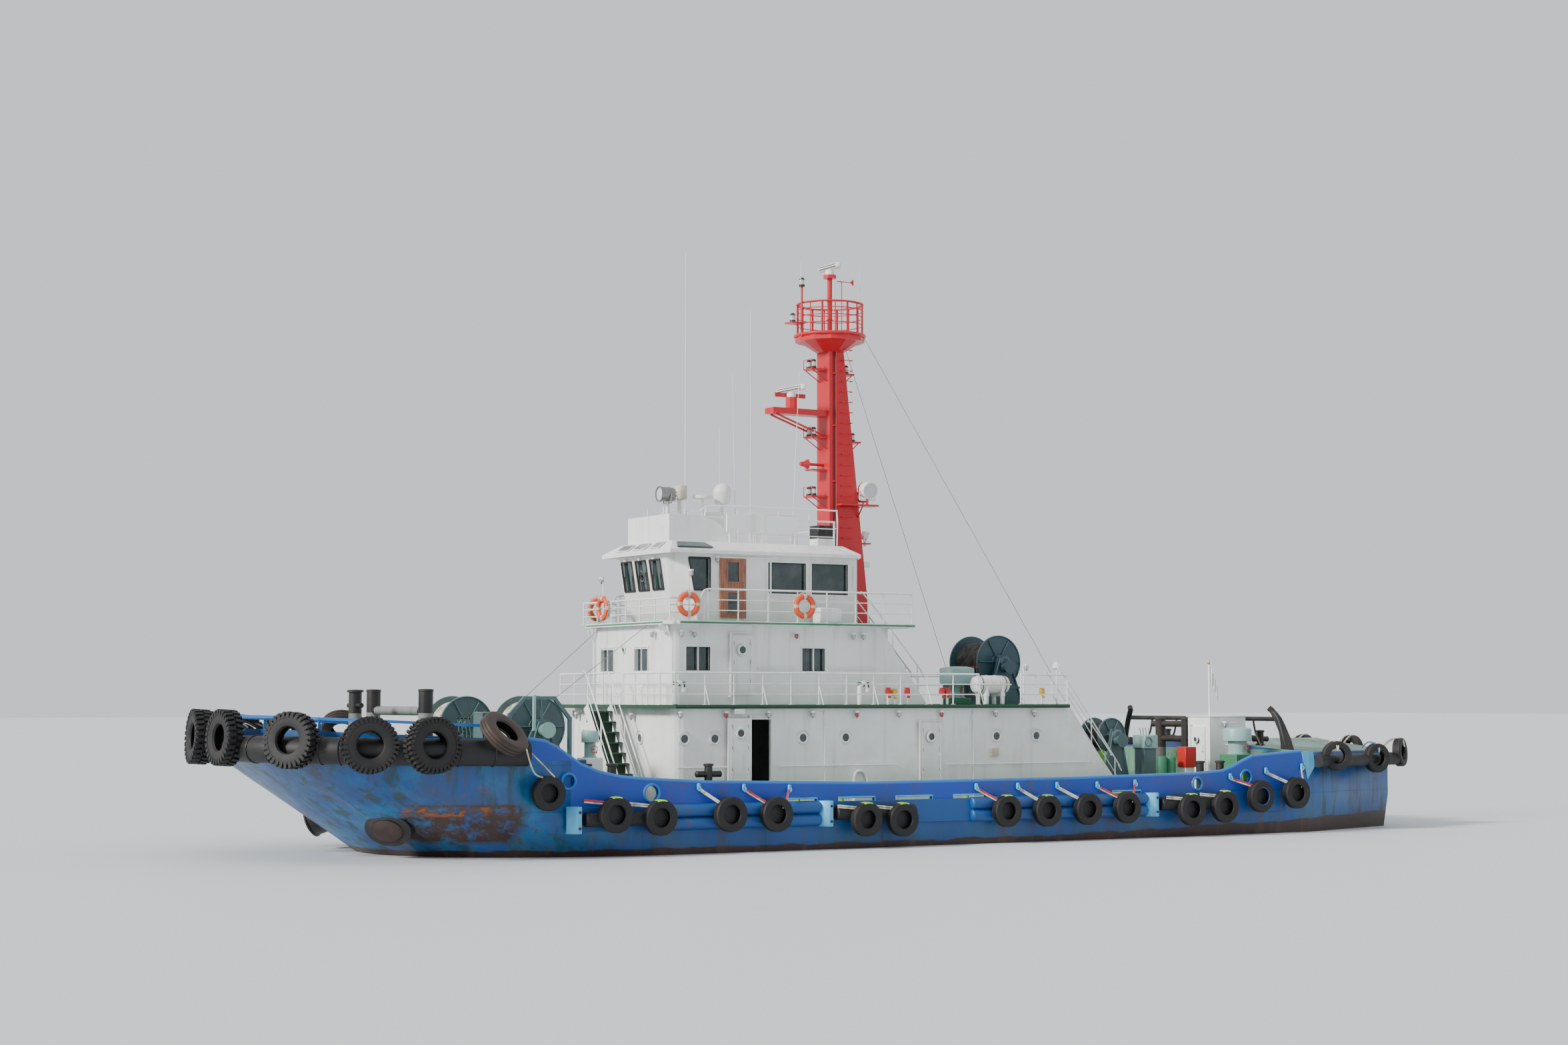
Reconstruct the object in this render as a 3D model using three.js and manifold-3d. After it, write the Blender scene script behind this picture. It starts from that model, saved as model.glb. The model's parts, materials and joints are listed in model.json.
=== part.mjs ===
// Harbour tugboat, full size, in millimetres. +X is the bow, +Y port, +Z up.
// The origin is amidships on the centreline, at the waterline.
import * as THREE from 'three';
import { mergeVertices } from 'three/addons/utils/BufferGeometryUtils.js';
import Module from 'manifold-3d';

const wasm = await Module();
wasm.setup();

// Driving dimensions
const HALF_BEAM = 4750;
const STERN_X = -18000;
const BOW_X = 17900;
const KEEL_Z = -3200;
const MAIN_DECK_Z = 1080;
const WELL_AFT_X = -13000;
const WELL_FORE_X = 10200;
const SIDE_FORE_X = 11000;
const FORE_DECK_Z = 2400;
const STERN_DECK_Z = 2350;
const STERN_CAMBER = 330;
const GAP = 0.3;

// Main (lower) house
const HOUSE = { aftTop: -5650, aftFoot: -7850, front: 7200, half: 3000, wall: 100, roof: 3670 };
const BOAT_DECK = { top: 3770, aft: -5650, front: 7550, half: 3160 };
// Upper house
const UPPER = { aftTop: 240, aftFoot: -1320, front: 6900, half: 2250, wall: 90, roof: 5900, recess: 900,
  spine: -600, spineHalf: 1350 };
const BRIDGE_DECK = { top: 6000, aft: -700, front: 7100, half: 2600 };
// Wheelhouse
const WHEEL = { aft: 720, foot: 6250, brow: 6550, half: 1800, wall: 80, top: 7830 };
const ROOF = { aft: 710, front: 6750, half: 2000, edge: 7930, top: 8180, topAft: 1000, topFront: 6400,
  topHalf: 1500 };

const MAST = { front: 700, half: 340, footDepth: 1360, topDepth: 450, top: 14150, platform: 14350,
  radius: 1000 };
const THRUSTER = { x: -11800, y: 2200, z: -3250, ring: 1120, bore: 1000, ringHalf: 550, hub: 300, top: -1350 };

// Paints, as seen in daylight
const paint = (color, roughness = 0.5, metalness = 0) =>
  new THREE.MeshStandardMaterial({ color, roughness, metalness });
const PAINT = {
  hull: paint(0x1d55a0),
  antifouling: paint(0x4a2420, 0.8),
  white: paint(0xe8ebec, 0.45),
  deck: paint(0x2f7a52, 0.8),
  rubber: paint(0x16171a, 0.85),
  red: paint(0xc81f2b, 0.45),
  winch: paint(0x4c6a70, 0.55),
  winchDark: paint(0x2e525e, 0.55),
  black: paint(0x17181a, 0.55),
  vent: paint(0x8fb4b4, 0.5),
  brown: paint(0x8a5a44, 0.6),
  glass: paint(0x20303a, 0.1),
  steel: paint(0x8c8f90, 0.4, 0.7),
  bronze: paint(0xa8853f, 0.35, 0.9),
  railBlue: paint(0x2a72c4, 0.5),
};

const tug = new THREE.Group();

// Solids from geometry, and back
function solid(geometry) {
  const plain = geometry.clone();
  plain.deleteAttribute('normal');
  plain.deleteAttribute('uv');
  const merged = mergeVertices(plain, 0.001);
  const at = merged.attributes.position;
  const ids = Array.from(merged.index.array);
  const a = new THREE.Vector3();
  const b = new THREE.Vector3();
  const c = new THREE.Vector3();
  let volume = 0;
  for (let i = 0; i < ids.length; i += 3) {
    a.fromBufferAttribute(at, ids[i]);
    b.fromBufferAttribute(at, ids[i + 1]);
    c.fromBufferAttribute(at, ids[i + 2]);
    volume += a.dot(b.cross(c));
  }
  const triVerts = new Uint32Array(volume > 0 ? ids : ids.reverse());
  return new wasm.Manifold(new wasm.Mesh({ numProp: 3, vertProperties: new Float32Array(at.array), triVerts }));
}

function geometryOf(body) {
  const mesh = body.getMesh();
  const geometry = new THREE.BufferGeometry();
  geometry.setAttribute('position', new THREE.BufferAttribute(new Float32Array(mesh.vertProperties), 3));
  geometry.setIndex(new THREE.BufferAttribute(new Uint32Array(mesh.triVerts), 1));
  return geometry.toNonIndexed();
}

function add(name, body, material) {
  const geometry = geometryOf(body);
  geometry.computeVertexNormals();
  const mesh = new THREE.Mesh(geometry, material);
  mesh.name = name;
  tug.add(mesh);
}

const join = (parts) => parts.reduce((whole, part) => whole.add(part));
const cut = (body, parts) => parts.reduce((whole, part) => whole.subtract(part), body);
const mirrored = (body) => body.mirror([0, 1, 0]);

// Simple shapes
function box(x0, x1, y0, y1, z0, z1) {
  const geometry = new THREE.BoxGeometry(x1 - x0, y1 - y0, z1 - z0);
  geometry.translate((x0 + x1) / 2, (y0 + y1) / 2, (z0 + z1) / 2);
  return solid(geometry);
}

function between(geometry, from, to) {
  const start = new THREE.Vector3(...from);
  const run = new THREE.Vector3(...to).sub(start);
  geometry.translate(0, run.length() / 2, 0);
  const turn = new THREE.Quaternion().setFromUnitVectors(new THREE.Vector3(0, 1, 0), run.clone().normalize());
  geometry.applyQuaternion(turn);
  geometry.translate(start.x, start.y, start.z);
  return solid(geometry);
}

function rod(from, to, radius, sides = 8, endRadius = radius) {
  const length = new THREE.Vector3(...to).distanceTo(new THREE.Vector3(...from));
  return between(new THREE.CylinderGeometry(endRadius, radius, length, sides), from, to);
}

// A square bar that lies flat: two of its faces stay level or upright
function bar(from, to, width) {
  const start = new THREE.Vector3(...from);
  const run = new THREE.Vector3(...to).sub(start);
  const length = run.length();
  const ahead = run.clone().normalize();
  const side = Math.abs(ahead.z) > 0.999 ? new THREE.Vector3(1, 0, 0)
    : new THREE.Vector3(ahead.y, -ahead.x, 0).normalize();
  const up = side.clone().cross(ahead);
  const geometry = new THREE.BoxGeometry(width, length, width);
  geometry.translate(0, length / 2, 0);
  geometry.applyMatrix4(new THREE.Matrix4().makeBasis(side, ahead, up).setPosition(start));
  return solid(geometry);
}

// A plan outline (x, y) raised from z0 to z1
function slab(points, z0, z1) {
  const shape = new THREE.Shape(points.map(([x, y]) => new THREE.Vector2(x, y)));
  const geometry = new THREE.ExtrudeGeometry(shape, { depth: z1 - z0, bevelEnabled: false });
  geometry.translate(0, 0, z0);
  return solid(geometry);
}

// A side outline (x, z) carried from y0 to y1
function panel(points, y0, y1) {
  const shape = new THREE.Shape(points.map(([x, z]) => new THREE.Vector2(x, z)));
  const geometry = new THREE.ExtrudeGeometry(shape, { depth: y1 - y0, bevelEnabled: false });
  geometry.rotateX(Math.PI / 2);
  geometry.translate(0, y1, 0);
  return solid(geometry);
}

// A closed ring turned about an axis through the centre: profile is (radius, along)
function turned(profile, centre, axis, segments) {
  const points = profile.map(([radius, along]) => new THREE.Vector2(radius, along));
  points.push(points[0].clone());
  const geometry = new THREE.LatheGeometry(points, segments);
  const turn = new THREE.Quaternion().setFromUnitVectors(
    new THREE.Vector3(0, 1, 0), new THREE.Vector3(...axis).normalize());
  geometry.applyQuaternion(turn);
  geometry.translate(...centre);
  return solid(geometry);
}

// Value at x from a table of [x, value], straight between its rows
function along(table, x) {
  if (x <= table[0][0]) return table[0][1];
  for (let i = 1; i < table.length; i += 1) {
    const [x0, v0] = table[i - 1];
    const [x1, v1] = table[i];
    if (x <= x1) return v0 + ((v1 - v0) * (x - x0)) / (x1 - x0);
  }
  return table[table.length - 1][1];
}

// Hull lines: one row for each level, keel to deck.
// half: greatest half breadth; stern: transom x; corner: half breadth at the transom;
// start and tip: where the bow's round begins and ends; power: fullness of that round;
// height: [x, z] along the ship
const LEVELS = [
  { half: 0, stern: -17400, corner: 0, start: 6000, tip: 12700, power: 2,
    height: [[-17400, -700], [-15000, -1300], [-9000, -1400], [-3000, KEEL_Z], [9000, KEEL_Z],
      [13000, -2700]] },
  { half: 3300, stern: -17500, corner: 2300, start: 6000, tip: 13000, power: 1.8,
    height: [[-17500, -520], [-15000, -1100], [-9000, -1300], [-3000, -2800], [9000, -2800], [13000, -2400]] },
  { half: 4550, stern: -17700, corner: 3000, start: 6500, tip: 13700, power: 1.9,
    height: [[-17700, -350], [-15000, -700], [-9000, -900], [-3000, -1500], [9000, -1500], [13700, -1200]] },
  { half: 4700, stern: -17900, corner: 3200, start: 7500, tip: 14500, power: 2.1, height: [[0, 0]] },
  { half: HALF_BEAM, stern: STERN_X, corner: 3300, start: 11000, tip: 17300, power: 2.5,
    height: [[-18000, 1000], [9000, 1000], [13100, 1260], [15400, 1800], [17300, 2000]] },
  { half: HALF_BEAM, stern: STERN_X, corner: 3300, start: 11800, tip: BOW_X, power: 2.55,
    height: [[-13000, STERN_DECK_Z], [10200, FORE_DECK_Z]] },
];
const BOW_STEPS = 10;
const KNUCKLE_AFT_X = -13200;
const SIDE_STATIONS = [-9000, -3000, 3000];

// Port half of one level's plan outline, from the transom's middle to the stem
function planOutline(level) {
  const points = [[level.stern, 0], [level.stern, level.corner * 0.6]];
  points.push([level.stern + 150, level.corner]);
  points.push([KNUCKLE_AFT_X, level.half]);
  SIDE_STATIONS.forEach((x) => points.push([x, level.half]));
  for (let i = 0; i <= BOW_STEPS; i += 1) {
    const angle = (Math.PI / 2) * (i / BOW_STEPS);
    const reach = Math.sin(angle) ** (2 / level.power);
    const breadth = i === BOW_STEPS ? 0 : Math.cos(angle) ** (2 / level.power);
    points.push([level.start + (level.tip - level.start) * reach, level.half * breadth]);
  }
  return points;
}

function hullSolid() {
  const outlines = LEVELS.map((level) => planOutline(level));
  const last = outlines[0].length - 1;
  const topLevel = LEVELS.length - 1;
  const vertices = [];
  const faces = [];
  const keep = (x, y, z) => vertices.push([x, y, z]) - 1;
  const port = outlines.map((outline, j) => outline.map(([x, y]) => keep(x, y, along(LEVELS[j].height, x))));
  const starboard = port.map((row, j) => row.map((id, i) => {
    const [x, y, z] = vertices[id];
    return i === 0 || i === last || j === 0 ? id : keep(x, -y, z);
  }));
  const camber = (x) => (x < 0 ? STERN_CAMBER : 0);
  const crown = port[topLevel].map((id, i) => {
    const [x, , z] = vertices[id];
    return i === 0 || i === last ? id : keep(x, 0, z + camber(x));
  });
  const quad = (a, b, c, d) => faces.push([a, b, c], [a, c, d]);
  for (let i = 0; i < last; i += 1) {
    for (let j = 0; j < topLevel; j += 1) {
      quad(port[j][i], port[j + 1][i], port[j + 1][i + 1], port[j][i + 1]);
      quad(starboard[j][i], starboard[j][i + 1], starboard[j + 1][i + 1], starboard[j + 1][i]);
    }
    quad(port[topLevel][i], crown[i], crown[i + 1], port[topLevel][i + 1]);
    quad(starboard[topLevel][i], starboard[topLevel][i + 1], crown[i + 1], crown[i]);
  }
  const whole = faces.filter(([a, b, c]) => a !== b && b !== c && a !== c);
  const geometry = new THREE.BufferGeometry();
  geometry.setAttribute('position', new THREE.Float32BufferAttribute(vertices.flat(), 3));
  geometry.setIndex(whole.flat());
  return solid(geometry);
}

// Posts that stand on the hull's own decks, port and starboard: [x, y, radius, foot, top, half of cross arm]
const DECK_POSTS = [[10300, 4200, 110, MAIN_DECK_Z, 2300, 0], [9590, 4200, 110, MAIN_DECK_Z, 2300, 0],
  [-9560, 4200, 110, MAIN_DECK_Z, 2120, 0], [-10310, 4200, 110, MAIN_DECK_Z, 2120, 0],
  [6860, 4300, 100, MAIN_DECK_Z, 2260, 330], [-13650, 2200, 100, STERN_DECK_Z, 2960, 260]];
const STEM_POST = { x: 14800, radius: 160, top: 4150, pin: 420, pinZ: 3760 };
const BOLSTER = { x: 14820, y: 2540, z: 770, out: [0.76, 0.54, -0.36], radius: 400, stretch: 1.55, roll: 10,
  proud: 170, dome: 250 };

function deckPosts() {
  return DECK_POSTS.flatMap(([x, y, radius, foot, top, arm]) => {
    const post = rod([x, y, foot - 50], [x, y, top], radius, 8);
    const cap = rod([x, y, top - 40], [x, y, top], radius * 1.25, 8);
    const whole = arm ? join([post, rod([x - arm, y, top - 260], [x + arm, y, top - 260], radius * 0.75, 6)])
      : post.add(cap);
    return [whole, mirrored(whole)];
  });
}

// Oval anchor bolsters low on the bow, each a flange round a dome
function bolsters() {
  const { x, y, z, out, radius, stretch, roll, proud, dome } = BOLSTER;
  const flange = rod([0, -600, 0], [0, proud, 0], radius, 14);
  const hump = rod([0, 0, 0], [0, dome, 0], radius * 0.72, 12, radius * 0.4);
  const port = place(flange.add(hump).scale([stretch, 1, 1]).rotate([0, roll, 0]), [x, y, z], out);
  return [port, mirrored(port)];
}

function hull() {
  const well = box(WELL_AFT_X, WELL_FORE_X, -6000, 6000, MAIN_DECK_Z, 5000);
  const skeg = panel([[-10600, -1330], [-3200, -3000], [-3600, KEEL_Z], [-9200, KEEL_Z], [-10600, -2600]],
    -150, 150);
  const boss = (sign) => rod([THRUSTER.x, sign * THRUSTER.y, -700],
    [THRUSTER.x, sign * THRUSTER.y, THRUSTER.top], LEG.boss, 14);
  const notch = box(WELL_FORE_X - 10, SIDE_FORE_X, 4000, 6000, MAIN_DECK_Z, 5000);
  const body = cut(join([hullSolid(), skeg, boss(1), boss(-1), ...bolsters()]), [well, notch, mirrored(notch)]);
  const { x, radius, top, pin, pinZ } = STEM_POST;
  const stemPost = join([rod([x, 0, FORE_DECK_Z - 50], [x, 0, top], radius, 10),
    rod([x, 0, top - 50], [x, 0, top], radius * 1.2, 10), rod([x, -pin, pinZ], [x, pin, pinZ], 60, 8)]);
  add('hull', join([body, stemPost, ...deckPosts()]), PAINT.hull);
}

// Bulwarks: side plates with freeing ports and mooring pipes
const BULWARK_THICK = 120;
const BULWARK_TOP = [[-13000, 2350], [-11100, 2230], [-10700, 2080], [-10350, 1930], [-9940, 1810],
  [-9000, 1750], [-4700, 1690], [2300, 1670], [7160, 1780], [8800, 1880], [9600, 1950], [10200, 2080], [10700, 2270],
  [11000, 2460], [11400, 2720], [11700, 2860], [12150, 2920]];
const FREEING_PORTS = [[3870, 4730], [2070, 3190], [230, 1390], [-1560, -480], [-6900, -5900]];
const FREEING_Z = [1130, 1330];
const MOORING_PIPES = [[8740, 1560, 200], [11060, 1900, 170], [-8980, 1490, 160], [-10820, 1650, 180]];

function sideBulwark() {
  const outline = BULWARK_TOP.map(([x, z]) => [x, z]);
  const fore = 12150;
  outline.push([fore, FORE_DECK_Z + GAP], [SIDE_FORE_X - GAP, FORE_DECK_Z + GAP]);
  outline.push([SIDE_FORE_X - GAP, MAIN_DECK_Z + GAP], [WELL_AFT_X + GAP, MAIN_DECK_Z + GAP]);
  outline[0] = [WELL_AFT_X + GAP, outline[0][1]];
  const plate = panel(outline, HALF_BEAM - BULWARK_THICK, HALF_BEAM);
  const ports = FREEING_PORTS.map(([x0, x1]) => box(x0, x1, 4000, 5000, FREEING_Z[0], FREEING_Z[1]));
  const pipes = MOORING_PIPES.map(([x, z, radius]) => rod([x, 4000, z], [x, 5000, z], radius, 8));
  return cut(plate, [...ports, ...pipes]);
}

// Offset outline of the foredeck edge, moved inwards or outwards, port side, from x on
function bowOutline(offset, fromX) {
  const level = LEVELS[LEVELS.length - 1];
  const points = planOutline(level).filter(([x]) => x > fromX);
  const moved = points.map(([x, y], i) => {
    const [xa, ya] = points[Math.max(i - 1, 0)];
    const [xb, yb] = points[Math.min(i + 1, points.length - 1)];
    const run = new THREE.Vector2(xb - xa, yb - ya).normalize();
    return i === points.length - 1 ? [x + offset, 0] : [x - run.y * offset, y + run.x * offset];
  });
  return [[fromX, HALF_BEAM + offset], ...moved];
}

const bothSides = (points) => [...points, ...points.slice(0, -1).reverse().map(([x, y]) => [x, -y])];

const BOW_BULWARK = { from: 12150, thick: 120, top: [[12150, 2920], [17900, 3200]] };
const BOW_RAIL = { height: 300, width: 70 };

function bowBulwark() {
  const outer = bothSides(bowOutline(0, BOW_BULWARK.from + GAP));
  const inner = bothSides(bowOutline(-BOW_BULWARK.thick, BOW_BULWARK.from + GAP));
  const pieces = [];
  for (let i = 0; i + 1 < outer.length; i += 1) {
    const [a, b, c, d] = [outer[i], outer[i + 1], inner[i + 1], inner[i]];
    pieces.push(wedge([a, b, c, d], FORE_DECK_Z + GAP, (x) => along(BOW_BULWARK.top, x)));
  }
  const middle = bothSides(bowOutline(-BOW_BULWARK.thick / 2, BOW_BULWARK.from + 400));
  const line = middle.filter((point, i) => i % 2 === 0);
  const railPoint = ([x, y]) => [x, y, along(BOW_BULWARK.top, x) + BOW_RAIL.height];
  const rails = line.slice(1).map((point, i) => bar(railPoint(line[i]), railPoint(point), BOW_RAIL.width));
  const posts = line.map((point) => {
    const [x, y, z] = railPoint(point);
    return bar([x, y, z - BOW_RAIL.height - 60], [x, y, z], BOW_RAIL.width * 0.8);
  });
  return join([...pieces, ...rails, ...posts]);
}

// A four-cornered post whose top follows a height function
function wedge(corners, bottom, topAt) {
  const vertices = [...corners.map(([x, y]) => [x, y, bottom]), ...corners.map(([x, y]) => [x, y, topAt(x)])];
  const geometry = new THREE.BufferGeometry();
  geometry.setAttribute('position', new THREE.Float32BufferAttribute(vertices.flat(), 3));
  const sides = [0, 1, 2, 3].flatMap((i) => {
    const next = (i + 1) % 4;
    return [i, next, next + 4, i, next + 4, i + 4];
  });
  geometry.setIndex([0, 2, 1, 0, 3, 2, 4, 5, 6, 4, 6, 7, ...sides]);
  return solid(geometry);
}

// Fendering: steel strakes with two half-round tubes, on a backing plate
const STRAKE = { thick: 40, bottom: 640, top: 1250, tube: 165, rows: [780, 1110], from: -12300, to: 11150 };
const TUBE_RUNS = [[3860, 8200], [-7000, -1050]];
const BRACKETS = [10850, 3560, -7300];

function strake() {
  const face = HALF_BEAM + GAP;
  const back = box(STRAKE.from, STRAKE.to, face, face + STRAKE.thick, STRAKE.bottom, STRAKE.top);
  const tubes = TUBE_RUNS.flatMap(([x0, x1]) => STRAKE.rows.map((z) =>
    rod([x0, face + STRAKE.thick, z], [x1, face + STRAKE.thick, z], STRAKE.tube, 8)));
  const trimmed = cut(join(tubes), [box(-14000, 12000, 3000, face, 0, 3000)]);
  const boxes = BRACKETS.map((x) => box(x, x + 300, face, face + 330, STRAKE.bottom - 30, STRAKE.top + 30));
  return join([back, trimmed, ...boxes]);
}

// Tyres: a plain ring with rounded shoulders, or a toothed ring where the tread has lugs
const LUG = { share: 0.5, depth: 0.9, taper: 0.08 };

function tyre({ centre, axis, radius, width, hole = 0.5, segments = 10, lugs = 0 }) {
  const half = width / 2;
  if (lugs) return place(luggedRing(radius, radius * hole, width, lugs), centre, axis);
  const profile = [[radius * hole, -half * 0.8], [radius, -half * 0.8], [radius, half * 0.8],
    [radius * hole, half * 0.8]];
  return place(turned(profile, [0, 0, 0], [0, 1, 0], segments), centre, axis);
}

function luggedRing(radius, inner, width, lugs) {
  const outline = [];
  const pitch = (2 * Math.PI) / lugs;
  for (let i = 0; i < lugs; i += 1) {
    const spread = pitch * LUG.share * 0.5;
    [[-spread - LUG.taper, LUG.depth], [-spread, 1], [spread, 1], [spread + LUG.taper, LUG.depth]].forEach(
      ([turn, reach]) => outline.push(new THREE.Vector2(Math.cos(i * pitch + turn) * radius * reach,
        Math.sin(i * pitch + turn) * radius * reach)));
  }
  const shape = new THREE.Shape(outline);
  const bore = new THREE.Path();
  const turns = 10;
  for (let i = 0; i <= turns; i += 1) {
    const angle = (-2 * Math.PI * i) / turns;
    const spot = [Math.cos(angle) * inner, Math.sin(angle) * inner];
    if (i === 0) bore.moveTo(...spot);
    else if (i < turns) bore.lineTo(...spot);
  }
  bore.closePath();
  shape.holes.push(bore);
  const geometry = new THREE.ExtrudeGeometry(shape, { depth: width, bevelEnabled: false });
  geometry.translate(0, 0, -width / 2);
  geometry.rotateX(Math.PI / 2);
  return solid(geometry);
}

function place(body, centre, axis) {
  const turn = new THREE.Quaternion().setFromUnitVectors(
    new THREE.Vector3(0, 1, 0), new THREE.Vector3(...axis).normalize());
  const matrix = new THREE.Matrix4().compose(new THREE.Vector3(...centre), turn, new THREE.Vector3(1, 1, 1));
  return body.transform(matrix.elements);
}

// Side tyres, port, bow to stern: [x, z, radius, y]
const SIDE_TYRES = [[11720, 1620, 430, 4985], [9990, 1070, 450, 5210], [8740, 970, 450, 5210],
  [6670, 1000, 450, 5120], [5310, 970, 450, 5120], [2620, 780, 450, 5210], [1480, 750, 450, 5210],
  [-1980, 890, 440, 5120], [-3340, 870, 440, 5120], [-4740, 880, 440, 5120], [-6120, 890, 440, 5120],
  [-8380, 790, 460, 5210], [-9610, 850, 460, 5210], [-11050, 1110, 460, 5120], [-12420, 1180, 460, 5120]];
const ROLLS = { radius: 180, z: 950, y: HALF_BEAM + 40 + 180 + 2 * GAP,
  runs: [[8300, 10750], [930, 3460], [-10070, -7400]] };
const LASHING = { height: 0.75, width: 45 };
const TYRE_WIDTH = 270;

// All of one side's tyres hang on one lashing that runs through their tops
function sideTyres() {
  const tyres = SIDE_TYRES.map(([x, z, radius, y]) =>
    tyre({ centre: [x, y, z], axis: [0, 1, 0], radius, width: TYRE_WIDTH }));
  const rolls = ROLLS.runs.map(([x0, x1]) => rod([x0, ROLLS.y, ROLLS.z], [x1, ROLLS.y, ROLLS.z], ROLLS.radius));
  const ropes = [];
  for (let i = 0; i + 1 < SIDE_TYRES.length; i += 1) {
    const [xa, za, ra, ya] = SIDE_TYRES[i];
    const [xb, zb, rb, yb] = SIDE_TYRES[i + 1];
    ropes.push(bar([xa, ya, za + ra * LASHING.height], [xb, yb, zb + rb * LASHING.height], LASHING.width));
  }
  return join([...tyres, ...rolls, ...ropes]);
}

// Bow fender: a thick rubber roll round the bow, with lugged tyres hung over it
const BOW_FENDER = { radius: 330, offset: 335, z: 2620, rise: 90, from: 12300, sides: 8, steps: 18 };
// [place along the bow's round from 0 abeam to 1 at the stem, z, radius, lugs]
const BOW_TYRES = [[0.25, 2800, 640, 8], [0.41, 2830, 640, 8], [0.64, 2940, 680, 8], [0.92, 2980, 690, 8]];
const BOW_TYRE = { offset: 700, width: 420 };
// The bald tyre that leans outwards at the aft end of the roll
const LOOSE_TYRE = { centre: [13050, 5270, 3080], axis: [-0.39, 0.62, 0.7], radius: 650, width: 340 };

function bowPoint(place01, offset) {
  const level = LEVELS[LEVELS.length - 1];
  const at = (share) => {
    const angle = (Math.PI / 2) * share;
    return new THREE.Vector2(level.start + (level.tip - level.start) * Math.sin(angle) ** (2 / level.power),
      level.half * Math.max(Math.cos(angle), 0) ** (2 / level.power));
  };
  const step = 0.002;
  const here = at(place01);
  const run = at(Math.min(place01 + step, 1)).sub(at(Math.max(place01 - step, 0))).normalize();
  const out = new THREE.Vector2(-run.y, run.x);
  return { x: here.x + out.x * offset, y: here.y + out.y * offset, nx: out.x, ny: out.y };
}

function bowFender() {
  const points = [];
  for (let i = 0; i <= 12; i += 1) {
    const share = 0.03 + (0.97 * i) / 12;
    const spot = bowPoint(share, BOW_FENDER.offset + GAP);
    const rise = (BOW_FENDER.rise * (spot.x - BOW_FENDER.from)) / (BOW_X - BOW_FENDER.from);
    points.push(new THREE.Vector3(spot.x, i === 12 ? 0 : spot.y, BOW_FENDER.z + rise));
  }
  const starboard = points.slice(0, -1).reverse().map((point) => new THREE.Vector3(point.x, -point.y, point.z));
  const path = new THREE.CatmullRomCurve3([...points, ...starboard]);
  const ring = new THREE.Shape();
  ring.absarc(0, 0, BOW_FENDER.radius, 0, Math.PI * 2);
  const roll = solid(new THREE.ExtrudeGeometry(ring, {
    steps: BOW_FENDER.steps, curveSegments: BOW_FENDER.sides, bevelEnabled: false, extrudePath: path }));
  const port = BOW_TYRES.map(([share, z, radius, lugs]) => {
    const spot = bowPoint(share, BOW_TYRE.offset);
    const centre = [spot.x, spot.y, z];
    return tyre({ centre, axis: [spot.nx, spot.ny, 0], radius, width: BOW_TYRE.width, lugs });
  });
  port.push(tyre(LOOSE_TYRE));
  const hullGuard = slab(bothSides(bowOutline(GAP, 8000)), 0, 4000)
    .add(slab(bothSides(bowOutline(GAP, BOW_BULWARK.from + GAP)), 0, 4000));
  const tyres = port.flatMap((body) => [body, mirrored(body)]);
  return cut(join([roll, ...tyres]), [hullGuard]);
}

// Stern fender: a roll round the quarter and transom, with tyres over it
const STERN_FENDER = { radius: 190, z: 2080, sides: 8 };
const STERN_TYRES = [[-14250, 4880, 2230, 0.29, 0.96], [-16500, 4220, 2130, 0.29, 0.96],
  [-18270, 3420, 2270, 0.85, 0.53], [-18460, 1100, 2330, 1, 0]];
const STERN_TYRE = { radius: 440, width: 270 };

function sternFender() {
  const reach = STERN_FENDER.radius + GAP + 1;
  const corner = [STERN_X - reach, 3300 + 90];
  const line = [[-13500, HALF_BEAM - 60 + reach], [-17850, 3300 + reach], corner, [STERN_X - reach, 0]];
  const { z: rollZ, radius: rollRadius, sides } = STERN_FENDER;
  const rolls = line.slice(1).map(([x, y], i) =>
    rod([line[i][0], line[i][1], rollZ], [x, y, rollZ], rollRadius, sides));
  const tyres = STERN_TYRES.map(([x, y, z, nx, ny]) =>
    tyre({ centre: [x, y, z], axis: [-nx, ny, 0], radius: STERN_TYRE.radius, width: STERN_TYRE.width }));
  const port = join([...rolls, ...tyres]);
  const guard = slab(bothSides(planOutline(LEVELS[LEVELS.length - 1]).filter(([x]) => x < 0)
    .map(([x, y]) => [x < STERN_X + 1 ? x - GAP : x, y === 0 ? 0 : y + GAP])
    .concat([[0, 0]])), -500, 4000);
  return cut(port.add(mirrored(port)), [guard]);
}

const CORNER_STEPS = 4;

// Houses: hollow shells, open below and above, with wing plates that slope down aft
function shell({ front, aft, half, wall, bottom, top, chamfer }) {
  const plan = (inset) => {
    const round = Math.max(chamfer - inset, 40);
    const corner = [];
    for (let i = 0; i <= CORNER_STEPS; i += 1) {
      const angle = (Math.PI / 2) * (i / CORNER_STEPS);
      corner.push([front - inset - round * (1 - Math.cos(angle)),
        half - inset - round * (1 - Math.sin(angle))]);
    }
    const port = [...corner, [aft + inset, half - inset]];
    return [...port, ...[...port].reverse().map(([x, y]) => [x, -y])];
  };
  return slab(plan(0), bottom, top).subtract(slab(plan(wall), bottom - 10, top + 10));
}

function wing({ aft, aftTop, aftFoot, half, wall, bottom, top }) {
  const plate = panel([[aft + 200, bottom], [aft + 200, top], [aftTop, top], [aftFoot, bottom]],
    half - wall, half);
  return plate.add(mirrored(plate));
}

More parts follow.
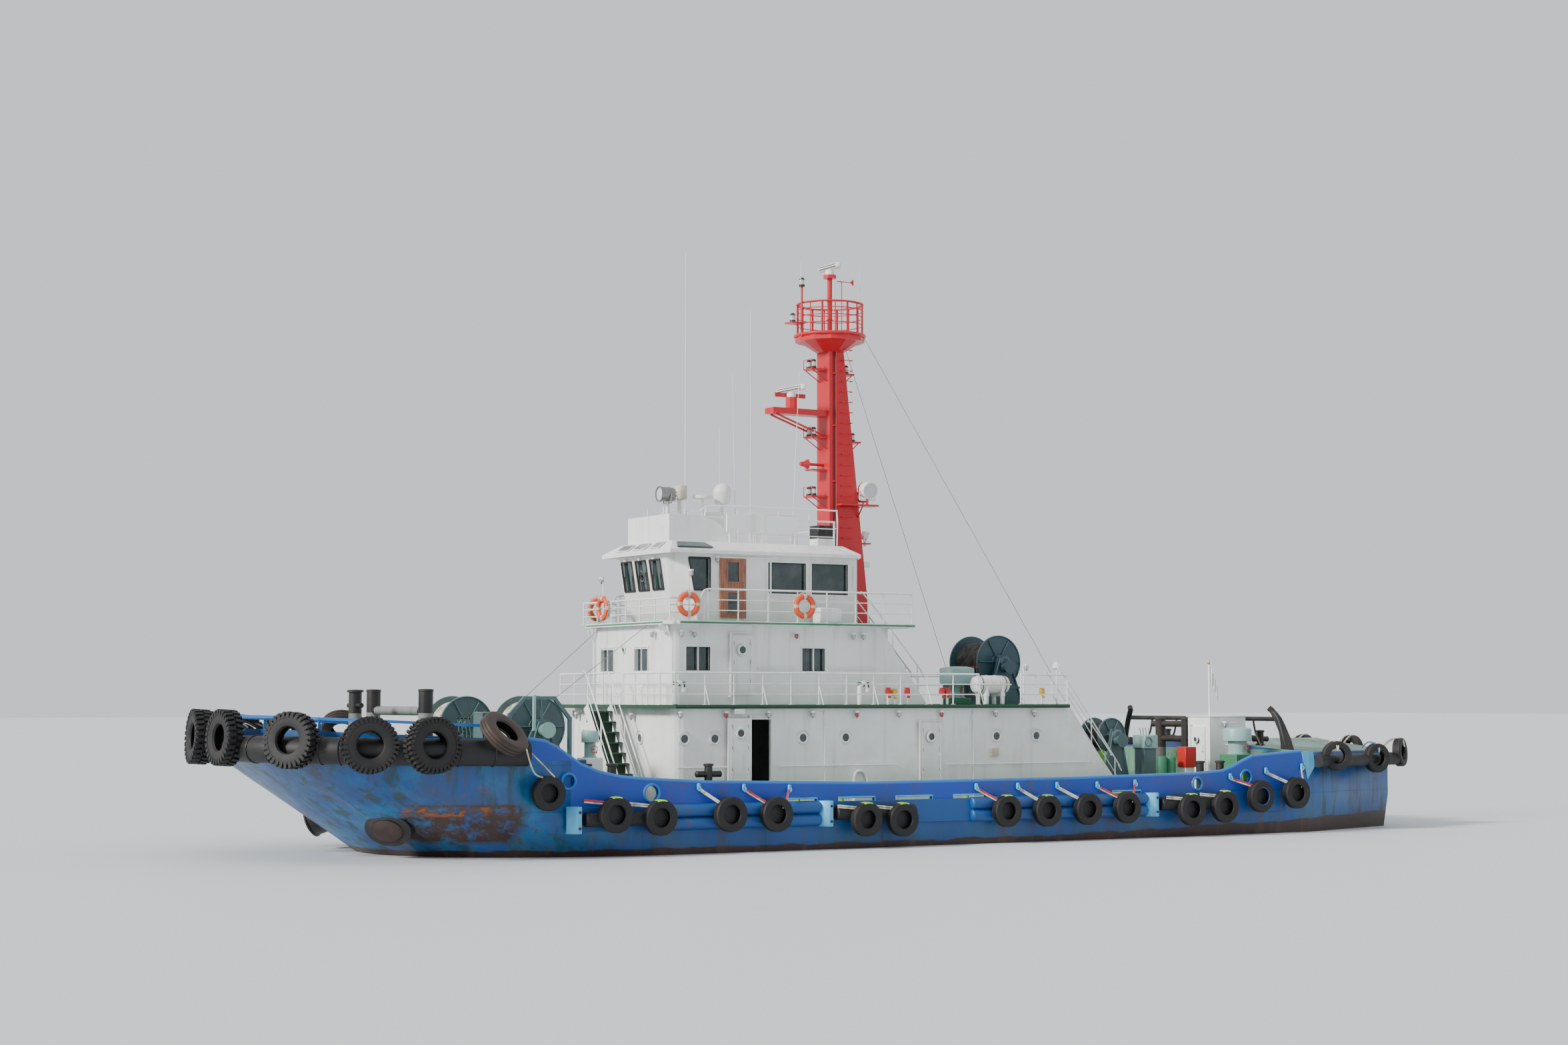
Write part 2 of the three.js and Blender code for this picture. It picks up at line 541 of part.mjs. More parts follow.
// Door openings and leaves. x0, x1, z0, z1: the opening; y: the wall's outer face
const LEAF = { thick: 45, clear: 10, lap: 35, barrel: 36, reach: 38, bracket: 30 };
const HINGE_Y = 80;
const SIDE_DOORS = {
  fore_door: { x0: 4220, x1: 4860, z0: 1740, z1: 3380, y: HOUSE.half, open: true },
  aft_door: { x0: -1250, x1: -550, z0: 1660, z1: 3240, y: HOUSE.half, open: false },
  upper_door: { x0: 4380, x1: 5040, z0: 4080, z1: 5600, y: UPPER.half, open: false },
};
const SLIDING = { x0: 4380, x1: 5070, z0: 6170, z1: 7690, y: WHEEL.half, travel: 760, track: [3480, 5180] };

const doorHole = ({ x0, x1, z0, z1 }) => box(x0, x1, -6000, 6000, z0, z1);

function brackets({ x1, z0, z1, y }) {
  const hinge = x1 + LEAF.lap + 5;
  const low = z0 - LEAF.lap;
  const high = z1 + LEAF.lap;
  const { reach, bracket } = LEAF;
  const lug = (za, zb) => box(hinge - bracket, hinge + bracket, y - 10, y + HINGE_Y + bracket, za, zb);
  return [lug(low - 2 * reach, low - reach - GAP), lug(high + reach + GAP, high + 2 * reach)];
}

function leaf({ x0, x1, z0, z1, y, open }) {
  const hinge = x1 + LEAF.lap + 5;
  const face = y + LEAF.clear;
  const plate = box(x0 - LEAF.lap, hinge - 10, face, face + LEAF.thick, z0 - LEAF.lap, z1 + LEAF.lap);
  const port = rod([x0 + 290, face - 10, z1 - 380], [x0 + 290, face + 60, z1 - 380], 90, 8);
  const handle = box(x0 + 20, x0 + 70, face + LEAF.thick - 5, face + LEAF.thick + 40, z0 + 700, z0 + 900);
  const closed = join([cut(plate, [port]), handle]);
  const swung = open ? closed.translate(-hinge, -(y + HINGE_Y), 0).rotate([0, 0, 180])
    .translate(hinge, y + HINGE_Y, 0) : closed;
  const barrel = rod([hinge, y + HINGE_Y, z0 - LEAF.lap - LEAF.reach],
    [hinge, y + HINGE_Y, z1 + LEAF.lap + LEAF.reach], LEAF.barrel, 8);
  return swung.add(barrel);
}

function mainHouse() {
  const size = { front: HOUSE.front, aft: HOUSE.aftTop, half: HOUSE.half, wall: HOUSE.wall,
    bottom: MAIN_DECK_Z + GAP, top: HOUSE.roof - GAP, chamfer: 320, aftTop: HOUSE.aftTop,
    aftFoot: HOUSE.aftFoot };
  const doors = [SIDE_DOORS.fore_door, SIDE_DOORS.aft_door];
  const lugs = doors.flatMap((door) => brackets(door)).flatMap((lug) => [lug, mirrored(lug)]);
  const walls = cut(join([shell(size), wing(size), ...lugs]), doors.map((door) => doorHole(door)));
  add('main_house', walls, PAINT.white);
}

const UPPER_WINDOWS = [[5670, 6400, 4680, 5310], [2070, 2790, 4680, 5300]];
const UPPER_FRONT_WINDOWS = [[-1700, -950], [300, 1050]];

function upperHouse() {
  const size = { front: UPPER.front, aft: UPPER.recess, half: UPPER.half, wall: UPPER.wall,
    bottom: BOAT_DECK.top + GAP, top: UPPER.roof - GAP, chamfer: 300, aftTop: UPPER.aftTop,
    aftFoot: UPPER.aftFoot };
  const door = SIDE_DOORS.upper_door;
  const lugs = brackets(door).flatMap((lug) => [lug, mirrored(lug)]);
  const { wall, spine: aftX, spineHalf, recess } = UPPER;
  const room = spineHalf - wall;
  const spine = box(aftX, recess + wall, -spineHalf, spineHalf, size.bottom, size.top)
    .subtract(box(aftX + wall, recess + 300, -room, room, 3000, 7000));
  const pass = box(recess - 10, recess + 100, -room, room, 3000, 7000);
  const holes = [doorHole(door), ...UPPER_WINDOWS.map(([x0, x1, z0, z1]) => box(x0, x1, -3000, 3000, z0, z1)),
    ...UPPER_FRONT_WINDOWS.map(([y0, y1]) => box(6600, 7100, y0, y1, 4660, 5270))];
  add('upper_house', cut(join([shell(size), spine, wing(size), ...lugs]), [pass, ...holes]), PAINT.white);
  const inset = UPPER.wall + GAP;
  const glazing = shell({ ...size, front: size.front - inset, aft: 1500, half: size.half - inset, wall: 14,
    bottom: 4560, top: 5860, chamfer: size.chamfer - inset });
  add('upper_house_glass', cut(glazing, [doorHole(door), box(1400, 1700, -3000, 3000, 4000, 6000)]), PAINT.glass);
}

// Wheelhouse with a raked front and chamfered corners
const WHEEL_CHAMFER = 450;
function wheelShape(inset, bottom, top) {
  const slope = (WHEEL.brow - WHEEL.foot) / (WHEEL.top - BRIDGE_DECK.top);
  const frontAt = (z) => WHEEL.foot + slope * (z - BRIDGE_DECK.top) - inset;
  const side = panel([[WHEEL.aft + inset, bottom], [WHEEL.aft + inset, top], [frontAt(top), top],
    [frontAt(bottom), bottom]], -(WHEEL.half - inset), WHEEL.half - inset);
  const corner = WHEEL_CHAMFER - inset * 0.4;
  const half = WHEEL.half - inset;
  const wedgeCut = (sign) => {
    const low = frontAt(bottom);
    const high = frontAt(top);
    const points = [[low - corner, half, bottom], [low + 300, half, bottom], [low + 300, half - corner - 300, bottom],
      [high - corner, half, top], [high + 300, half, top], [high + 300, half - corner - 300, top]];
    return prism(points.map(([x, y, z]) => [x, y * sign + sign * 0.01, z]));
  };
  return cut(side, [wedgeCut(1), wedgeCut(-1)]);
}

// A three-sided prism from its bottom triangle and its top triangle
function prism(points) {
  const geometry = new THREE.BufferGeometry();
  geometry.setAttribute('position', new THREE.Float32BufferAttribute(points.flat(), 3));
  geometry.setIndex([0, 2, 1, 3, 4, 5, 0, 1, 4, 0, 4, 3, 1, 2, 5, 1, 5, 4, 2, 0, 3, 2, 3, 5]);
  return solid(geometry);
}

// [aft x, fore x at the sill, fore x at the head, sill z, head z]
const WHEEL_WINDOWS = [[5420, 5900, 6080, 6850, 7720], [2400, 3590, 3590, 6800, 7650],
  [1030, 2210, 2210, 6800, 7650]];
const WHEEL_FRONT_WINDOWS = [[-1250, -640], [-420, 190], [410, 1020]];

function wheelhouse() {
  const bottom = BRIDGE_DECK.top + GAP;
  const top = WHEEL.top - GAP;
  const inside = wheelShape(WHEEL.wall, bottom - 20, top + 20);
  const holes = [doorHole(SLIDING), ...WHEEL_WINDOWS.map(([x0, xs, xh, z0, z1]) =>
    panel([[x0, z0], [x0, z1], [xh, z1], [xs, z0]], -3000, 3000)),
  ...WHEEL_FRONT_WINDOWS.map(([y0, y1]) => box(6150, 7000, y0, y1, 6880, 7690))];
  const [t0, t1] = SLIDING.track;
  const track = box(t0, t1, WHEEL.half - 5, WHEEL.half + 60, SLIDING.z1 + 36 + GAP, SLIDING.z1 + 76);
  const walls = cut(wheelShape(0, bottom, top), [inside]);
  add('wheelhouse', join([cut(walls, holes), track, mirrored(track)]), PAINT.white);
  const outer = wheelShape(WHEEL.wall + GAP, 6760, 7790);
  const inner = wheelShape(WHEEL.wall + 14, 6700, 7830);
  add('wheelhouse_glass', cut(outer, [inner, box(4200, 5250, -3000, 3000, 6000, 7700)]), PAINT.glass);
}

function slidingDoor() {
  const { x0, x1, z0, z1, y } = SLIDING;
  const leafPlate = box(x0 - 60, x1 + 60, y + 8, y + 53, z0 - 60, z1 + 36);
  const high = box(x0 + 170, x1 - 170, y, y + 60, z1 - 600, z1 - 70);
  const low = box(x0 + 170, x1 - 170, y, y + 60, z0 + 80, z0 + 620);
  return cut(leafPlate, [high, low]);
}

// Rails: posts and bars along a path. Rows are heights above the deck
function rail(points, deck, height, rows, spacing = 1650, width = 45) {
  const parts = [];
  points.slice(1).forEach((to, i) => {
    const from = points[i];
    const run = new THREE.Vector2(to[0] - from[0], to[1] - from[1]);
    const length = run.length();
    const count = Math.max(1, Math.round(length / spacing));
    [height - width / 2, ...rows].forEach((z) =>
      parts.push(bar([from[0], from[1], deck + z], [to[0], to[1], deck + z], width * (z < height - width ? 0.7 : 1))));
    for (let k = i === 0 ? 0 : 1; k <= count; k += 1) {
      const x = from[0] + (run.x * k) / count;
      const y = from[1] + (run.y * k) / count;
      parts.push(box(x - width / 2, x + width / 2, y - width / 2, y + width / 2, deck + GAP, deck + height));
    }
  });
  return join(parts);
}

const RAIL_ROWS = [290, 570];
const BOAT_RAIL = { height: 850, y: 3100, fore: 7480, corner: 300, headGap: 750, gapFore: -2450, gapAft: -3950,
  aft: -5560 };
const RING_XS = [2940, 6530];
const RING_Z = 6430;
const BRIDGE_RAIL = { height: 870, y: 2540, fore: 5900, aft: -640, frontX: 7040, frontHeight: 620 };

// Life rings tied outside the rails: [x, y, z, way it faces]
const LIFE_RING = { radius: 265, thick: 75 };
const FRONT_RING = [7100, -1200, 6420];

function lifeRing(centre, axis) {
  const geometry = new THREE.TorusGeometry(LIFE_RING.radius, LIFE_RING.thick, 5, 12);
  geometry.rotateX(Math.PI / 2);
  return place(solid(geometry), centre, axis);
}

function rails() {
  const { fore, y: railY, gapFore, gapAft, aft, corner, headGap } = BOAT_RAIL;
  const { top } = BOAT_DECK;
  const chain = bar([gapFore, railY, top + RAIL_ROWS[1]], [gapAft, railY, top + RAIL_ROWS[1]], 32);
  const portFore = rail([[fore, headGap], [fore, railY - corner], [fore - corner, railY], [gapFore, railY]], top,
    BOAT_RAIL.height, RAIL_ROWS);
  const portAft = rail([[gapAft, railY], [aft, railY]], top, BOAT_RAIL.height, RAIL_ROWS);
  add('boat_rail_port', join([portFore, chain, portAft]), PAINT.white);
  add('boat_rail_starboard', rail([[fore - 1050, -railY], [aft, -railY]], top, BOAT_RAIL.height, RAIL_ROWS),
    PAINT.white);
  const front = rail([[fore - 900, -railY], [fore, -railY], [fore, -450]], top, BOAT_RAIL.height, RAIL_ROWS, 1200);
  add('boat_rail_front', front, PAINT.white);
  const bridge = rail([[BRIDGE_RAIL.fore, BRIDGE_RAIL.y], [BRIDGE_RAIL.aft, BRIDGE_RAIL.y]],
    BRIDGE_DECK.top, BRIDGE_RAIL.height, RAIL_ROWS);
  const y = BRIDGE_RAIL.y;
  const rings = RING_XS.map((ringX) => lifeRing([ringX, y + 85, RING_Z], [0, 1, 0]));
  const side = bridge.add(rings[0]);
  add('bridge_rail_port', side, PAINT.white);
  add('bridge_rail_starboard', mirrored(side), PAINT.white);
  const x = BRIDGE_RAIL.frontX;
  const low = rail([[BRIDGE_RAIL.fore + 120, -y], [x, -y], [x, y], [BRIDGE_RAIL.fore + 120, y]],
    BRIDGE_DECK.top, BRIDGE_RAIL.frontHeight, [290], 1700);
  add('bridge_rail_front', join([low, rings[1], mirrored(rings[1]), lifeRing(FRONT_RING, [1, 0, 0])]), PAINT.white);
}

// Decks and roofs
// Pipes that stand on the boat deck: [x, y, radius, top]
const HYDRANTS = [[480, 3000, 34, 4150], [280, 3000, 34, 4120], [-150, 3000, 34, 4150], [-1310, 3000, 34, 4150],
  [-1490, 3000, 34, 4150], [-4770, 3000, 34, 4150]];
const GOOSENECKS = [[7000, 2750, 60, 4380], [1310, 2850, 60, 4380]];

function deckPipes() {
  const low = BOAT_DECK.top - 20;
  const hydrants = HYDRANTS.map(([x, y, radius, top]) => join([rod([x, y, low], [x, y, top], radius, 6),
    rod([x, y, top - 70], [x, y, top], radius * 1.9, 8)]));
  const goosenecks = GOOSENECKS.map(([x, y, radius, top]) => join([rod([x, y, low], [x, y, top], radius, 8),
    rod([x, y, top - radius], [x - 230, y, top - radius], radius, 8),
    rod([x - 230, y, top], [x - 230, y, top - 260], radius * 1.15, 8)]));
  return [...hydrants, ...goosenecks];
}

function decks() {
  const boat = BOAT_DECK;
  add('boat_deck', join([slab([[boat.aft, -boat.half], [boat.front, -boat.half], [boat.front, boat.half - 350],
    [boat.front - 350, boat.half], [boat.aft, boat.half]], HOUSE.roof, boat.top), ...deckPipes()]), PAINT.deck);
  const bridge = BRIDGE_DECK;
  add('bridge_deck', slab([[bridge.aft, -bridge.half], [bridge.front - 300, -bridge.half],
    [bridge.front, -bridge.half + 300], [bridge.front, bridge.half - 300], [bridge.front - 300, bridge.half],
    [bridge.aft, bridge.half]], UPPER.roof, bridge.top)
    .subtract(box(-480, 712, 1390, 2110, 5800, 6100)), PAINT.deck);
  add('wheelhouse_roof', join([wheelRoof(), ...topGear()]), PAINT.white);
}

// What stands on the wheelhouse top: searchlight, covered light, dome aerial, rack, screen plate and battery box
const SEARCHLIGHT = { x: 6050, y: 550, z: 9500, radius: 190, half: 240 };
const DOME = { x: 4480, y: 800, z: 9600, radius: 240 };
const SCREEN_PLATE = { x0: 2360, x1: 4620, y: 1280, z0: 8490, z1: 8970, posts: [2450, 3500, 4530] };

function topGear() {
  const low = ROOF.top - 30;
  const { x, y, z, radius, half } = SEARCHLIGHT;
  const lamp = join([rod([x - half, y, z], [x + half, y, z], radius, 12), rod([x, y, low], [x, y, z], 50, 8)]);
  const covered = join([box(5640, 5780, 340, 820, 9380, 9720), rod([5700, 580, low], [5700, 580, 9400], 50, 8)]);
  const ball = solid(new THREE.SphereGeometry(DOME.radius, 10, 7)).rotate([90, 0, 0])
    .translate([DOME.x, DOME.y, DOME.z]);
  const dome = join([ball, rod([DOME.x, DOME.y, DOME.z - 310], [DOME.x, DOME.y, DOME.z - 60], 190, 12),
    rod([DOME.x, DOME.y, low], [DOME.x, DOME.y, DOME.z - 300], 40, 8)]);
  const dish = join([rod([5100, 800, low], [5100, 800, 9440], 30, 8),
    rod([5100, 800, 9410], [5100, 800, 9485], 260, 12)]);
  const rack = join([box(4600, 5080, 870, 930, 8420, 9040), ...[4640, 5040].map((at) =>
    rod([at, 900, low], [at, 900, 9140], 25, 6))]);
  const plate = join([box(SCREEN_PLATE.x0, SCREEN_PLATE.x1, SCREEN_PLATE.y, SCREEN_PLATE.y + 45, SCREEN_PLATE.z0,
    SCREEN_PLATE.z1), ...SCREEN_PLATE.posts.map((at) =>
    rod([at, SCREEN_PLATE.y + 22, low - 20], [at, SCREEN_PLATE.y + 22, SCREEN_PLATE.z0 + 60], 22, 6))]);
  return [lamp, covered, dome, dish, rack, plate, box(860, 1390, 360, 840, low, 8790)];
}

function wheelRoof() {
  const low = [[ROOF.aft, -ROOF.half], [ROOF.front, -ROOF.half], [ROOF.front, ROOF.half], [ROOF.aft, ROOF.half]];
  const high = [[ROOF.topAft, -ROOF.topHalf], [ROOF.topFront, -ROOF.topHalf], [ROOF.topFront, ROOF.topHalf],
    [ROOF.topAft, ROOF.topHalf]];
  const vertices = [...low.map(([x, y]) => [x, y, WHEEL.top]), ...low.map(([x, y]) => [x, y, ROOF.edge]),
    ...high.map(([x, y]) => [x, y, ROOF.top])];
  const geometry = new THREE.BufferGeometry();
  geometry.setAttribute('position', new THREE.Float32BufferAttribute(vertices.flat(), 3));
  const sides = [0, 4].flatMap((base) => [0, 1, 2, 3].flatMap((i) => {
    const next = (i + 1) % 4;
    return [base + i, base + next, base + next + 4, base + i, base + next + 4, base + i + 4];
  }));
  geometry.setIndex([0, 2, 1, 0, 3, 2, 8, 9, 10, 8, 10, 11, ...sides]);
  return solid(geometry);
}

// Top screen: the bulwark round the front of the wheelhouse top, and its rail
const SCREEN = { front: 6350, half: 1200, top: 8920, sideAft: 4500, railAft: 1050, thick: 60 };
function topScreen() {
  const { front, half, top, sideAft, railAft, thick } = SCREEN;
  const bottom = ROOF.top + GAP;
  const cutRound = [];
  for (let i = 0; i <= 5; i += 1) {
    const angle = (Math.PI / 2) * (i / 5);
    cutRound.push([sideAft + 1150 - 1150 * Math.sin(angle), top - (top - bottom - 60) * (1 - Math.cos(angle))]);
  }
  const side = panel([[front, bottom], [front, top], ...cutRound, [sideAft, bottom]], half - thick, half);
  const face = box(front - thick, front, -half, half, bottom, top);
  const bars = [bar([sideAft + 1200, half - thick / 2, top - 40], [railAft, half - thick / 2, top - 40], 45)];
  [sideAft - 900, sideAft - 2200, railAft + 25].forEach((x) =>
    bars.push(box(x - 22, x + 22, half - 52, half - 8, bottom, top - 30)));
  const port = join([side, ...bars]);
  return join([face, port, mirrored(port)]);
}

// Stairs: two stringers and treads between them, and a handrail
// with feet on the deck below
function stair({ from, to, width, steps, deck, side = [0, 1, 0], railHeight = 850, rails: railSides = [0, 1] }) {
  const start = new THREE.Vector3(...from);
  const run = new THREE.Vector3(...to).sub(start);
  const across = new THREE.Vector3(...side);
  const at = (share, acrossShare, lift = 0) => start.clone().addScaledVector(run, share)
    .addScaledVector(across, width * acrossShare).add(new THREE.Vector3(0, 0, lift)).toArray();
  const parts = [];
  [0, 1].forEach((s) => {
    const [x, y, z] = at(0, s, 100);
    parts.push(bar([x, y, z], at(1, s, 100), 90), box(x - 45, x + 45, y - 45, y + 45, deck + GAP, z + 30));
  });
  for (let i = 0; i < steps; i += 1) {
    const share = (i + 0.5) / steps;
    const geometry = new THREE.BoxGeometry(across.x ? width : 210, across.y ? width : 210, 34);
    const [x, y, z] = at(share, 0.5, 100);
    geometry.translate(x, y, z);
    parts.push(solid(geometry));
  }
  railSides.forEach((s) => {
    parts.push(bar(at(0.02, s, railHeight + 100), at(0.98, s, railHeight + 100), 40));
    [0.04, 0.96].forEach((share) => parts.push(bar(at(share, s, 100), at(share, s, railHeight + 100), 36)));
  });
  return join(parts);
}

function stairs() {
  const foreX = 7550 + 45 + GAP;
  const fore = stair({ from: [foreX, 1950, MAIN_DECK_Z + 30], to: [foreX, 150, BOAT_DECK.top - 130], width: 700,
    steps: 7, deck: MAIN_DECK_Z, side: [1, 0, 0] });
  add('fore_stair', fore, PAINT.white);
  const landing = (x0, x1, ys, z0, z1) => ys.map((y) => box(x0, x1, y - 40, y + 40, z0, z1));
  const aft = stair({ from: [-7700, 2050, MAIN_DECK_Z + 30], to: [-5760, 2050, BOAT_DECK.top - 110], width: 700,
    steps: 7, deck: MAIN_DECK_Z });
  add('aft_stair_port', join([aft, ...landing(-5800, BOAT_DECK.aft - GAP, [2050, 2750], 3690, 3765)]), PAINT.white);
  const high = stair({ from: [-1250, 1450, BOAT_DECK.top + 30], to: [620, 1450, BRIDGE_DECK.top - 140], width: 600,
    steps: 6, deck: BOAT_DECK.top });
  add('bridge_stair', join([high, ...landing(580, 712 - GAP, [1450, 2050], 5905, 5990)]), PAINT.white);
}

// Mast: a tapering box with a round platform, radar arm and lamp shelves
const MAST_SHELVES = [9650, 11350, 13300];
const LAMP = { radius: 66, height: 250, shelf: 380 };
const AFT_LIGHT = { x: -500, y: 450, z: 9900 };
const RADAR_ARM = { reach: 2500, z: 11980, seat: 12150, x: 1770, top: 12480 };
const TOP_POLE = { z: 16000, seat: 16100 };

function mast() {
  const { front, half, footDepth, topDepth, top, platform, radius } = MAST;
  const axis = front - topDepth / 2;
  const body = panel([[front - footDepth, BRIDGE_DECK.top + GAP], [front - topDepth, top], [front, top],
    [front, BRIDGE_DECK.top + GAP]], -half, half);
  const disc = rod([axis, 0, top - 10], [axis, 0, platform], radius, 12);
  const cone = rod([axis, 0, top - 320], [axis, 0, top + 10], 380, 12, 900);
  const pole = rod([axis, 0, platform - 10], [axis, 0, TOP_POLE.z + 10], 75, 8);
  const seat = rod([axis, 0, TOP_POLE.z], [axis, 0, TOP_POLE.seat], 190, 8);
  const lean = (footDepth - topDepth) / (top - BRIDGE_DECK.top);
  const aftAt = (z) => front - footDepth + lean * (z - BRIDGE_DECK.top);
  const lamp = (x, y, z) => rod([x, y, z], [x, y, z + LAMP.height], LAMP.radius, 8);
  const shelves = MAST_SHELVES.flatMap((z) => [box(front - 20, front + 520, -220, 220, z, z + 50),
    box(aftAt(z) - LAMP.shelf, front - 200, -220, 220, z - 90, z - 40),
    lamp(front + 400, -120, z + 40), lamp(front + 400, 120, z + 40), lamp(aftAt(z) - 220, 0, z - 50)]);
  const { x: lightX, y: lightY, z: lightZ } = AFT_LIGHT;
  shelves.push(box(lightX - 260, front - 200, 180, lightY + 220, lightZ - 480, lightZ - 430),
    rod([lightX, lightY, lightZ - 450], [lightX, lightY, lightZ - 100], 40, 6),
    rod([lightX, lightY - 160, lightZ + 30], [lightX, lightY + 160, lightZ - 30], 225, 12));
  const arm = box(front - 20, RADAR_ARM.reach, -240, 240, RADAR_ARM.z, RADAR_ARM.seat);
  const pedestal = rod([RADAR_ARM.x, 0, RADAR_ARM.seat - 10], [RADAR_ARM.x, 0, RADAR_ARM.top], 170, 8);
  const ring = [];
  for (let i = 0; i < 8; i += 1) {
    const at = (k, z) => [axis + Math.cos((k * Math.PI) / 4) * (radius - 50),
      Math.sin((k * Math.PI) / 4) * (radius - 50), z];
    ring.push(bar(at(i, platform - 10), at(i, platform + 880), 45));
    ring.push(bar(at(i, platform + 880), at(i + 1, platform + 880), 45));
  }
  add('mast', join([body, disc, cone, pole, seat, ...shelves, arm, pedestal, ...ring]), PAINT.red);
}

// Radar scanners, each on its own pedestal
function scanner(name, x, seat, length) {
  const hub = rod([x, 0, seat + GAP], [x, 0, seat + 150], 130, 8);
  const blade = box(x - 90, x + 90, -length / 2, length / 2, seat + 140, seat + 330);
  add(name, join([hub, blade]), PAINT.white);
}

// A winch drum on a shaft along Y
function drum({ x, z, y0, y1, flange, core, shaft, ends }) {
  const thick = 45;
  return join([rod([x, y0, z], [x, y0 + thick, z], flange, 16), rod([x, y1 - thick, z], [x, y1, z], flange, 16),
    rod([x, y0 + 10, z], [x, y1 - 10, z], core, 12), rod([x, ends[0] + GAP, z], [x, ends[1] - GAP, z], shaft, 8)]);
}

const FORE_WINCH = { x: 10950, z: 3220, flange: 780, core: 420, shaft: 80, y0: 1700, y1: 2700, gear: 300,
  bearing: 2950, plate: 80, base: 30, headDrop: 80 };
const TOW_WINCH = { x: -4850, z: 5000, flange: 780, core: 420, shaft: 90, y0: -600, y1: 800,
  bearings: [-800, 1000] };
const AFT_WINCH = { x: -8700, z: 2840, flange: 520, core: 260, shaft: 80, y0: 330, y1: 1200,
  bearings: [130, 1350] };

// A bearing plate, wide at the foot
function bearer(x, z, y0, y1, foot, low) {
  return panel([[x - foot, low], [x - 170, z + 190], [x + 170, z + 190], [x + foot, low]], y0, y1);
}

// The pipe guard round the port warping head, on its own legs and stayed to the bearing plate
const GUARD = { y: 3150, pipe: 90, tie: 60, outline: [[11940, 2400], [11940, 3520], [11520, 3950], [10700, 3950],
  [10260, 3430], [10260, 2400]] };

function winchGuard() {
  const { y, pipe, tie, outline } = GUARD;
  const low = FORE_DECK_Z + GAP;
  const half = pipe / 2;
  const at = ([x, z]) => [x, y, Math.max(z, low)];
  const pipes = outline.slice(1).map((point, i) => bar(at(outline[i]), at(point), pipe));
  const joint = outline.slice(1, -1).map(([x, z]) =>
    box(x - half, x + half, y - half, y + half, z - half, z + half));
  const plate = FORE_WINCH.bearing + 40;
  const ties = [[[10950, plate, 3380], [11100, y, 3950]], [[10260, y, 2500], [10500, plate, 2500]],
    [[11940, y, 2500], [11400, plate, 2500]]].map(([from, to]) => bar(from, to, tie));
  return [...pipes, ...joint, ...ties];
}

function foreWinch() {
  const { x, z, gear, bearing, plate, base: baseTop, headDrop } = FORE_WINCH;
  const low = FORE_DECK_Z + GAP;
  const headZ = z - headDrop;
  const outer = bearing + plate;
  const sides = [1, -1].flatMap((s) => {
    const near = s > 0 ? bearing : -outer;
    const head = rod([x, s * (outer - 10), headZ], [x, s * (outer + 300), headZ], 120, 10);
    const lip = rod([x, s * (outer + 270), headZ], [x, s * (outer + 330), headZ], 190, 10);
    return [bearer(x, z, near, near + plate, 620, low), head, lip];
  });
  const base = box(x - 480, x + 480, -bearing - 20, bearing + 20, low, low + baseTop);
  const casing = box(x - 430, x + 430, -gear, gear, low, z + 340);
  add('fore_winch_bed', join([...sides, base, casing, ...winchGuard()]), PAINT.winch);
  const port = drum({ ...FORE_WINCH, ends: [gear, bearing] });
  add('fore_drum_port', port, PAINT.winch);
  add('fore_drum_starboard', mirrored(port), PAINT.winch);
}

function midWinch(name, size, low, foot) {
  const [inner, outer] = size.bearings;
  const plate = 80;
  const frames = [bearer(size.x, size.z, inner - plate, inner, foot, low),
    bearer(size.x, size.z, outer, outer + plate, foot, low)];
  const base = box(size.x - foot, size.x + foot, inner - 20, outer + 20, low, low + 140);
  const face = outer + plate;
  const headZ = size.z - 150;
  const head = rod([size.x, face - 10, headZ], [size.x, face + 260, headZ], 110, 10);
  const lip = rod([size.x, face + 240, headZ], [size.x, face + 300, headZ], 190, 10);
  add(`${name}_winch_bed`, join([...frames, base, head, lip]), PAINT.winchDark);
  add(`${name}_drum`, drum({ ...size, ends: [inner, outer] }), PAINT.winchDark);
}

// Bitts: two posts with cross bars, which may run past the posts
function bitts(name, { x, half, low, top, bars, radius, past }) {
  const posts = [1, -1].map((s) => rod([x, s * half, low], [x, s * half, top], radius, 8));
  const rails = bars.map((z) => rod([x, -half - past, z], [x, half + past, z], radius * 0.58, 6));
  add(name, join([...posts, ...rails]), PAINT.black);
}

// Tow bow: a bar across the stern deck on two swept legs with horns
function towBow() {
  const guard = hullSolid().translate([0, 0, GAP]);
  const side = join([bar([-13300, 3900, 2200], [-13180, 3560, 3330], 210),
    bar([-13180, 3600, 3230], [-13050, 3300, 3640], 130)]);
  const beam = bar([-13200, -3560, 3320], [-13200, 3560, 3320], 120);
  add('tow_bow', cut(join([beam, side, mirrored(side)]), [guard]), PAINT.black);
}

// Ventilators: a round stem under a mushroom head, on a square seat
function vent(name, [x, y, low], seat, stem, head, zs) {
  const [seatTop, headLow, headTop] = zs;
  const brim = headLow + (headTop - headLow) * 0.55;
  add(name, join([box(x - seat, x + seat, y - seat, y + seat, low, seatTop),
    rod([x, y, seatTop - 10], [x, y, headLow + 10], stem, 12), rod([x, y, headLow], [x, y, brim], head, 16),
    rod([x, y, brim - 1], [x, y, headTop], head, 16, head * 0.5)]),
  PAINT.vent);
}

const COMPANION = { aft: -12800, fore: -11400, y0: 1500, y1: 2500, wall: 60, top: 3380 };
const COMPANION_DOOR = { x0: -280, x1: 280, z0: 1650, z1: 3050, y: 0, open: false };

const FLAGSTAFF = { x: -11560, y: 2300, top: 4990 };

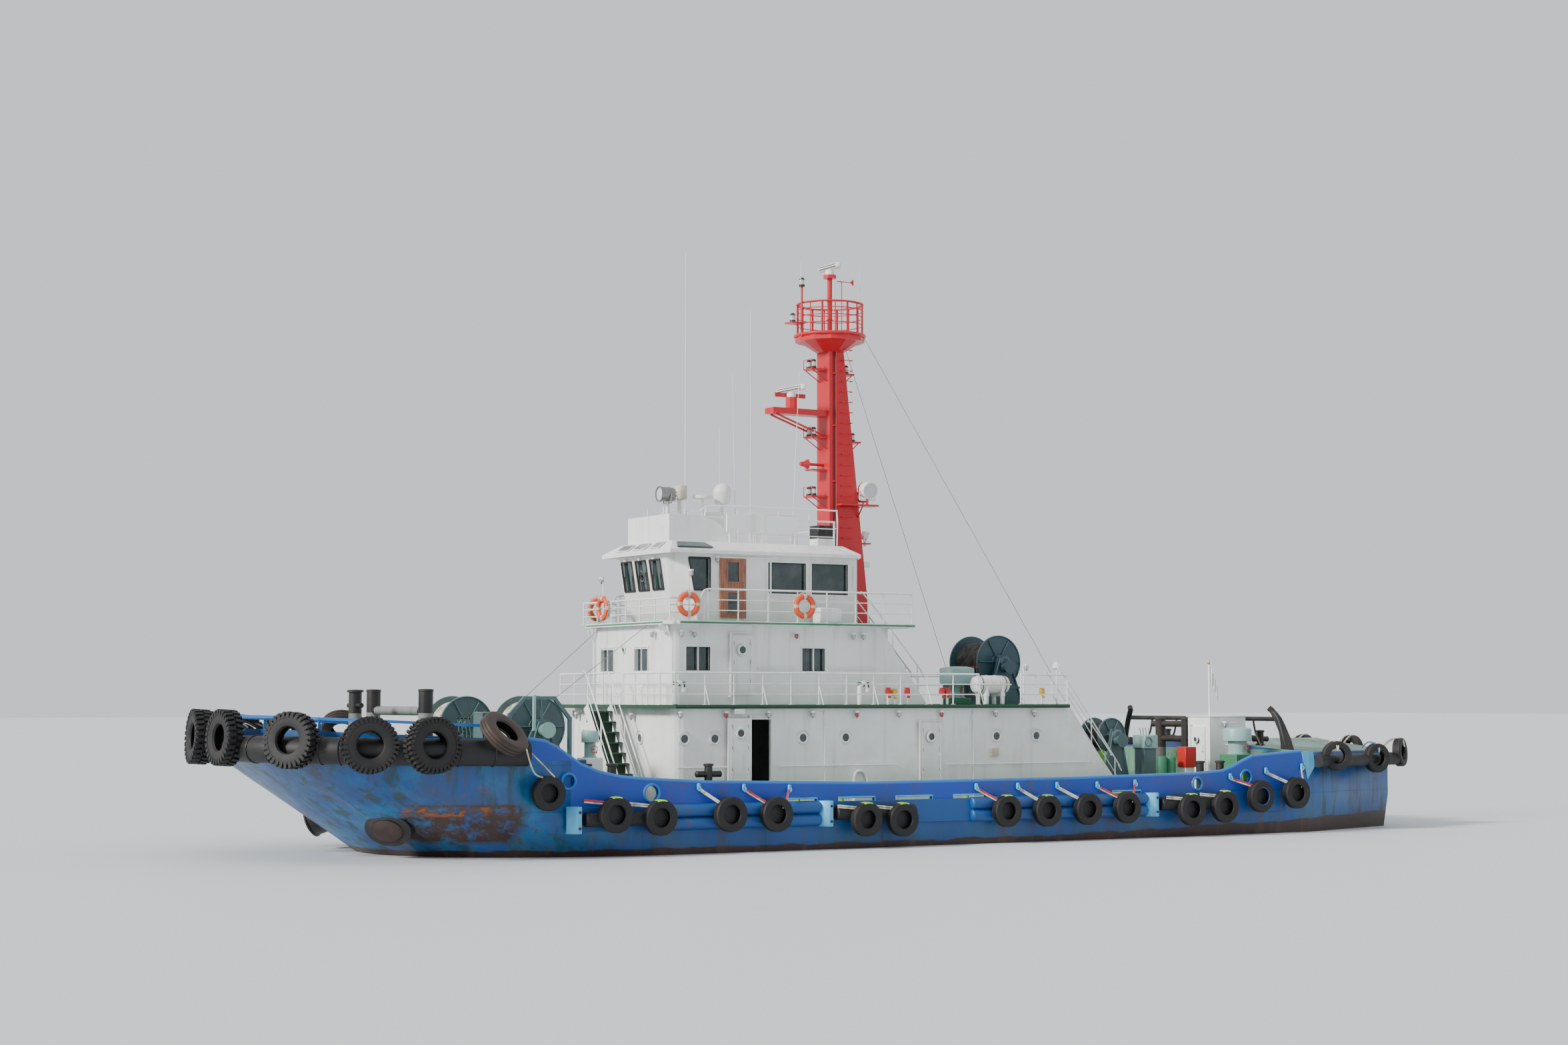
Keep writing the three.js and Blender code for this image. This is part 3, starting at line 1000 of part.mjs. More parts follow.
function companion() {
  const { aft, fore, y0, y1, wall, top } = COMPANION;
  const turn = (body) => body.rotate([0, 0, -90]).translate([fore, (y0 + y1) / 2, 0]);
  const house = box(aft, fore, y0, y1, MAIN_DECK_Z + GAP, top)
    .subtract(box(aft + wall, fore - wall, y0 + wall, y1 - wall, 0, top - wall));
  const hole = box(-280, 280, -300, 100, COMPANION_DOOR.z0, COMPANION_DOOR.z1);
  const lugs = brackets(COMPANION_DOOR).map((lug) => turn(lug));
  const staff = rod([FLAGSTAFF.x, FLAGSTAFF.y, top - 20], [FLAGSTAFF.x, FLAGSTAFF.y, FLAGSTAFF.top], 25, 6);
  add('companionway', join([cut(house, [turn(hole)]), ...lugs, staff]), PAINT.white);
  add('companion_door', turn(leaf(COMPANION_DOOR)), PAINT.white);
}

function lifeRaft() {
  const [x0, x1, y, z] = [-3750, -2600, 2700, 4330];
  const pod = rod([x0, y, z], [x1, y, z], 255, 10);
  const cradle = [x0 + 300, x1 - 300].flatMap((x) => [
    box(x - 40, x + 40, y - 250, y - 150, BOAT_DECK.top + GAP, z), box(x - 40, x + 40, y + 150, y + 250,
      BOAT_DECK.top + GAP, z)]);
  add('life_raft', join([pod, ...cradle]), PAINT.white);
}

// Azimuth thrusters: a turning leg with its pod and nozzle, and a four-bladed propeller
const LEG = { radius: 300, flange: 480, boss: 520, podRadius: 330, back: 1150 };
const PROP = { at: -640, hub: 260, radius: 940, blades: 4, blade: 46, chord: 520, pitch: 0.5 };

function thruster(y) {
  const { x, z, ring, bore, ringHalf, top } = THRUSTER;
  const at = [x, y];
  const flange = rod([...at, top - GAP - 90], [...at, top - GAP], LEG.flange, 14);
  const leg = rod([...at, z], [...at, top - GAP - 80], LEG.radius, 12);
  const pod = join([rod([x - 330, y, z], [x + 520, y, z], LEG.podRadius, 12),
    rod([x + 510, y, z], [x + 900, y, z], LEG.podRadius, 12, 90)]);
  const centre = x + PROP.at;
  const nozzle = turned([[bore, -ringHalf], [ring - 40, -ringHalf], [ring, ringHalf * 0.6], [ring - 20, ringHalf],
    [bore, ringHalf]], [centre, y, z], [1, 0, 0], 16);
  const strut = box(centre - 100, x + 60, y - 70, y + 70, z + bore + 20, z + ring + 180);
  const foot = box(centre + ringHalf - 200, x + 250, y - 60, y + 60, z - ring + 10, z - 250);
  const clear = rod([centre - 700, y, z], [centre + ringHalf - 190, y, z], bore - 1, 16);
  return join([flange, leg, pod.subtract(box(x - 340, x - 320, y - 400, y + 400, z - 400, z + 400)), nozzle,
    strut, foot.subtract(clear)]);
}

function propeller(y) {
  const { x, z } = THRUSTER;
  const centre = x + PROP.at;
  const hub = join([rod([centre - 260, y, z], [x - 320 - GAP, y, z], PROP.hub, 12),
    rod([centre - 420, y, z], [centre - 250, y, z], 60, 12, PROP.hub)]);
  const blades = [];
  for (let i = 0; i < PROP.blades; i += 1) {
    const geometry = new THREE.BoxGeometry(PROP.blade, PROP.chord, PROP.radius - PROP.hub + 60);
    geometry.rotateZ(PROP.pitch);
    geometry.translate(0, 0, (PROP.radius + PROP.hub - 60) / 2);
    geometry.rotateX((i * 2 * Math.PI) / PROP.blades);
    geometry.translate(centre, y, z);
    blades.push(solid(geometry));
  }
  const trim = rod([centre - 500, y, z], [centre + 500, y, z], PROP.radius, 24);
  return hub.add(join(blades).intersect(trim));
}

function build() {
  hull();
  add('bulwark_port', sideBulwark(), PAINT.hull);
  add('bulwark_starboard', mirrored(sideBulwark()), PAINT.hull);
  add('bow_bulwark', bowBulwark(), PAINT.railBlue);
  add('strake_port', strake(), PAINT.hull);
  add('strake_starboard', mirrored(strake()), PAINT.hull);
  add('side_tyres_port', sideTyres(), PAINT.rubber);
  add('side_tyres_starboard', mirrored(sideTyres()), PAINT.rubber);
  add('bow_fender', bowFender(), PAINT.rubber);
  add('stern_fender', sternFender(), PAINT.rubber);
  [['port', 1], ['starboard', -1]].forEach(([side, sign]) => {
    add(`thruster_${side}`, thruster(sign * THRUSTER.y), PAINT.antifouling);
    add(`propeller_${side}`, propeller(sign * THRUSTER.y), PAINT.bronze);
  });
  mainHouse();
  upperHouse();
  wheelhouse();
  decks();
  Object.entries(SIDE_DOORS).forEach(([name, door]) => {
    add(`${name}_port`, leaf(door), PAINT.white);
    add(`${name}_starboard`, mirrored(leaf(door)), PAINT.white);
  });
  add('sliding_door_port', slidingDoor(), PAINT.brown);
  add('sliding_door_starboard', mirrored(slidingDoor()), PAINT.brown);
  companion();
  rails();
  add('top_screen', topScreen(), PAINT.white);
  stairs();
  mast();
  scanner('radar_mid', RADAR_ARM.x, RADAR_ARM.top, 1500);
  scanner('radar_top', MAST.front - MAST.topDepth / 2, TOP_POLE.seat, 1100);
  foreWinch();
  midWinch('tow', TOW_WINCH, BOAT_DECK.top + GAP, 650);
  midWinch('aft', AFT_WINCH, MAIN_DECK_Z + GAP, 560);
  bitts('fore_bitts', { x: 13600, half: 1750, low: FORE_DECK_Z + GAP, top: 4170, bars: [3620], radius: 185,
    past: 0 });
  bitts('aft_bitts', { x: -12070, half: 620, low: MAIN_DECK_Z + GAP, top: 3330, bars: [2700, 3150], radius: 160,
    past: 350 });
  towBow();
  vent('boat_vent', [-2800, 1600, BOAT_DECK.top + GAP], 300, 205, 500, [3950, 4340, 4840]);
  vent('aft_vent', [-11600, 3500, MAIN_DECK_Z + GAP], 380, 280, 420, [2290, 2680, 3070]);
  vent('fore_vent', [9100, 2000, MAIN_DECK_Z + GAP], 260, 150, 230, [2400, 2800, 3100]);
  lifeRaft();
}

build();

export default tug;
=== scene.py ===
"""Harbour tugboat: paint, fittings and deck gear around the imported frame.

+X is the bow, +Y port and +Z up, in metres. The waterline is at Z = 0.
"""
import json
import math
from collections import Counter

import bmesh
import bpy
from mathutils import Matrix, Vector


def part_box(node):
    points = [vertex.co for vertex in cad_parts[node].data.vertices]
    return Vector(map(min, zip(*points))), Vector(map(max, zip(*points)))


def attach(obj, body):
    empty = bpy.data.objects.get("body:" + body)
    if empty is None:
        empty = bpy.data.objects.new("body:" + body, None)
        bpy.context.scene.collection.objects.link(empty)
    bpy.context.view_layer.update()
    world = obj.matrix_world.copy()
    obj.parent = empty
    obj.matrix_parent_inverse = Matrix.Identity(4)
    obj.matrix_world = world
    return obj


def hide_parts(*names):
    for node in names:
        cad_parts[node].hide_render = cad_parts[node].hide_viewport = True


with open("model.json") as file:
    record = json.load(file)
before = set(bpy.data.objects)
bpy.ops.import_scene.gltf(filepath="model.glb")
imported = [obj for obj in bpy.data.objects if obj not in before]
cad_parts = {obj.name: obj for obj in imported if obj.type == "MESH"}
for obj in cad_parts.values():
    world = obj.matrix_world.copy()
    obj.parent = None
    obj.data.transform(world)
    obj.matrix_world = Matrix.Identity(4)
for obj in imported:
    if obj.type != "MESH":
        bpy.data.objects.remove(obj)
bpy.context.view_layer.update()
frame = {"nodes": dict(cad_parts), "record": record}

bl_info = {
    "name": "Harbour Tugboat",
    "version": (1, 0, 0),
    "blender": (4, 5, 0),
    "location": "3D View > Sidebar > Tugboat",
    "description": "Paints and fits out a harbour tugboat around its packed frame",
    "category": "Add Mesh",
}

SIDES = (1, -1)
NAMED_SIDES = (("port", 1), ("starboard", -1))
AHEAD, PORT, UP = (Vector(row) for row in Matrix.Identity(3))

# Heights and breadths of the ship that more than one group uses
MAIN_DECK = 1.08
FORE_DECK = 2.4
STERN_DECK = 2.35
BOAT_DECK = 3.77
BRIDGE_DECK = 6.0
ROOF_TOP = 8.18
HULL_SIDE = 4.75
STERN_BREAK = -13.0
FORE_BREAK = 10.2
HOUSE_SIDE = 3.0
UPPER_SIDE = 2.25
WHEEL_SIDE = 1.8


# Shader nodes
def node(tree, kind, values=None, **settings):
    """One shader node: its settings, then its inputs as numbers, colours or sockets."""
    made = tree.nodes.new(kind)
    for key, value in settings.items():
        setattr(made, key, value)
    for socket, value in (values or {}).items():
        target = made.inputs[socket]
        if isinstance(value, bpy.types.NodeSocket):
            tree.links.new(value, target)
        else:
            target.default_value = value
    return made


def math_node(tree, operation, first, second=0.0, clamp=False):
    return node(tree, "ShaderNodeMath", {0: first, 1: second}, operation=operation,
                use_clamp=clamp).outputs[0]


def times(tree, first, second, clamp=False):
    return math_node(tree, "MULTIPLY", first, second, clamp)


def plus(tree, first, second, clamp=False):
    return math_node(tree, "ADD", first, second, clamp)


def blend_colour(tree, share, first, second):
    return node(tree, "ShaderNodeMix", {0: share, 6: first, 7: second}, data_type="RGBA").outputs[2]


def ramp(tree, value, low, high, to_low=0.0, to_high=1.0):
    values = {"Value": value, "From Min": low, "From Max": high, "To Min": to_low, "To Max": to_high}
    return node(tree, "ShaderNodeMapRange", values).outputs[0]


def noise(tree, vector, scale, detail=4.0, rough=0.55):
    values = {"Vector": vector, "Scale": scale, "Detail": detail, "Roughness": rough}
    return node(tree, "ShaderNodeTexNoise", values).outputs[0]


def object_point(tree):
    return node(tree, "ShaderNodeTexCoord").outputs["Object"]


def axes(tree):
    """The X, Y and Z of the shaded point."""
    return node(tree, "ShaderNodeSeparateXYZ", {0: object_point(tree)}).outputs


def stretched(tree, vector, scale):
    return node(tree, "ShaderNodeMapping", {"Vector": vector, "Scale": scale}).outputs[0]


def rgb(red, green, blue):
    """A colour read from a 0 to 255 screen value, as linear light."""
    def linear(value):
        value /= 255
        return value / 12.92 if value <= 0.04045 else ((value + 0.055) / 1.055) ** 2.4
    return (linear(red), linear(green), linear(blue), 1.0)


SOCKETS = {"colour": "NodeSocketColor", "value": "NodeSocketFloat", "vector": "NodeSocketVector"}


def effect(name, inputs, outputs, fill):
    """A shader node group with named sockets, filled by a function that returns its outputs."""
    tree = bpy.data.node_groups.new(name, "ShaderNodeTree")
    for label, kind, start in inputs:
        socket = tree.interface.new_socket(name=label, in_out="INPUT", socket_type=SOCKETS[kind])
        socket.default_value = start
    for label, kind in outputs:
        tree.interface.new_socket(name=label, in_out="OUTPUT", socket_type=SOCKETS[kind])
    given = tree.nodes.new("NodeGroupInput")
    result = tree.nodes.new("NodeGroupOutput")
    for label, socket in fill(tree, given.outputs).items():
        tree.links.new(socket, result.inputs[label])
    return tree


def fill_weather(tree, given):
    """Paint that has faded, run with rust and gathered dirt."""
    point = object_point(tree)
    across = noise(tree, stretched(tree, point, (1.9, 1.9, 0.16)), 1.6, 5.0, 0.6)
    patch = noise(tree, point, 0.45, 6.0, 0.62)
    speck = noise(tree, point, 7.0, 5.0, 0.65)
    fade = noise(tree, point, 0.23, 3.0)
    run = ramp(tree, across, 0.52, 0.72)
    blot = ramp(tree, patch, 0.5, 0.72)
    dirt = times(tree, given["Dirt"], math_node(tree, "MAXIMUM", run, blot), True)
    seed = times(tree, ramp(tree, speck, 0.56, 0.66), plus(tree, run, blot))
    rust = times(tree, given["Rust"], seed, True)
    shade = ramp(tree, fade, 0.3, 0.7, 0.86, 1.12)
    pale = node(tree, "ShaderNodeVectorMath", {0: given["Paint"], "Scale": shade},
                operation="SCALE").outputs[0]
    dull = blend_colour(tree, dirt, pale, given["Grime"])
    scab = blend_colour(tree, ramp(tree, speck, 0.5, 0.8), rgb(92, 52, 30), rgb(150, 84, 44))
    colour = blend_colour(tree, rust, dull, scab)
    rough = plus(tree, given["Roughness"], times(tree, dirt, 0.2))
    rough = plus(tree, rough, times(tree, rust, 0.35), True)
    height = plus(tree, times(tree, speck, 0.4), times(tree, rust, 0.6))
    return {"Colour": colour, "Roughness": rough, "Height": height}


def fill_seams(tree, given):
    """Welded plate edges on a ship's side, as a grid along X and Z."""
    parts = axes(tree)
    flat = node(tree, "ShaderNodeCombineXYZ", {0: parts[0], 1: parts[2]}).outputs[0]
    values = {"Vector": flat, "Scale": 1.0, "Mortar Size": 0.012, "Mortar Smooth": 0.6,
              "Brick Width": given["Length"], "Row Height": given["Height"], "Color1": (0, 0, 0, 1),
              "Color2": (0, 0, 0, 1), "Mortar": (1, 1, 1, 1)}
    brick = node(tree, "ShaderNodeTexBrick", values)
    wave = noise(tree, object_point(tree), 0.9, 2.0)
    return {"Mask": brick.outputs[1], "Dents": wave}


def fill_grit(tree, given):
    """Fine tooth of rubber, canvas or anti-slip paint."""
    point = object_point(tree)
    fine = noise(tree, point, given["Scale"], 3.0, 0.7)
    broad = noise(tree, point, 1.7, 4.0)
    return {"Height": fine, "Dust": ramp(tree, broad, 0.42, 0.7)}


EFFECTS = {
    "weather": ("weathered_paint", [
        ("Paint", "colour", (0.5, 0.5, 0.5, 1)), ("Grime", "colour", rgb(84, 72, 58)), ("Dirt", "value", 0.3),
        ("Rust", "value", 0.3), ("Roughness", "value", 0.4)],
        [("Colour", "colour"), ("Roughness", "value"), ("Height", "value")], fill_weather),
    "seams": ("plate_seams", [("Length", "value", 4.0), ("Height", "value", 1.2)],
              [("Mask", "value"), ("Dents", "value")], fill_seams),
    "grit": ("surface_grit", [("Scale", "value", 60.0)], [("Height", "value"), ("Dust", "value")], fill_grit),
}
EFFECT_TREES = {}
MATERIALS = {}


def use(tree, name, **values):
    """An effect's group, placed in a material with its own values."""
    made = tree.nodes.new("ShaderNodeGroup")
    if name not in EFFECT_TREES:
        EFFECT_TREES[name] = effect(*EFFECTS[name])
    made.node_tree = EFFECT_TREES[name]
    for key, value in values.items():
        if isinstance(value, bpy.types.NodeSocket):
            tree.links.new(value, made.inputs[key])
        else:
            made.inputs[key].default_value = value
    return made.outputs


def material(name):
    """An empty material with its shader, and the shader's tree."""
    made = bpy.data.materials.new(name)
    made.use_nodes = True
    tree = made.node_tree
    return made, tree, tree.nodes["Principled BSDF"]


def bump(tree, shader, height, strength, distance):
    made = node(tree, "ShaderNodeBump", {"Strength": strength, "Distance": distance, "Height": height})
    tree.links.new(made.outputs[0], shader.inputs["Normal"])


def painted(name, colour, dirt, rust, rough):
    """Plain weathered paint. The colour may be a function that draws it from the tree."""
    made, tree, shader = material(name)
    values = {"Paint": colour(tree) if callable(colour) else colour, "Dirt": dirt, "Rust": rust,
              "Roughness": rough}
    weather = use(tree, "weather", **values)
    tree.links.new(weather["Colour"], shader.inputs["Base Color"])
    tree.links.new(weather["Roughness"], shader.inputs["Roughness"])
    return made, tree, shader, weather


def facing(tree, axis):
    """How far the flat face looks along an axis, from -1 to 1."""
    normal = node(tree, "ShaderNodeNewGeometry").outputs["True Normal"]
    return node(tree, "ShaderNodeSeparateXYZ", {0: normal}).outputs[axis]


LOOKS_STRAIGHT = (0.8, 0.9)  # how far a face looks along an axis where a mask for it begins and is full


def both_masks(tree, *masks):
    """The part that every mask covers."""
    shared = masks[0]
    for mask in masks[1:]:
        shared = times(tree, shared, mask, True)
    return shared


def patch(tree, x0, x1, z0, z1, soft=0.35):
    """A soft-edged patch on both sides of the ship, between two X and two Z."""
    parts = axes(tree)
    x, z = parts[0], parts[2]
    return both_masks(tree, ramp(tree, x, x0, x0 + soft), ramp(tree, x, x1, x1 - soft),
                      ramp(tree, z, z0, z0 + soft * 0.4), ramp(tree, z, z1, z1 - soft * 0.2))


def old_paint(tree, low, high):
    """Broad blots where the paint has aged."""
    return ramp(tree, noise(tree, object_point(tree), 0.6, 6.0, 0.65), low, high)


def over(tree, colour, *layers):
    """Lays colours over a colour, each with the mask that it shows through."""
    for mask, layer in layers:
        colour = blend_colour(tree, mask, colour, layer)
    return colour


def hull_colour(tree):
    """Topsides, boot-top, decks and the faces inside the well."""
    paints = bpy.context.scene.tug_hull
    along_x, _, height = axes(tree)
    ripple = noise(tree, stretched(tree, object_point(tree), (0.8, 0.8, 2.5)), 1.3, 5.0)
    edge = plus(tree, height, times(tree, ramp(tree, ripple, 0.3, 0.7, -1.0, 1.0), 0.05))
    rise = ramp(tree, along_x, -4.0, -18.0, paints.boot_top, paints.boot_top_aft)
    over_boot = math_node(tree, "SUBTRACT", edge, rise)
    old = old_paint(tree, 0.46, 0.66)
    # Paler blue blots, strongest at the bow: faded paint, and at the bow also a painted highlight for the
    # sunlit flare
    faded_and_sunlit = times(tree, old, ramp(tree, along_x, 8.0, 14.0, 0.25, 0.8))
    weed = times(tree, times(tree, ramp(tree, over_boot, 0.75, 0.0), 0.55), old)
    streaks = noise(tree, stretched(tree, object_point(tree), (1.0, 1.0, 0.09)), 2.6, 5.0, 0.6)
    weathered = math_node(tree, "MAXIMUM", ramp(tree, along_x, 7.0, 13.0, 0.2, 0.75),
                          ramp(tree, along_x, STERN_BREAK - 0.4, STERN_BREAK - 1.2, 0.2, 0.95))
    runs = times(tree, ramp(tree, streaks, 0.5, 0.62), weathered)
    speck = noise(tree, object_point(tree), 3.4, 6.0, 0.7)
    scab = both_masks(tree, patch(tree, 12.0, 15.0, 0.3, 1.4), ramp(tree, speck, 0.36, 0.52))
    scuff = both_masks(tree, patch(tree, 13.0, 14.9, 1.02, 1.32, 0.2), ramp(tree, speck, 0.48, 0.56))
    blue = over(tree, paints.topsides, (faded_and_sunlit, paints.faded_and_sunlit), (weed, rgb(44, 70, 62)),
                (runs, rgb(30, 62, 56)), (scab, rgb(58, 38, 34)), (scuff, rgb(150, 82, 40)))
    green = blend_colour(tree, ramp(tree, along_x, STERN_BREAK + 0.1, STERN_BREAK), paints.deck,
                         paints.stern_deck)
    deck = both_masks(tree, ramp(tree, facing(tree, 2), *LOOKS_STRAIGHT), ramp(tree, height, 0.9, 1.0))
    well = both_masks(tree, ramp(tree, height, MAIN_DECK - 0.01, MAIN_DECK + 0.01),
                      ramp(tree, height, FORE_DECK + 0.01, FORE_DECK - 0.01),
                      ramp(tree, along_x, STERN_BREAK - 0.01, STERN_BREAK + 0.01),
                      ramp(tree, along_x, FORE_BREAK + 0.01, FORE_BREAK - 0.01),
                      ramp(tree, math_node(tree, "ABSOLUTE", facing(tree, 0)), *LOOKS_STRAIGHT))
    return over(tree, paints.boot, (ramp(tree, over_boot, -0.02, 0.02), blue), (deck, green),
                (well, paints.inside))


def bulwark_colour(tree):
    """Blue outside, yellow-green inside the side bulwarks."""
    paints = bpy.context.scene.tug_hull
    parts = axes(tree)
    outer = ramp(tree, math_node(tree, "ABSOLUTE", parts[1]), HULL_SIDE - 0.1, HULL_SIDE - 0.08)
    blue = blend_colour(tree, times(tree, old_paint(tree, 0.48, 0.7), 0.3), paints.bulwark, paints.topsides)
    return blend_colour(tree, outer, paints.inside, blue)


def deck_colour(tree):
    """Green on top; the edge is dark green on the boat deck and white on the bridge deck."""
    top = bpy.context.scene.tug_upperworks
    parts = axes(tree)
    edge = blend_colour(tree, ramp(tree, parts[2], 5.0, 5.1), rgb(24, 74, 52), top.white)
    return blend_colour(tree, ramp(tree, facing(tree, 2), 0.5, 0.6), edge, top.deck)


def bow_colour(tree):
    """The bow bulwark: inside where a face looks back at the middle of the foredeck."""
    paints = bpy.context.scene.tug_hull
    out = node(tree, "ShaderNodeVectorMath", {0: object_point(tree), 1: (-11.8, 0.0, -2.8)},
               operation="ADD").outputs[0]
    looks = node(tree, "ShaderNodeVectorMath",
                 {0: out, 1: node(tree, "ShaderNodeNewGeometry").outputs["Normal"]},
                 operation="DOT_PRODUCT").outputs["Value"]
    parts = axes(tree)
    top = ramp(tree, parts[0], 12.15, 17.9, 2.95, 3.23)
    pipes = ramp(tree, math_node(tree, "SUBTRACT", parts[2], top), -0.01, 0.01)
    plate = blend_colour(tree, ramp(tree, looks, -0.6, -0.9), paints.topsides, paints.inside)
    return blend_colour(tree, pipes, plate, paints.rail)


def make_hull_paint(name):
    """Weathered paint with the welded plates' seams and dents."""
    made, tree, shader, weather = painted(name, hull_colour, 0.55, 0.75, 0.38)
    seams = use(tree, "seams", Length=3.6, Height=1.15)
    height = plus(tree, times(tree, weather["Height"], 0.12), times(tree, seams["Mask"], 0.5))
    height = plus(tree, height, times(tree, seams["Dents"], 1.4))
    bump(tree, shader, height, 0.6, 0.02)
    return made


def make_paint(name, colour, dirt, rust, rough, depth=0.003):
    made, tree, shader, weather = painted(name, colour, dirt, rust, rough)
    bump(tree, shader, weather["Height"], 0.5, depth)
    return made


def make_rubber(name, colour, dust, share, rough=0.82, scale=45.0):
    made, tree, shader = material(name)
    grit = use(tree, "grit", Scale=scale)
    mask = times(tree, grit["Dust"], share)
    tree.links.new(blend_colour(tree, mask, colour, dust), shader.inputs["Base Color"])
    tree.links.new(ramp(tree, grit["Dust"], 0, 1, rough - 0.1, rough + 0.08), shader.inputs["Roughness"])
    bump(tree, shader, grit["Height"], 0.5, 0.006)
    return made


def make_metal(name, colour, rough, dull, share=0.5):
    made, tree, shader = material(name)
    grit = use(tree, "grit", Scale=25.0)
    mask = times(tree, grit["Dust"], share)
    tree.links.new(blend_colour(tree, mask, colour, dull), shader.inputs["Base Color"])
    tree.links.new(ramp(tree, mask, 0, 1, rough, rough + 0.4), shader.inputs["Roughness"])
    tree.links.new(ramp(tree, mask, 0, 1, 1.0, 0.35), shader.inputs["Metallic"])
    bump(tree, shader, grit["Height"], 0.3, 0.002)
    return made


def make_glass(name, colour, rough=0.06):
    made, tree, shader = material(name)
    grit = use(tree, "grit", Scale=9.0)
    dusty = blend_colour(tree, times(tree, grit["Dust"], 0.25), colour, rgb(120, 125, 125))
    tree.links.new(dusty, shader.inputs["Base Color"])
    tree.links.new(ramp(tree, grit["Dust"], 0, 1, rough, rough + 0.12), shader.inputs["Roughness"])
    shader.inputs["IOR"].default_value = 1.5
    shader.inputs["Coat Weight"].default_value = 0.6
    return made


def make_wood(name):
    made, tree, shader = material(name)
    grain = noise(tree, stretched(tree, object_point(tree), (9.0, 9.0, 0.7)), 4.0, 5.0, 0.6)
    colour = blend_colour(tree, ramp(tree, grain, 0.35, 0.68), rgb(120, 72, 54), rgb(176, 118, 92))
    tree.links.new(colour, shader.inputs["Base Color"])
    tree.links.new(ramp(tree, grain, 0.3, 0.7, 0.35, 0.55), shader.inputs["Roughness"])
    bump(tree, shader, grain, 0.3, 0.003)
    return made


def make_rope(name, colour, second):
    """Rope worn to a second colour in places. The lay of its strands shows only on a piece with a UV map."""
    made, tree, shader = material(name)
    place = node(tree, "ShaderNodeTexCoord").outputs["UV"]
    turned = node(tree, "ShaderNodeMapping", {"Vector": place, "Rotation": (0, 0, 0.7)}).outputs[0]
    lay = node(tree, "ShaderNodeTexWave", {"Vector": turned, "Scale": 6.0, "Distortion": 0.6}).outputs[1]
    worn = noise(tree, object_point(tree), 5.0, 4.0)
    mixed = blend_colour(tree, ramp(tree, worn, 0.42, 0.6), colour, second)
    tree.links.new(mixed, shader.inputs["Base Color"])
    shader.inputs["Roughness"].default_value = 0.85
    bump(tree, shader, lay, 0.8, 0.01)
    return made


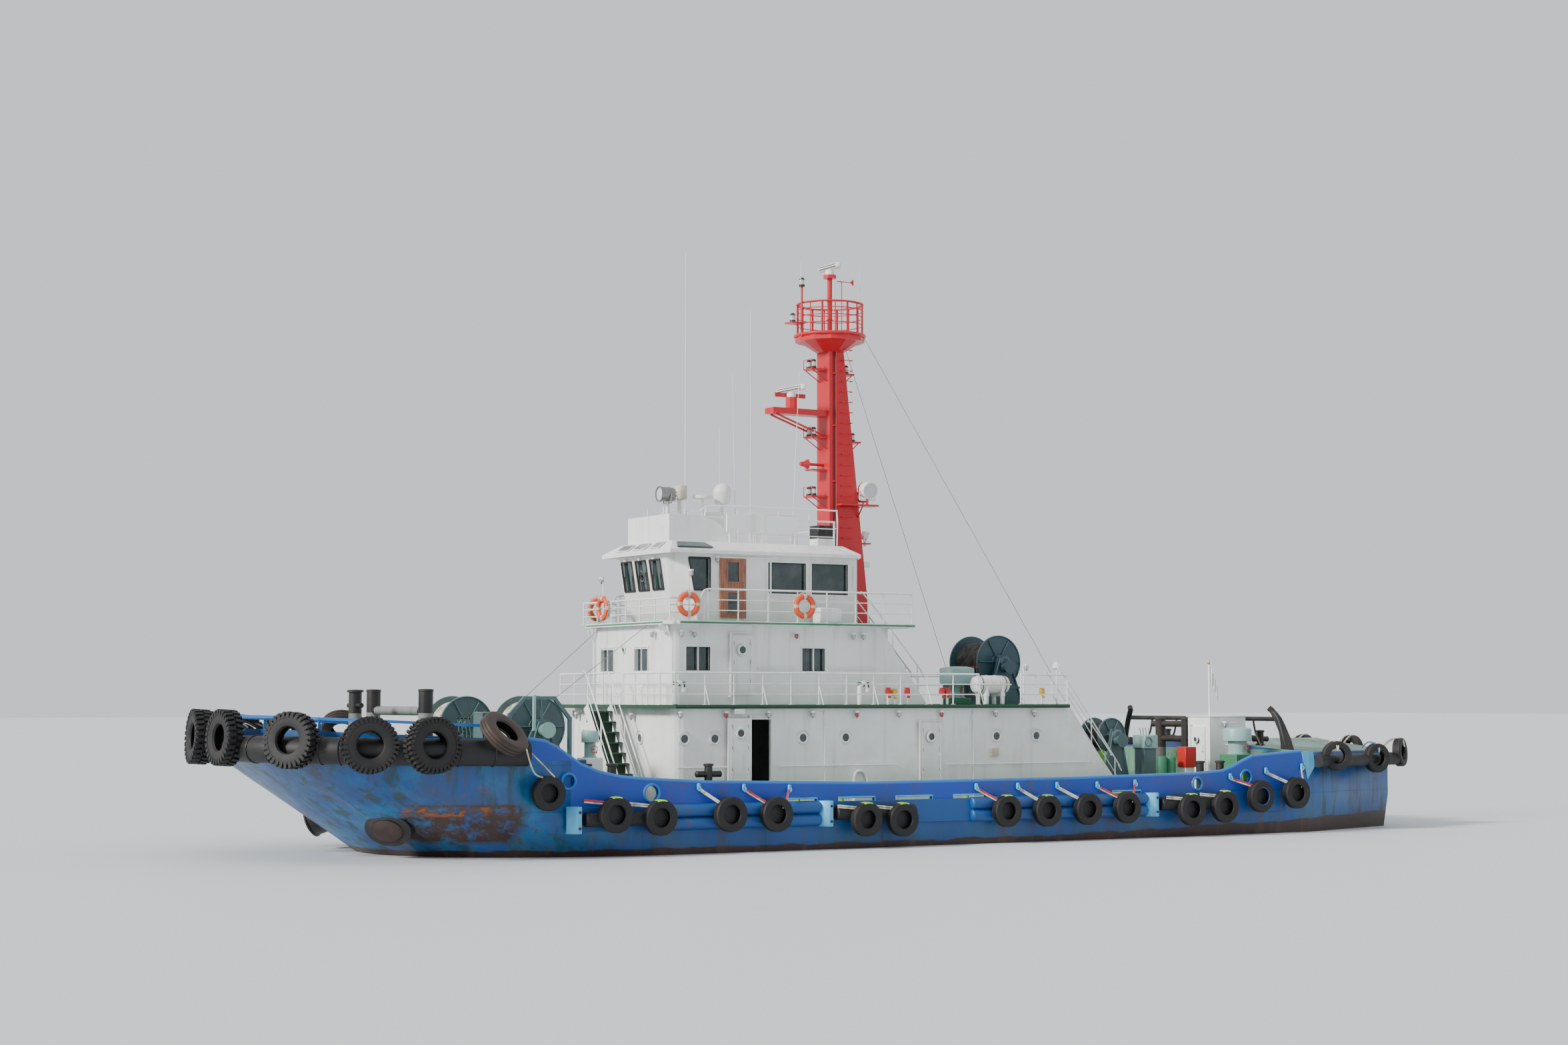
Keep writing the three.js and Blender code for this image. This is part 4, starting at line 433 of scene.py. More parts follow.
def finishes():
    """Each finish by name: the record's slot it belongs to, what makes it, and the values for that."""
    hull = bpy.context.scene.tug_hull
    top = bpy.context.scene.tug_upperworks
    return {
        "hull_paint": ("hull_blue", make_hull_paint),
        "side_bulwark": ("hull_blue", make_paint, bulwark_colour, 0.45, 0.6, 0.4),
        "strake_paint": ("hull_blue", make_paint, hull.topsides, 0.6, 0.8, 0.45),
        "bow_paint": ("rail_blue", make_paint, bow_colour, 0.3, 0.35, 0.38),
        "rail_blue": ("rail_blue", make_paint, hull.rail, 0.3, 0.3, 0.4),
        "pale_blue": ("hull_blue", make_paint, rgb(84, 170, 214), 0.35, 0.4, 0.4),
        "white_paint": ("white_paint", make_paint, top.white, 0.22, 0.12, 0.4),
        "white_trim": ("white_paint", make_paint, top.white, 0.12, 0.1, 0.35, 0.0015),
        "deck_paint": ("deck_green", make_paint, deck_colour, 0.4, 0.25, 0.7),
        "raft_shell": ("raft_white", make_paint, rgb(226, 226, 220), 0.2, 0.0, 0.3, 0.001),
        "mast_paint": ("mast_red", make_paint, top.mast, 0.15, 0.1, 0.35),
        "winch_paint": ("winch_green", make_paint, rgb(78, 106, 110), 0.4, 0.35, 0.42),
        "winch_dark": ("winch_blue", make_paint, rgb(44, 78, 90), 0.35, 0.3, 0.4),
        "black_paint": ("black_steel", make_paint, rgb(26, 27, 30), 0.5, 0.55, 0.45),
        "vent_paint": ("vent_green", make_paint, rgb(142, 178, 176), 0.25, 0.2, 0.4),
        "dark_green": ("deck_green", make_paint, rgb(22, 72, 48), 0.3, 0.2, 0.55),
        "green_paint": ("deck_green", make_paint, rgb(58, 128, 92), 0.3, 0.3, 0.5),
        "red_paint": ("mast_red", make_paint, rgb(196, 40, 38), 0.2, 0.2, 0.4),
        "yellow_paint": ("white_paint", make_paint, rgb(214, 172, 52), 0.2, 0.15, 0.45),
        "antifouling": ("antifouling", make_paint, hull.boot, 0.5, 0.2, 0.7),
        "door_wood": ("door_brown", make_wood),
        "rubber": ("rubber", make_rubber, rgb(13, 13, 15), rgb(48, 45, 42), 0.4, 0.6),
        "tyre_rubber": ("rubber", make_rubber, rgb(15, 15, 17), rgb(54, 51, 47), 0.5, 0.7),
        "tyre_splash": ("rubber", make_rubber, rgb(168, 240, 40), rgb(96, 130, 40), 0.5),
        "tyre_brown": ("rubber", make_rubber, rgb(34, 24, 20), rgb(68, 48, 38), 0.7, 0.5),
        "tyre_blue": ("rubber", make_rubber, rgb(40, 90, 160), rgb(50, 52, 60), 0.8),
        "canvas": ("raft_white", make_rubber, rgb(206, 198, 178), rgb(160, 150, 130), 0.6, 0.9, 90.0),
        "flag_cloth": ("raft_white", make_rubber, rgb(238, 238, 236), rgb(214, 214, 210), 0.5, 0.9, 120.0),
        "ring_orange": ("raft_white", make_rubber, rgb(224, 74, 32), rgb(236, 118, 70), 0.5, 0.6, 30.0),
        "plastic_white": ("raft_white", make_rubber, rgb(228, 229, 228), rgb(196, 192, 184), 0.5, 0.45, 8.0),
        # Grey worn steel on the bitts, also used round door coamings as painted shadow of the gap
        "worn_steel": ("black_steel", make_paint, rgb(122, 124, 124), 0.5, 0.3, 0.45),
        "bare_steel": ("bronze", make_metal, rgb(150, 150, 150), 0.35, rgb(96, 84, 74)),
        "bronze": ("bronze", make_metal, rgb(206, 160, 84), 0.3, rgb(110, 92, 60)),
        "glass": ("window_glass", make_glass, rgb(24, 48, 50)),
        "lamp_glass": ("window_glass", make_glass, rgb(196, 202, 204), 0.15),
        "red_glass": ("window_glass", make_glass, rgb(190, 30, 28), 0.2),
        "white_rope": ("rubber", make_rope, rgb(214, 208, 192), rgb(160, 150, 132)),
        "blue_rope": ("rubber", make_rope, rgb(56, 104, 168), rgb(96, 120, 150)),
        "dark_rope": ("winch_blue", make_rope, rgb(40, 42, 46), rgb(78, 74, 66)),
    }


FINISHES = {}


def finish(name):
    """The material of a finish, made the first time it is asked for."""
    if not FINISHES:
        FINISHES.update(finishes())
    if name not in MATERIALS:
        _, make, *values = FINISHES[name]
        MATERIALS[name] = make(name, *values)
    return MATERIALS[name]


# Modelling
def aimed(axis):
    """A turn that points Z along an axis, without a twist."""
    return Vector(axis).to_track_quat("Z", "Y").to_matrix().to_4x4()


def placed(centre, axis):
    """A turn to an axis and a move to a centre."""
    return Matrix.Translation(centre) @ aimed(axis)


def faces_of(verts):
    return list({face for vert in verts for face in vert.link_faces})


def edges_of(verts):
    return list({edge for vert in verts for edge in vert.link_edges})


def at_side(side, points):
    """Points that are given to port, taken to one side of the ship."""
    return [(x, side * y, z) for x, y, z in points]


def round_points(centre, reach, count, first=0.0):
    """Points on a level circle. The first one may be a share of a step on."""
    x, y, z = centre
    angles = [math.tau * (i + first) / count for i in range(count)]
    return [Vector((x + reach * math.cos(angle), y + reach * math.sin(angle), z)) for angle in angles]


class Piece:
    """One piece while it is modelled: a bmesh, the finish of each face, and its main finish."""

    def __init__(self, name, main=None):
        self.name = name
        self.main = main
        self.bm = bmesh.new()
        self.used = []

    def number_of(self, look):
        look = look or self.main
        if look not in self.used:
            self.used.append(look)
        return self.used.index(look)

    def paint(self, verts, look):
        number = self.number_of(look)
        for face in faces_of(verts):
            face.material_index = number
            face.smooth = True
        return verts

    def repaint(self, verts, look, chosen):
        """Another finish for the faces whose middle passes a test."""
        number = self.number_of(look)
        for face in faces_of(verts):
            if chosen(face.calc_center_median()):
                face.material_index = number

    def rod(self, start, end, radius, look=None, tip=None, sides=12):
        start, end = Vector(start), Vector(end)
        place = Matrix.Translation((start + end) / 2) @ aimed(end - start)
        made = bmesh.ops.create_cone(self.bm, cap_ends=True, segments=sides, radius1=radius,
                                     radius2=radius if tip is None else tip, depth=(end - start).length,
                                     matrix=place)
        return self.paint(made["verts"], look)

    def box(self, corner, opposite, look=None, bevel=0.0, segments=1):
        """A box between two opposite corners, its edges rounded."""
        low, high = (Vector([pick(pair) for pair in zip(corner, opposite)]) for pick in (min, max))
        made = bmesh.ops.create_cube(self.bm, size=1.0, matrix=Matrix.Diagonal((*(high - low), 1.0)))["verts"]
        if bevel:
            made = bmesh.ops.bevel(self.bm, geom=edges_of(made), offset=bevel, segments=segments, profile=0.5,
                                   affect="EDGES", material=-1)["verts"]
        bmesh.ops.translate(self.bm, vec=(low + high) / 2, verts=made)
        return self.paint(made, look)

    def ball(self, centre, radius, look=None, stretch=(1, 1, 1), across=14, down=9):
        place = Matrix.Translation(centre) @ Matrix.Diagonal((*stretch, 1.0))
        made = bmesh.ops.create_uvsphere(self.bm, u_segments=across, v_segments=down, radius=radius,
                                         matrix=place)
        return self.paint(made["verts"], look)

    def turned(self, profile, centre, axis, look=None, steps=24):
        """A profile of (radius, along) spun about an axis through the centre."""
        place = placed(centre, axis)
        verts = [self.bm.verts.new((radius, 0, along)) for radius, along in profile]
        edges = [self.bm.edges.new(pair) for pair in zip(verts, verts[1:])]
        made = bmesh.ops.spin(self.bm, geom=verts + edges, cent=(0, 0, 0), axis=UP, angle=math.tau,
                              steps=steps, use_merge=True, use_duplicate=False)
        verts = [item for item in made["geom_last"] if isinstance(item, bmesh.types.BMVert)] + verts
        island = self.island(verts)
        bmesh.ops.remove_doubles(self.bm, verts=island, dist=1e-5)
        island = [vert for vert in island if vert.is_valid]
        bmesh.ops.recalc_face_normals(self.bm, faces=faces_of(island))
        bmesh.ops.transform(self.bm, matrix=place, verts=island)
        return self.paint(island, look)

    @staticmethod
    def island(seeds):
        """All the vertices that hang together with the seeds."""
        seen = {seed for seed in seeds if seed.is_valid}
        todo = list(seen)
        while todo:
            for edge in todo.pop().link_edges:
                for vert in edge.verts:
                    if vert not in seen:
                        seen.add(vert)
                        todo.append(vert)
        return list(seen)

    def ring(self, centre, axis, radius, thick, look=None, steps=24, sides=10, squash=1.0):
        """A round ring: a small circle spun about the axis."""
        profile = [(radius + thick * math.cos(math.tau * i / sides),
                    squash * thick * math.sin(math.tau * i / sides)) for i in range(sides + 1)]
        return self.turned(profile, centre, axis, look, steps)

    def tube(self, points, radius, look=None, sides=8, closed=False):
        """A round tube along points: a circle at each point, bridged to the next."""
        points = [Vector(point) for point in points]
        count = len(points)
        loops = []
        made = []
        facing_way = None
        for i, point in enumerate(points):
            before = points[i - 1] if i or closed else point
            after = points[(i + 1) % count] if i < count - 1 or closed else point
            ahead = (after - before).normalized()
            if facing_way is None:
                facing_way = ahead.orthogonal().normalized()
            facing_way = (facing_way - ahead * facing_way.dot(ahead)).normalized()
            turn = Matrix((facing_way, ahead.cross(facing_way), ahead)).transposed().to_4x4()
            ends = not closed and i in (0, count - 1)
            disc = bmesh.ops.create_circle(self.bm, cap_ends=ends, segments=sides, radius=radius,
                                           matrix=Matrix.Translation(point) @ turn)["verts"]
            made += disc
            loops.append(edges_of(disc))
        pairs = list(zip(loops, loops[1:])) + ([(loops[-1], loops[0])] if closed else [])
        for first, second in pairs:
            bmesh.ops.bridge_loops(self.bm, edges=first + second)
        bmesh.ops.recalc_face_normals(self.bm, faces=faces_of(made))
        return self.paint(made, look)

    def plate(self, outline, thick, look=None, bevel=0.0):
        """A flat outline of points, given its thickness as a vector."""
        verts = [self.bm.verts.new(point) for point in outline]
        face = self.bm.faces.new(verts)
        made = bmesh.ops.extrude_face_region(self.bm, geom=[face])["geom"]
        far = [item for item in made if isinstance(item, bmesh.types.BMVert)]
        bmesh.ops.translate(self.bm, vec=thick, verts=far)
        whole = verts + far
        bmesh.ops.recalc_face_normals(self.bm, faces=faces_of(whole))
        if bevel:
            whole = bmesh.ops.bevel(self.bm, geom=edges_of(whole), offset=bevel, segments=1, profile=0.5,
                                    affect="EDGES", material=-1)["verts"]
        return self.paint(whole, look)

    def bars(self, corners, radius, look=None):
        """A straight pipe from each corner to the next, and back to the first."""
        for start, end in zip(corners, corners[1:] + corners[:1]):
            self.tube([start, end], radius, look, 6)

    def frame(self, low, high, face, width, depth, look=None, corner=0.0, athwart=False):
        """Four flat bars round an opening in a wall at Y = face, or at X = face where it runs athwart."""
        (x0, z0), (x1, z1) = low, high
        for (a, foot), (b, head) in (((x0 - width, z0 - width), (x1 + width, z0)),
                                     ((x0 - width, z1), (x1 + width, z1 + width)),
                                     ((x0 - width, z0), (x0, z1)), ((x1, z0), (x1 + width, z1))):
            if athwart:
                self.box((face, a, foot), (face + depth, b, head), look, corner)
            else:
                self.box((a, face, foot), (b, face + depth, head), look, corner)

    def done(self, body="ship", replaces=(), sharp=38):
        mesh = bpy.data.meshes.new(self.name)
        self.bm.to_mesh(mesh)
        self.bm.free()
        for look in self.used:
            mesh.materials.append(finish(look))
        mesh.set_sharp_from_angle(angle=math.radians(sharp))
        piece = bpy.data.objects.new(self.name, mesh)
        bpy.context.scene.collection.objects.link(piece)
        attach(piece, body)
        if replaces:
            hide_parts(*replaces)
        return piece


# Faces that look straight up by this much are flat decks
LEVEL = 0.9995
SOFT_EDGE = 30


def smoothed(name, cad_node, look):
    """A merged copy of a curved CAD node, with soft shading where the real surface is round."""
    source = frame["nodes"][cad_node]
    piece = Piece(name)
    piece.bm.from_mesh(source.data)
    bmesh.ops.transform(piece.bm, matrix=source.matrix_world, verts=piece.bm.verts[:])
    bmesh.ops.remove_doubles(piece.bm, verts=piece.bm.verts[:], dist=1e-4)
    piece.paint(piece.bm.verts[:], look)
    body = next(body for body, nodes in frame["record"]["behaviour"]["bodies"].items() if cad_node in nodes)
    shown = piece.done(body, replaces=(cad_node,), sharp=SOFT_EDGE)
    for polygon in shown.data.polygons:
        if polygon.normal.z > LEVEL:
            polygon.use_smooth = False
    return shown


# Fenders and tyres
BOW_ROUND = {"start": 11.8, "tip": 17.9, "half": HULL_SIDE, "power": 2.55}


def bow_point(share, offset):
    """A point round the edge of the foredeck, 0 abeam and 1 at the stem, moved out by offset."""
    def at(part):
        angle = math.pi / 2 * part
        reach = (BOW_ROUND["tip"] - BOW_ROUND["start"]) * math.sin(angle) ** (2 / BOW_ROUND["power"])
        breadth = BOW_ROUND["half"] * max(math.cos(angle), 0.0) ** (2 / BOW_ROUND["power"])
        return Vector((BOW_ROUND["start"] + reach, breadth, 0))
    run = (at(min(share + 0.002, 1)) - at(max(share - 0.002, 0))).normalized()
    out = Vector((-run.y, run.x, 0))
    return at(share) + out * offset, out


def roll_height(x):
    """The Z of the bow roll's middle: it rises a little to the stem."""
    return 2.62 + 0.09 * (x - 12.3) / 5.6


def bow_line(offset, steps):
    """Points along the roll round the whole bow, port to starboard."""
    first = 0.03
    port = []
    for i in range(steps + 1):
        spot, _ = bow_point(first + (1 - first) * i / steps, offset)
        port.append((spot.x, spot.y if i < steps else 0.0, roll_height(spot.x)))
    return port + at_side(-1, reversed(port[:-1]))


# Each side tyre: X, Z, radius, Y, whether its top is splashed with paint
SIDE_TYRES = (
    (11.72, 1.62, 0.43, 4.985, False), (9.99, 1.07, 0.45, 5.21, True), (8.74, 0.97, 0.45, 5.21, True),
    (6.67, 1.0, 0.45, 5.12, False), (5.31, 0.97, 0.45, 5.12, False), (2.62, 0.78, 0.45, 5.21, True),
    (1.48, 0.75, 0.45, 5.21, True), (-1.98, 0.89, 0.44, 5.12, True), (-3.34, 0.87, 0.44, 5.12, True),
    (-4.74, 0.88, 0.44, 5.12, False), (-6.12, 0.89, 0.44, 5.12, False), (-8.38, 0.79, 0.46, 5.21, True),
    (-9.61, 0.85, 0.46, 5.21, True), (-11.05, 1.11, 0.46, 5.12, False), (-12.42, 1.18, 0.46, 5.12, False))
SIDE_TYRE_WIDTH = 0.25
BLUE_RIM_TYRE = 13
ROLL_RUNS = ((8.3, 10.75), (0.93, 3.46), (-10.07, -7.4))
ROLL = {"radius": 0.18, "y": 4.971, "z": 0.95}
BOW_ROLL = {"radius": 0.33, "out": 0.335, "bands": (0.1, 0.18, 0.34, 0.5, 0.56, 0.74, 0.82)}
# Bow tyres: share of the bow's round, Z, radius, lugs in a row, turn towards the middle in degrees
BOW_TYRES = ((0.25, 2.82, 0.68, 34, 20), (0.41, 2.83, 0.68, 34, 14), (0.64, 2.94, 0.68, 30, 0),
             (0.92, 2.98, 0.69, 28, 0))
BOW_TYRE_WIDTH = 0.42
LOOSE_TYRE = {"centre": (13.05, 5.27, 3.08), "axis": (-0.39, 0.62, 0.7), "radius": 0.65, "width": 0.34}
LOOSE_ROPES = ((((12.62, 5.62, 2.72), (12.45, 5.5, 2.35), (12.2, 5.25, 2.1), (11.95, 5.12, 2.02)), 0.02),
               (((12.4, 4.72, 2.92), (12.3, 5.0, 2.7), (11.9, 5.1, 2.3), (11.62, 5.12, 2.02)), 0.018))
# Eyes on the bulwark that each tyre's slings come from: the tyre's number, then X and Z
EYES = ((3, 7.42, 1.7), (4, 6.09, 1.66), (4, 4.73, 1.62), (7, -1.19, 1.55), (8, -2.58, 1.54),
        (9, -3.92, 1.54), (10, -5.32, 1.53), (10, -6.67, 1.56), (13, -10.18, 1.68), (14, -11.54, 1.83),
        (14, -12.94, 1.93))
# Tyres slung from the wedge or the roll ahead of them
SHORT_SLINGS = (1, 2, 5, 6, 11, 12)
# Stern tyres: X, Y, Z and the way they face
STERN_TYRES = ((-14.25, 4.88, 2.23, 0.42, 0.91), (-16.5, 4.22, 2.13, 0.09, 0.99),
               (-18.27, 3.42, 2.27, -0.5, 0.87), (-18.46, 1.1, 2.33, -1.0, 0.0))
STERN_TYRE = {"radius": 0.44, "width": 0.27}
STERN_ROLL = {"radius": 0.19, "z": 2.08}
ROPE = 0.022
ROPE_SIDES = 7


def tyre(piece, centre, axis, radius, width, hole=0.52, steps=30, splash=False, look="tyre_rubber"):
    """A worn tyre with no rim: an open carcass with grooves round its tread."""
    bead, half, deep = radius * hole, width / 2, radius * (1 - hole)
    outer = [(bead, -0.62 * half), (bead + 0.1 * deep, -0.86 * half), (bead + 0.5 * deep, -half),
             (radius - 0.14 * deep, -0.94 * half), (radius, -0.68 * half)]
    tread = [(radius, -0.34 * half), (radius - 0.014, -0.3 * half), (radius - 0.014, -0.22 * half),
             (radius, -0.18 * half)]
    inner = [(bead + 0.012, 0.5 * half), (bead + 0.4 * deep, 0.8 * half), (radius - 0.16 * deep, 0.62 * half)]
    ring = outer + tread + [(r, -a) for r, a in reversed(tread)] + [(r, -a) for r, a in reversed(outer)]
    ring += inner + [(r, -a) for r, a in reversed(inner)] + [outer[0]]
    made = piece.turned(ring, centre, axis, look, steps)
    if splash:
        x, _, z = centre
        piece.repaint(made, "tyre_splash", lambda spot: (
            spot.z - z > 0.93 * radius and abs(spot.x - x - 0.06 * radius) < 0.34 * radius))
    return made


def lugs(piece, centre, axis, radius, width, count):
    """Two rows of lugs round a tread, staggered, each with its foot on the shoulder."""
    place = placed(centre, axis)
    pitch = math.tau * radius / count
    for row in SIDES:
        for i in range(count):
            turn = Matrix.Rotation(math.tau * (i + (0.5 if row > 0 else 0.0)) / count, 4, "Z")
            crown = Matrix.Translation((radius - 0.028, 0, row * width * 0.27))
            crown @= Matrix.Rotation(row * 0.2, 4, "X")
            shoulder = Matrix.Translation((radius - 0.085, 0, row * width * 0.478))
            for block, size in ((crown, (0.06, pitch * 0.58, width * 0.45)),
                                (shoulder, (0.13, pitch * 0.56, width * 0.07))):
                made = bmesh.ops.create_cube(piece.bm, size=1.0,
                                             matrix=Matrix.Diagonal((*size, 1.0)))["verts"]
                for vert in made:
                    if vert.co.x > 0:
                        vert.co.y *= 0.85
                bmesh.ops.transform(piece.bm, matrix=place @ turn @ block, verts=made)
                piece.paint(made, "tyre_rubber")


def side_tyres(name, side):
    piece = Piece("tyres_" + name, "rubber")
    ropes = Piece("tyre_ropes_" + name)
    for number, (x, z, radius, y, splash) in enumerate(SIDE_TYRES):
        lean = Vector((0.02 * math.sin(number * 2.3), side, 0.03 * math.cos(number * 1.7))).normalized()
        centre = Vector((x, side * y, z))
        made = tyre(piece, centre, lean, radius, SIDE_TYRE_WIDTH, splash=splash)
        if number == BLUE_RIM_TYRE:
            piece.repaint(made, "tyre_blue", lambda spot: (spot - centre).length < radius * 0.62)
        # A thin rubber disc in the tyre's hole: painted shade, so the hole looks dark where the hull would
        # show through
        hole_shade_centre = Vector((x, side * (y - 0.085), z))
        piece.rod(hole_shade_centre - 0.02 * lean, hole_shade_centre + 0.02 * lean, radius * 0.53, sides=24)
        slings(ropes, side, number)
    for x0, x1 in ROLL_RUNS:
        profile = [(0.0, x0 + 0.02), (0.15, x0 + 0.02), (ROLL["radius"], x0 + 0.05),
                   (ROLL["radius"], x1 - 0.05), (0.15, x1 - 0.02), (0.0, x1 - 0.02)]
        piece.turned(profile, (0, side * ROLL["y"], ROLL["z"]), AHEAD, steps=20)
    piece.done(replaces=("side_tyres_" + name,))
    ropes.done()


def slings(ropes, side, number):
    """Short taut ropes from the eyes, or from the roll ahead, into the top of a tyre."""
    x, z, radius, y, _ = SIDE_TYRES[number]
    starts = [(eye_x, HULL_SIDE + 0.06, eye_z) for tyre_number, eye_x, eye_z in EYES if tyre_number == number]
    for eye in map(Vector, at_side(side, starts)):
        ropes.box(eye - Vector((0.045, 0.05, 0.09)), eye + Vector((0.045, 0.03, 0.09)), "pale_blue", 0.02)
        ropes.ring(eye + Vector((0, side * 0.04, -0.05)), (1, 0, 0.2), 0.05, 0.016, "pale_blue", 16, 6)
    if number in SHORT_SLINGS:
        starts.append((x + 0.84, y - 0.12, z + 0.42))
    for start_x, start_y, start_z in starts:
        ahead = 1 if start_x > x else -1
        for shift in (-0.025, 0.025):
            start = Vector((start_x - ahead * 0.03, side * start_y, start_z - 0.07 + shift))
            edge = Vector((x + ahead * radius * 0.66, side * (y - 0.03), z + radius * 0.66 + shift))
            inner = Vector((x + ahead * radius * 0.4, side * (y + 0.02), z + radius * 0.4 + shift))
            look = "red_paint" if shift > 0 and number % 3 == 1 else "white_rope"
            ropes.tube([start, start.lerp(edge, 0.3), edge, inner], 0.021, look, ROPE_SIDES)


def smooth_path(points, steps=4):
    """Catmull-Rom points through a list of points."""
    points = [Vector(point) for point in points]
    whole = [points[0]] + points + [points[-1]]
    path = []
    for i in range(1, len(whole) - 2):
        a, b, c, d = whole[i - 1:i + 3]
        for k in range(steps):
            t = k / steps
            path.append(0.5 * (2 * b + (c - a) * t + (2 * a - 5 * b + 4 * c - d) * t ** 2
                               + (3 * b - a - 3 * c + d) * t ** 3))
    return path + [points[-1]]


def bow_fender():
    roll = Piece("bow_roll")
    roll.tube(bow_line(BOW_ROLL["out"], 22), BOW_ROLL["radius"], "rubber", 18)
    for side in SIDES:
        for share in BOW_ROLL["bands"]:
            spot, out = bow_point(share, BOW_ROLL["out"])
            roll.ring((spot.x, side * spot.y, roll_height(spot.x)), (out.y, -side * out.x, 0),
                      BOW_ROLL["out"], 0.02, "black_paint", 24, 6)
    roll.done(replaces=("bow_fender",))
    tyres = Piece("bow_tyres")
    for side in SIDES:
        for share, z, radius, count, turn in BOW_TYRES:
            spot, out = bow_point(share, 0.7)
            centre = Vector((spot.x, side * spot.y, z))
            heading = math.atan2(out.y, out.x) + math.radians(turn)
            axis = Vector((math.cos(heading), side * math.sin(heading), 0.06)).normalized()
            tyre(tyres, centre, axis, radius - 0.05, BOW_TYRE_WIDTH, 0.5, 36)
            lugs(tyres, centre, axis, radius, BOW_TYRE_WIDTH, count)
        centre, axis = at_side(side, (LOOSE_TYRE["centre"], LOOSE_TYRE["axis"]))
        tyre(tyres, centre, axis, LOOSE_TYRE["radius"], LOOSE_TYRE["width"], 0.5, 40, look="tyre_brown")
    tyres.done()
    ropes = Piece("bow_ropes")
    for side in SIDES:
        for share, z, radius, _, _ in BOW_TYRES:
            for shift in (-0.03, 0.03):
                inner, _ = bow_point(share + shift, -0.03)
                outer, _ = bow_point(share + shift * 0.4, 0.62)
                start = Vector((inner.x, side * inner.y, bow_top(inner.x) + 0.02))
                end = Vector((outer.x, side * outer.y, z + radius * 0.62))
                ropes.tube(smooth_path([start, start.lerp(end, 0.5) + Vector((0, 0, 0.07)), end]), 0.024,
                           "white_rope" if shift > 0 else "dark_rope", 7)
        for points, radius in LOOSE_ROPES:
            ropes.tube(smooth_path(at_side(side, points)), radius, "white_rope", ROPE_SIDES)
    ropes.done()


def bow_top(x):
    """The Z of the bow bulwark's top, which rises to the stem."""
    return 2.92 + 0.28 * (x - 12.15) / 5.75


BULWARK_TOP = ((-13.0, 2.35), (-11.1, 2.23), (-10.7, 2.08), (-10.35, 1.93), (-9.94, 1.81), (-9.0, 1.75),
               (-4.7, 1.69), (2.3, 1.67), (7.16, 1.78), (8.8, 1.88), (9.6, 1.95), (10.2, 2.08), (10.7, 2.27),
               (11.0, 2.46), (11.4, 2.72), (11.7, 2.86), (12.15, 2.92))


def bulwark_top(x):
    """The Z of the side bulwark's top."""
    for (x0, z0), (x1, z1) in zip(BULWARK_TOP, BULWARK_TOP[1:]):
        if x <= x1:
            return z0 + (z1 - z0) * max(0.0, (x - x0) / (x1 - x0))
    return BULWARK_TOP[-1][1]


def stern_fender():
    reach = STERN_ROLL["radius"] + 0.001
    line = [(-13.5, HULL_SIDE - 0.06 + reach), (-15.6, 4.32), (-17.7, 3.55), (-17.95, 3.52), (-18.12, 3.42),
            (-18.19, 3.25), (-18.19, 2.2), (-18.19, 1.1), (-18.19, 0.0)]
    port = [(x, y, STERN_ROLL["z"]) for x, y in line]
    roll = Piece("stern_roll")
    roll.tube(port + at_side(-1, reversed(port[:-1])), STERN_ROLL["radius"], "rubber", 16)
    roll.done(replaces=("stern_fender",))
    tyres = Piece("stern_tyres")
    ropes = Piece("stern_ropes")
    for side in SIDES:
        for number, (x, y, z, nx, ny) in enumerate(STERN_TYRES):
            axis = Vector((nx, side * ny, 0.05 if number == 2 else 0.0)).normalized()
            tyre(tyres, (x, side * y, z), axis, STERN_TYRE["radius"], STERN_TYRE["width"])
            out = Vector((nx, side * ny, 0))
            across = Vector((-out.y, out.x, 0))
            top = Vector((x, side * y, z)) + Vector((0, 0, 0.42)) + out * 0.06
            deck = Vector((x, side * y, 2.42)) - out * 0.55
            for shift, look in ((0.1, "white_rope"), (-0.12, "blue_rope" if number == 1 else "white_rope")):
                points = [deck + across * shift, deck.lerp(top, 0.5) + across * shift + Vector((0, 0, 0.12)),
                          top + across * shift * 0.5, top - Vector((0, 0, 0.25)) + out * 0.08]
                ropes.tube(smooth_path(points), ROPE, look, ROPE_SIDES)
    tyres.done()
    ropes.done()


# Strakes: a backing plate with two half-round tubes, and wedges at the ends of the rolls
STRAKE = {"low": 0.64, "high": 1.25, "rows": (0.78, 1.11), "runs": ((3.86, 8.2), (-7.0, -1.05)),
          "tube": 0.168}
WEDGES = (10.85, 3.56, -7.3)


def strakes():
    face = HULL_SIDE + 0.0003
    for name, side in NAMED_SIDES:
        piece = Piece("strake_fittings_" + name, "strake_paint")
        piece.box((-12.3, side * face, STRAKE["low"]), (11.15, side * (face + 0.043), STRAKE["high"]),
                  bevel=0.008)
        for z in STRAKE["rows"]:
            for x0, x1 in STRAKE["runs"]:
                piece.rod((x0, side * (face + 0.04), z), (x1, side * (face + 0.04), z), STRAKE["tube"],
                          sides=28)
                for x in (x0, x1):
                    piece.ball((x, side * (face + 0.04), z), STRAKE["tube"], stretch=(0.35, 1, 1), across=20,
                               down=12)
        for x in WEDGES:
            outline = ((x, 0, 0.61), (x + 0.3, 0, 0.61), (x + 0.3, 0.1, 0.61), (x + 0.12, 0.333, 0.61),
                       (x, 0.333, 0.61))
            piece.plate([(px, side * (face + out), pz) for px, out, pz in outline], (0, 0, 0.67), "pale_blue",
                        0.01)
            for z in (0.74, 1.14):
                piece.rod((x + 0.06, side * (face + 0.33), z), (x + 0.06, side * (face + 0.35), z), 0.035,
                          "black_paint")
        piece.done(replaces=("strake_" + name,))


class TUG_OT_fenders(bpy.types.Operator):
    """Makes the rubber rolls, the tyres hung round the ship and their ropes"""

    bl_idname = "tug.fenders"
    bl_label = "Fenders and tyres"

    def execute(self, context):
        side_tyres("port", 1)
        side_tyres("starboard", -1)
        bow_fender()
        stern_fender()
        strakes()
        return {"FINISHED"}


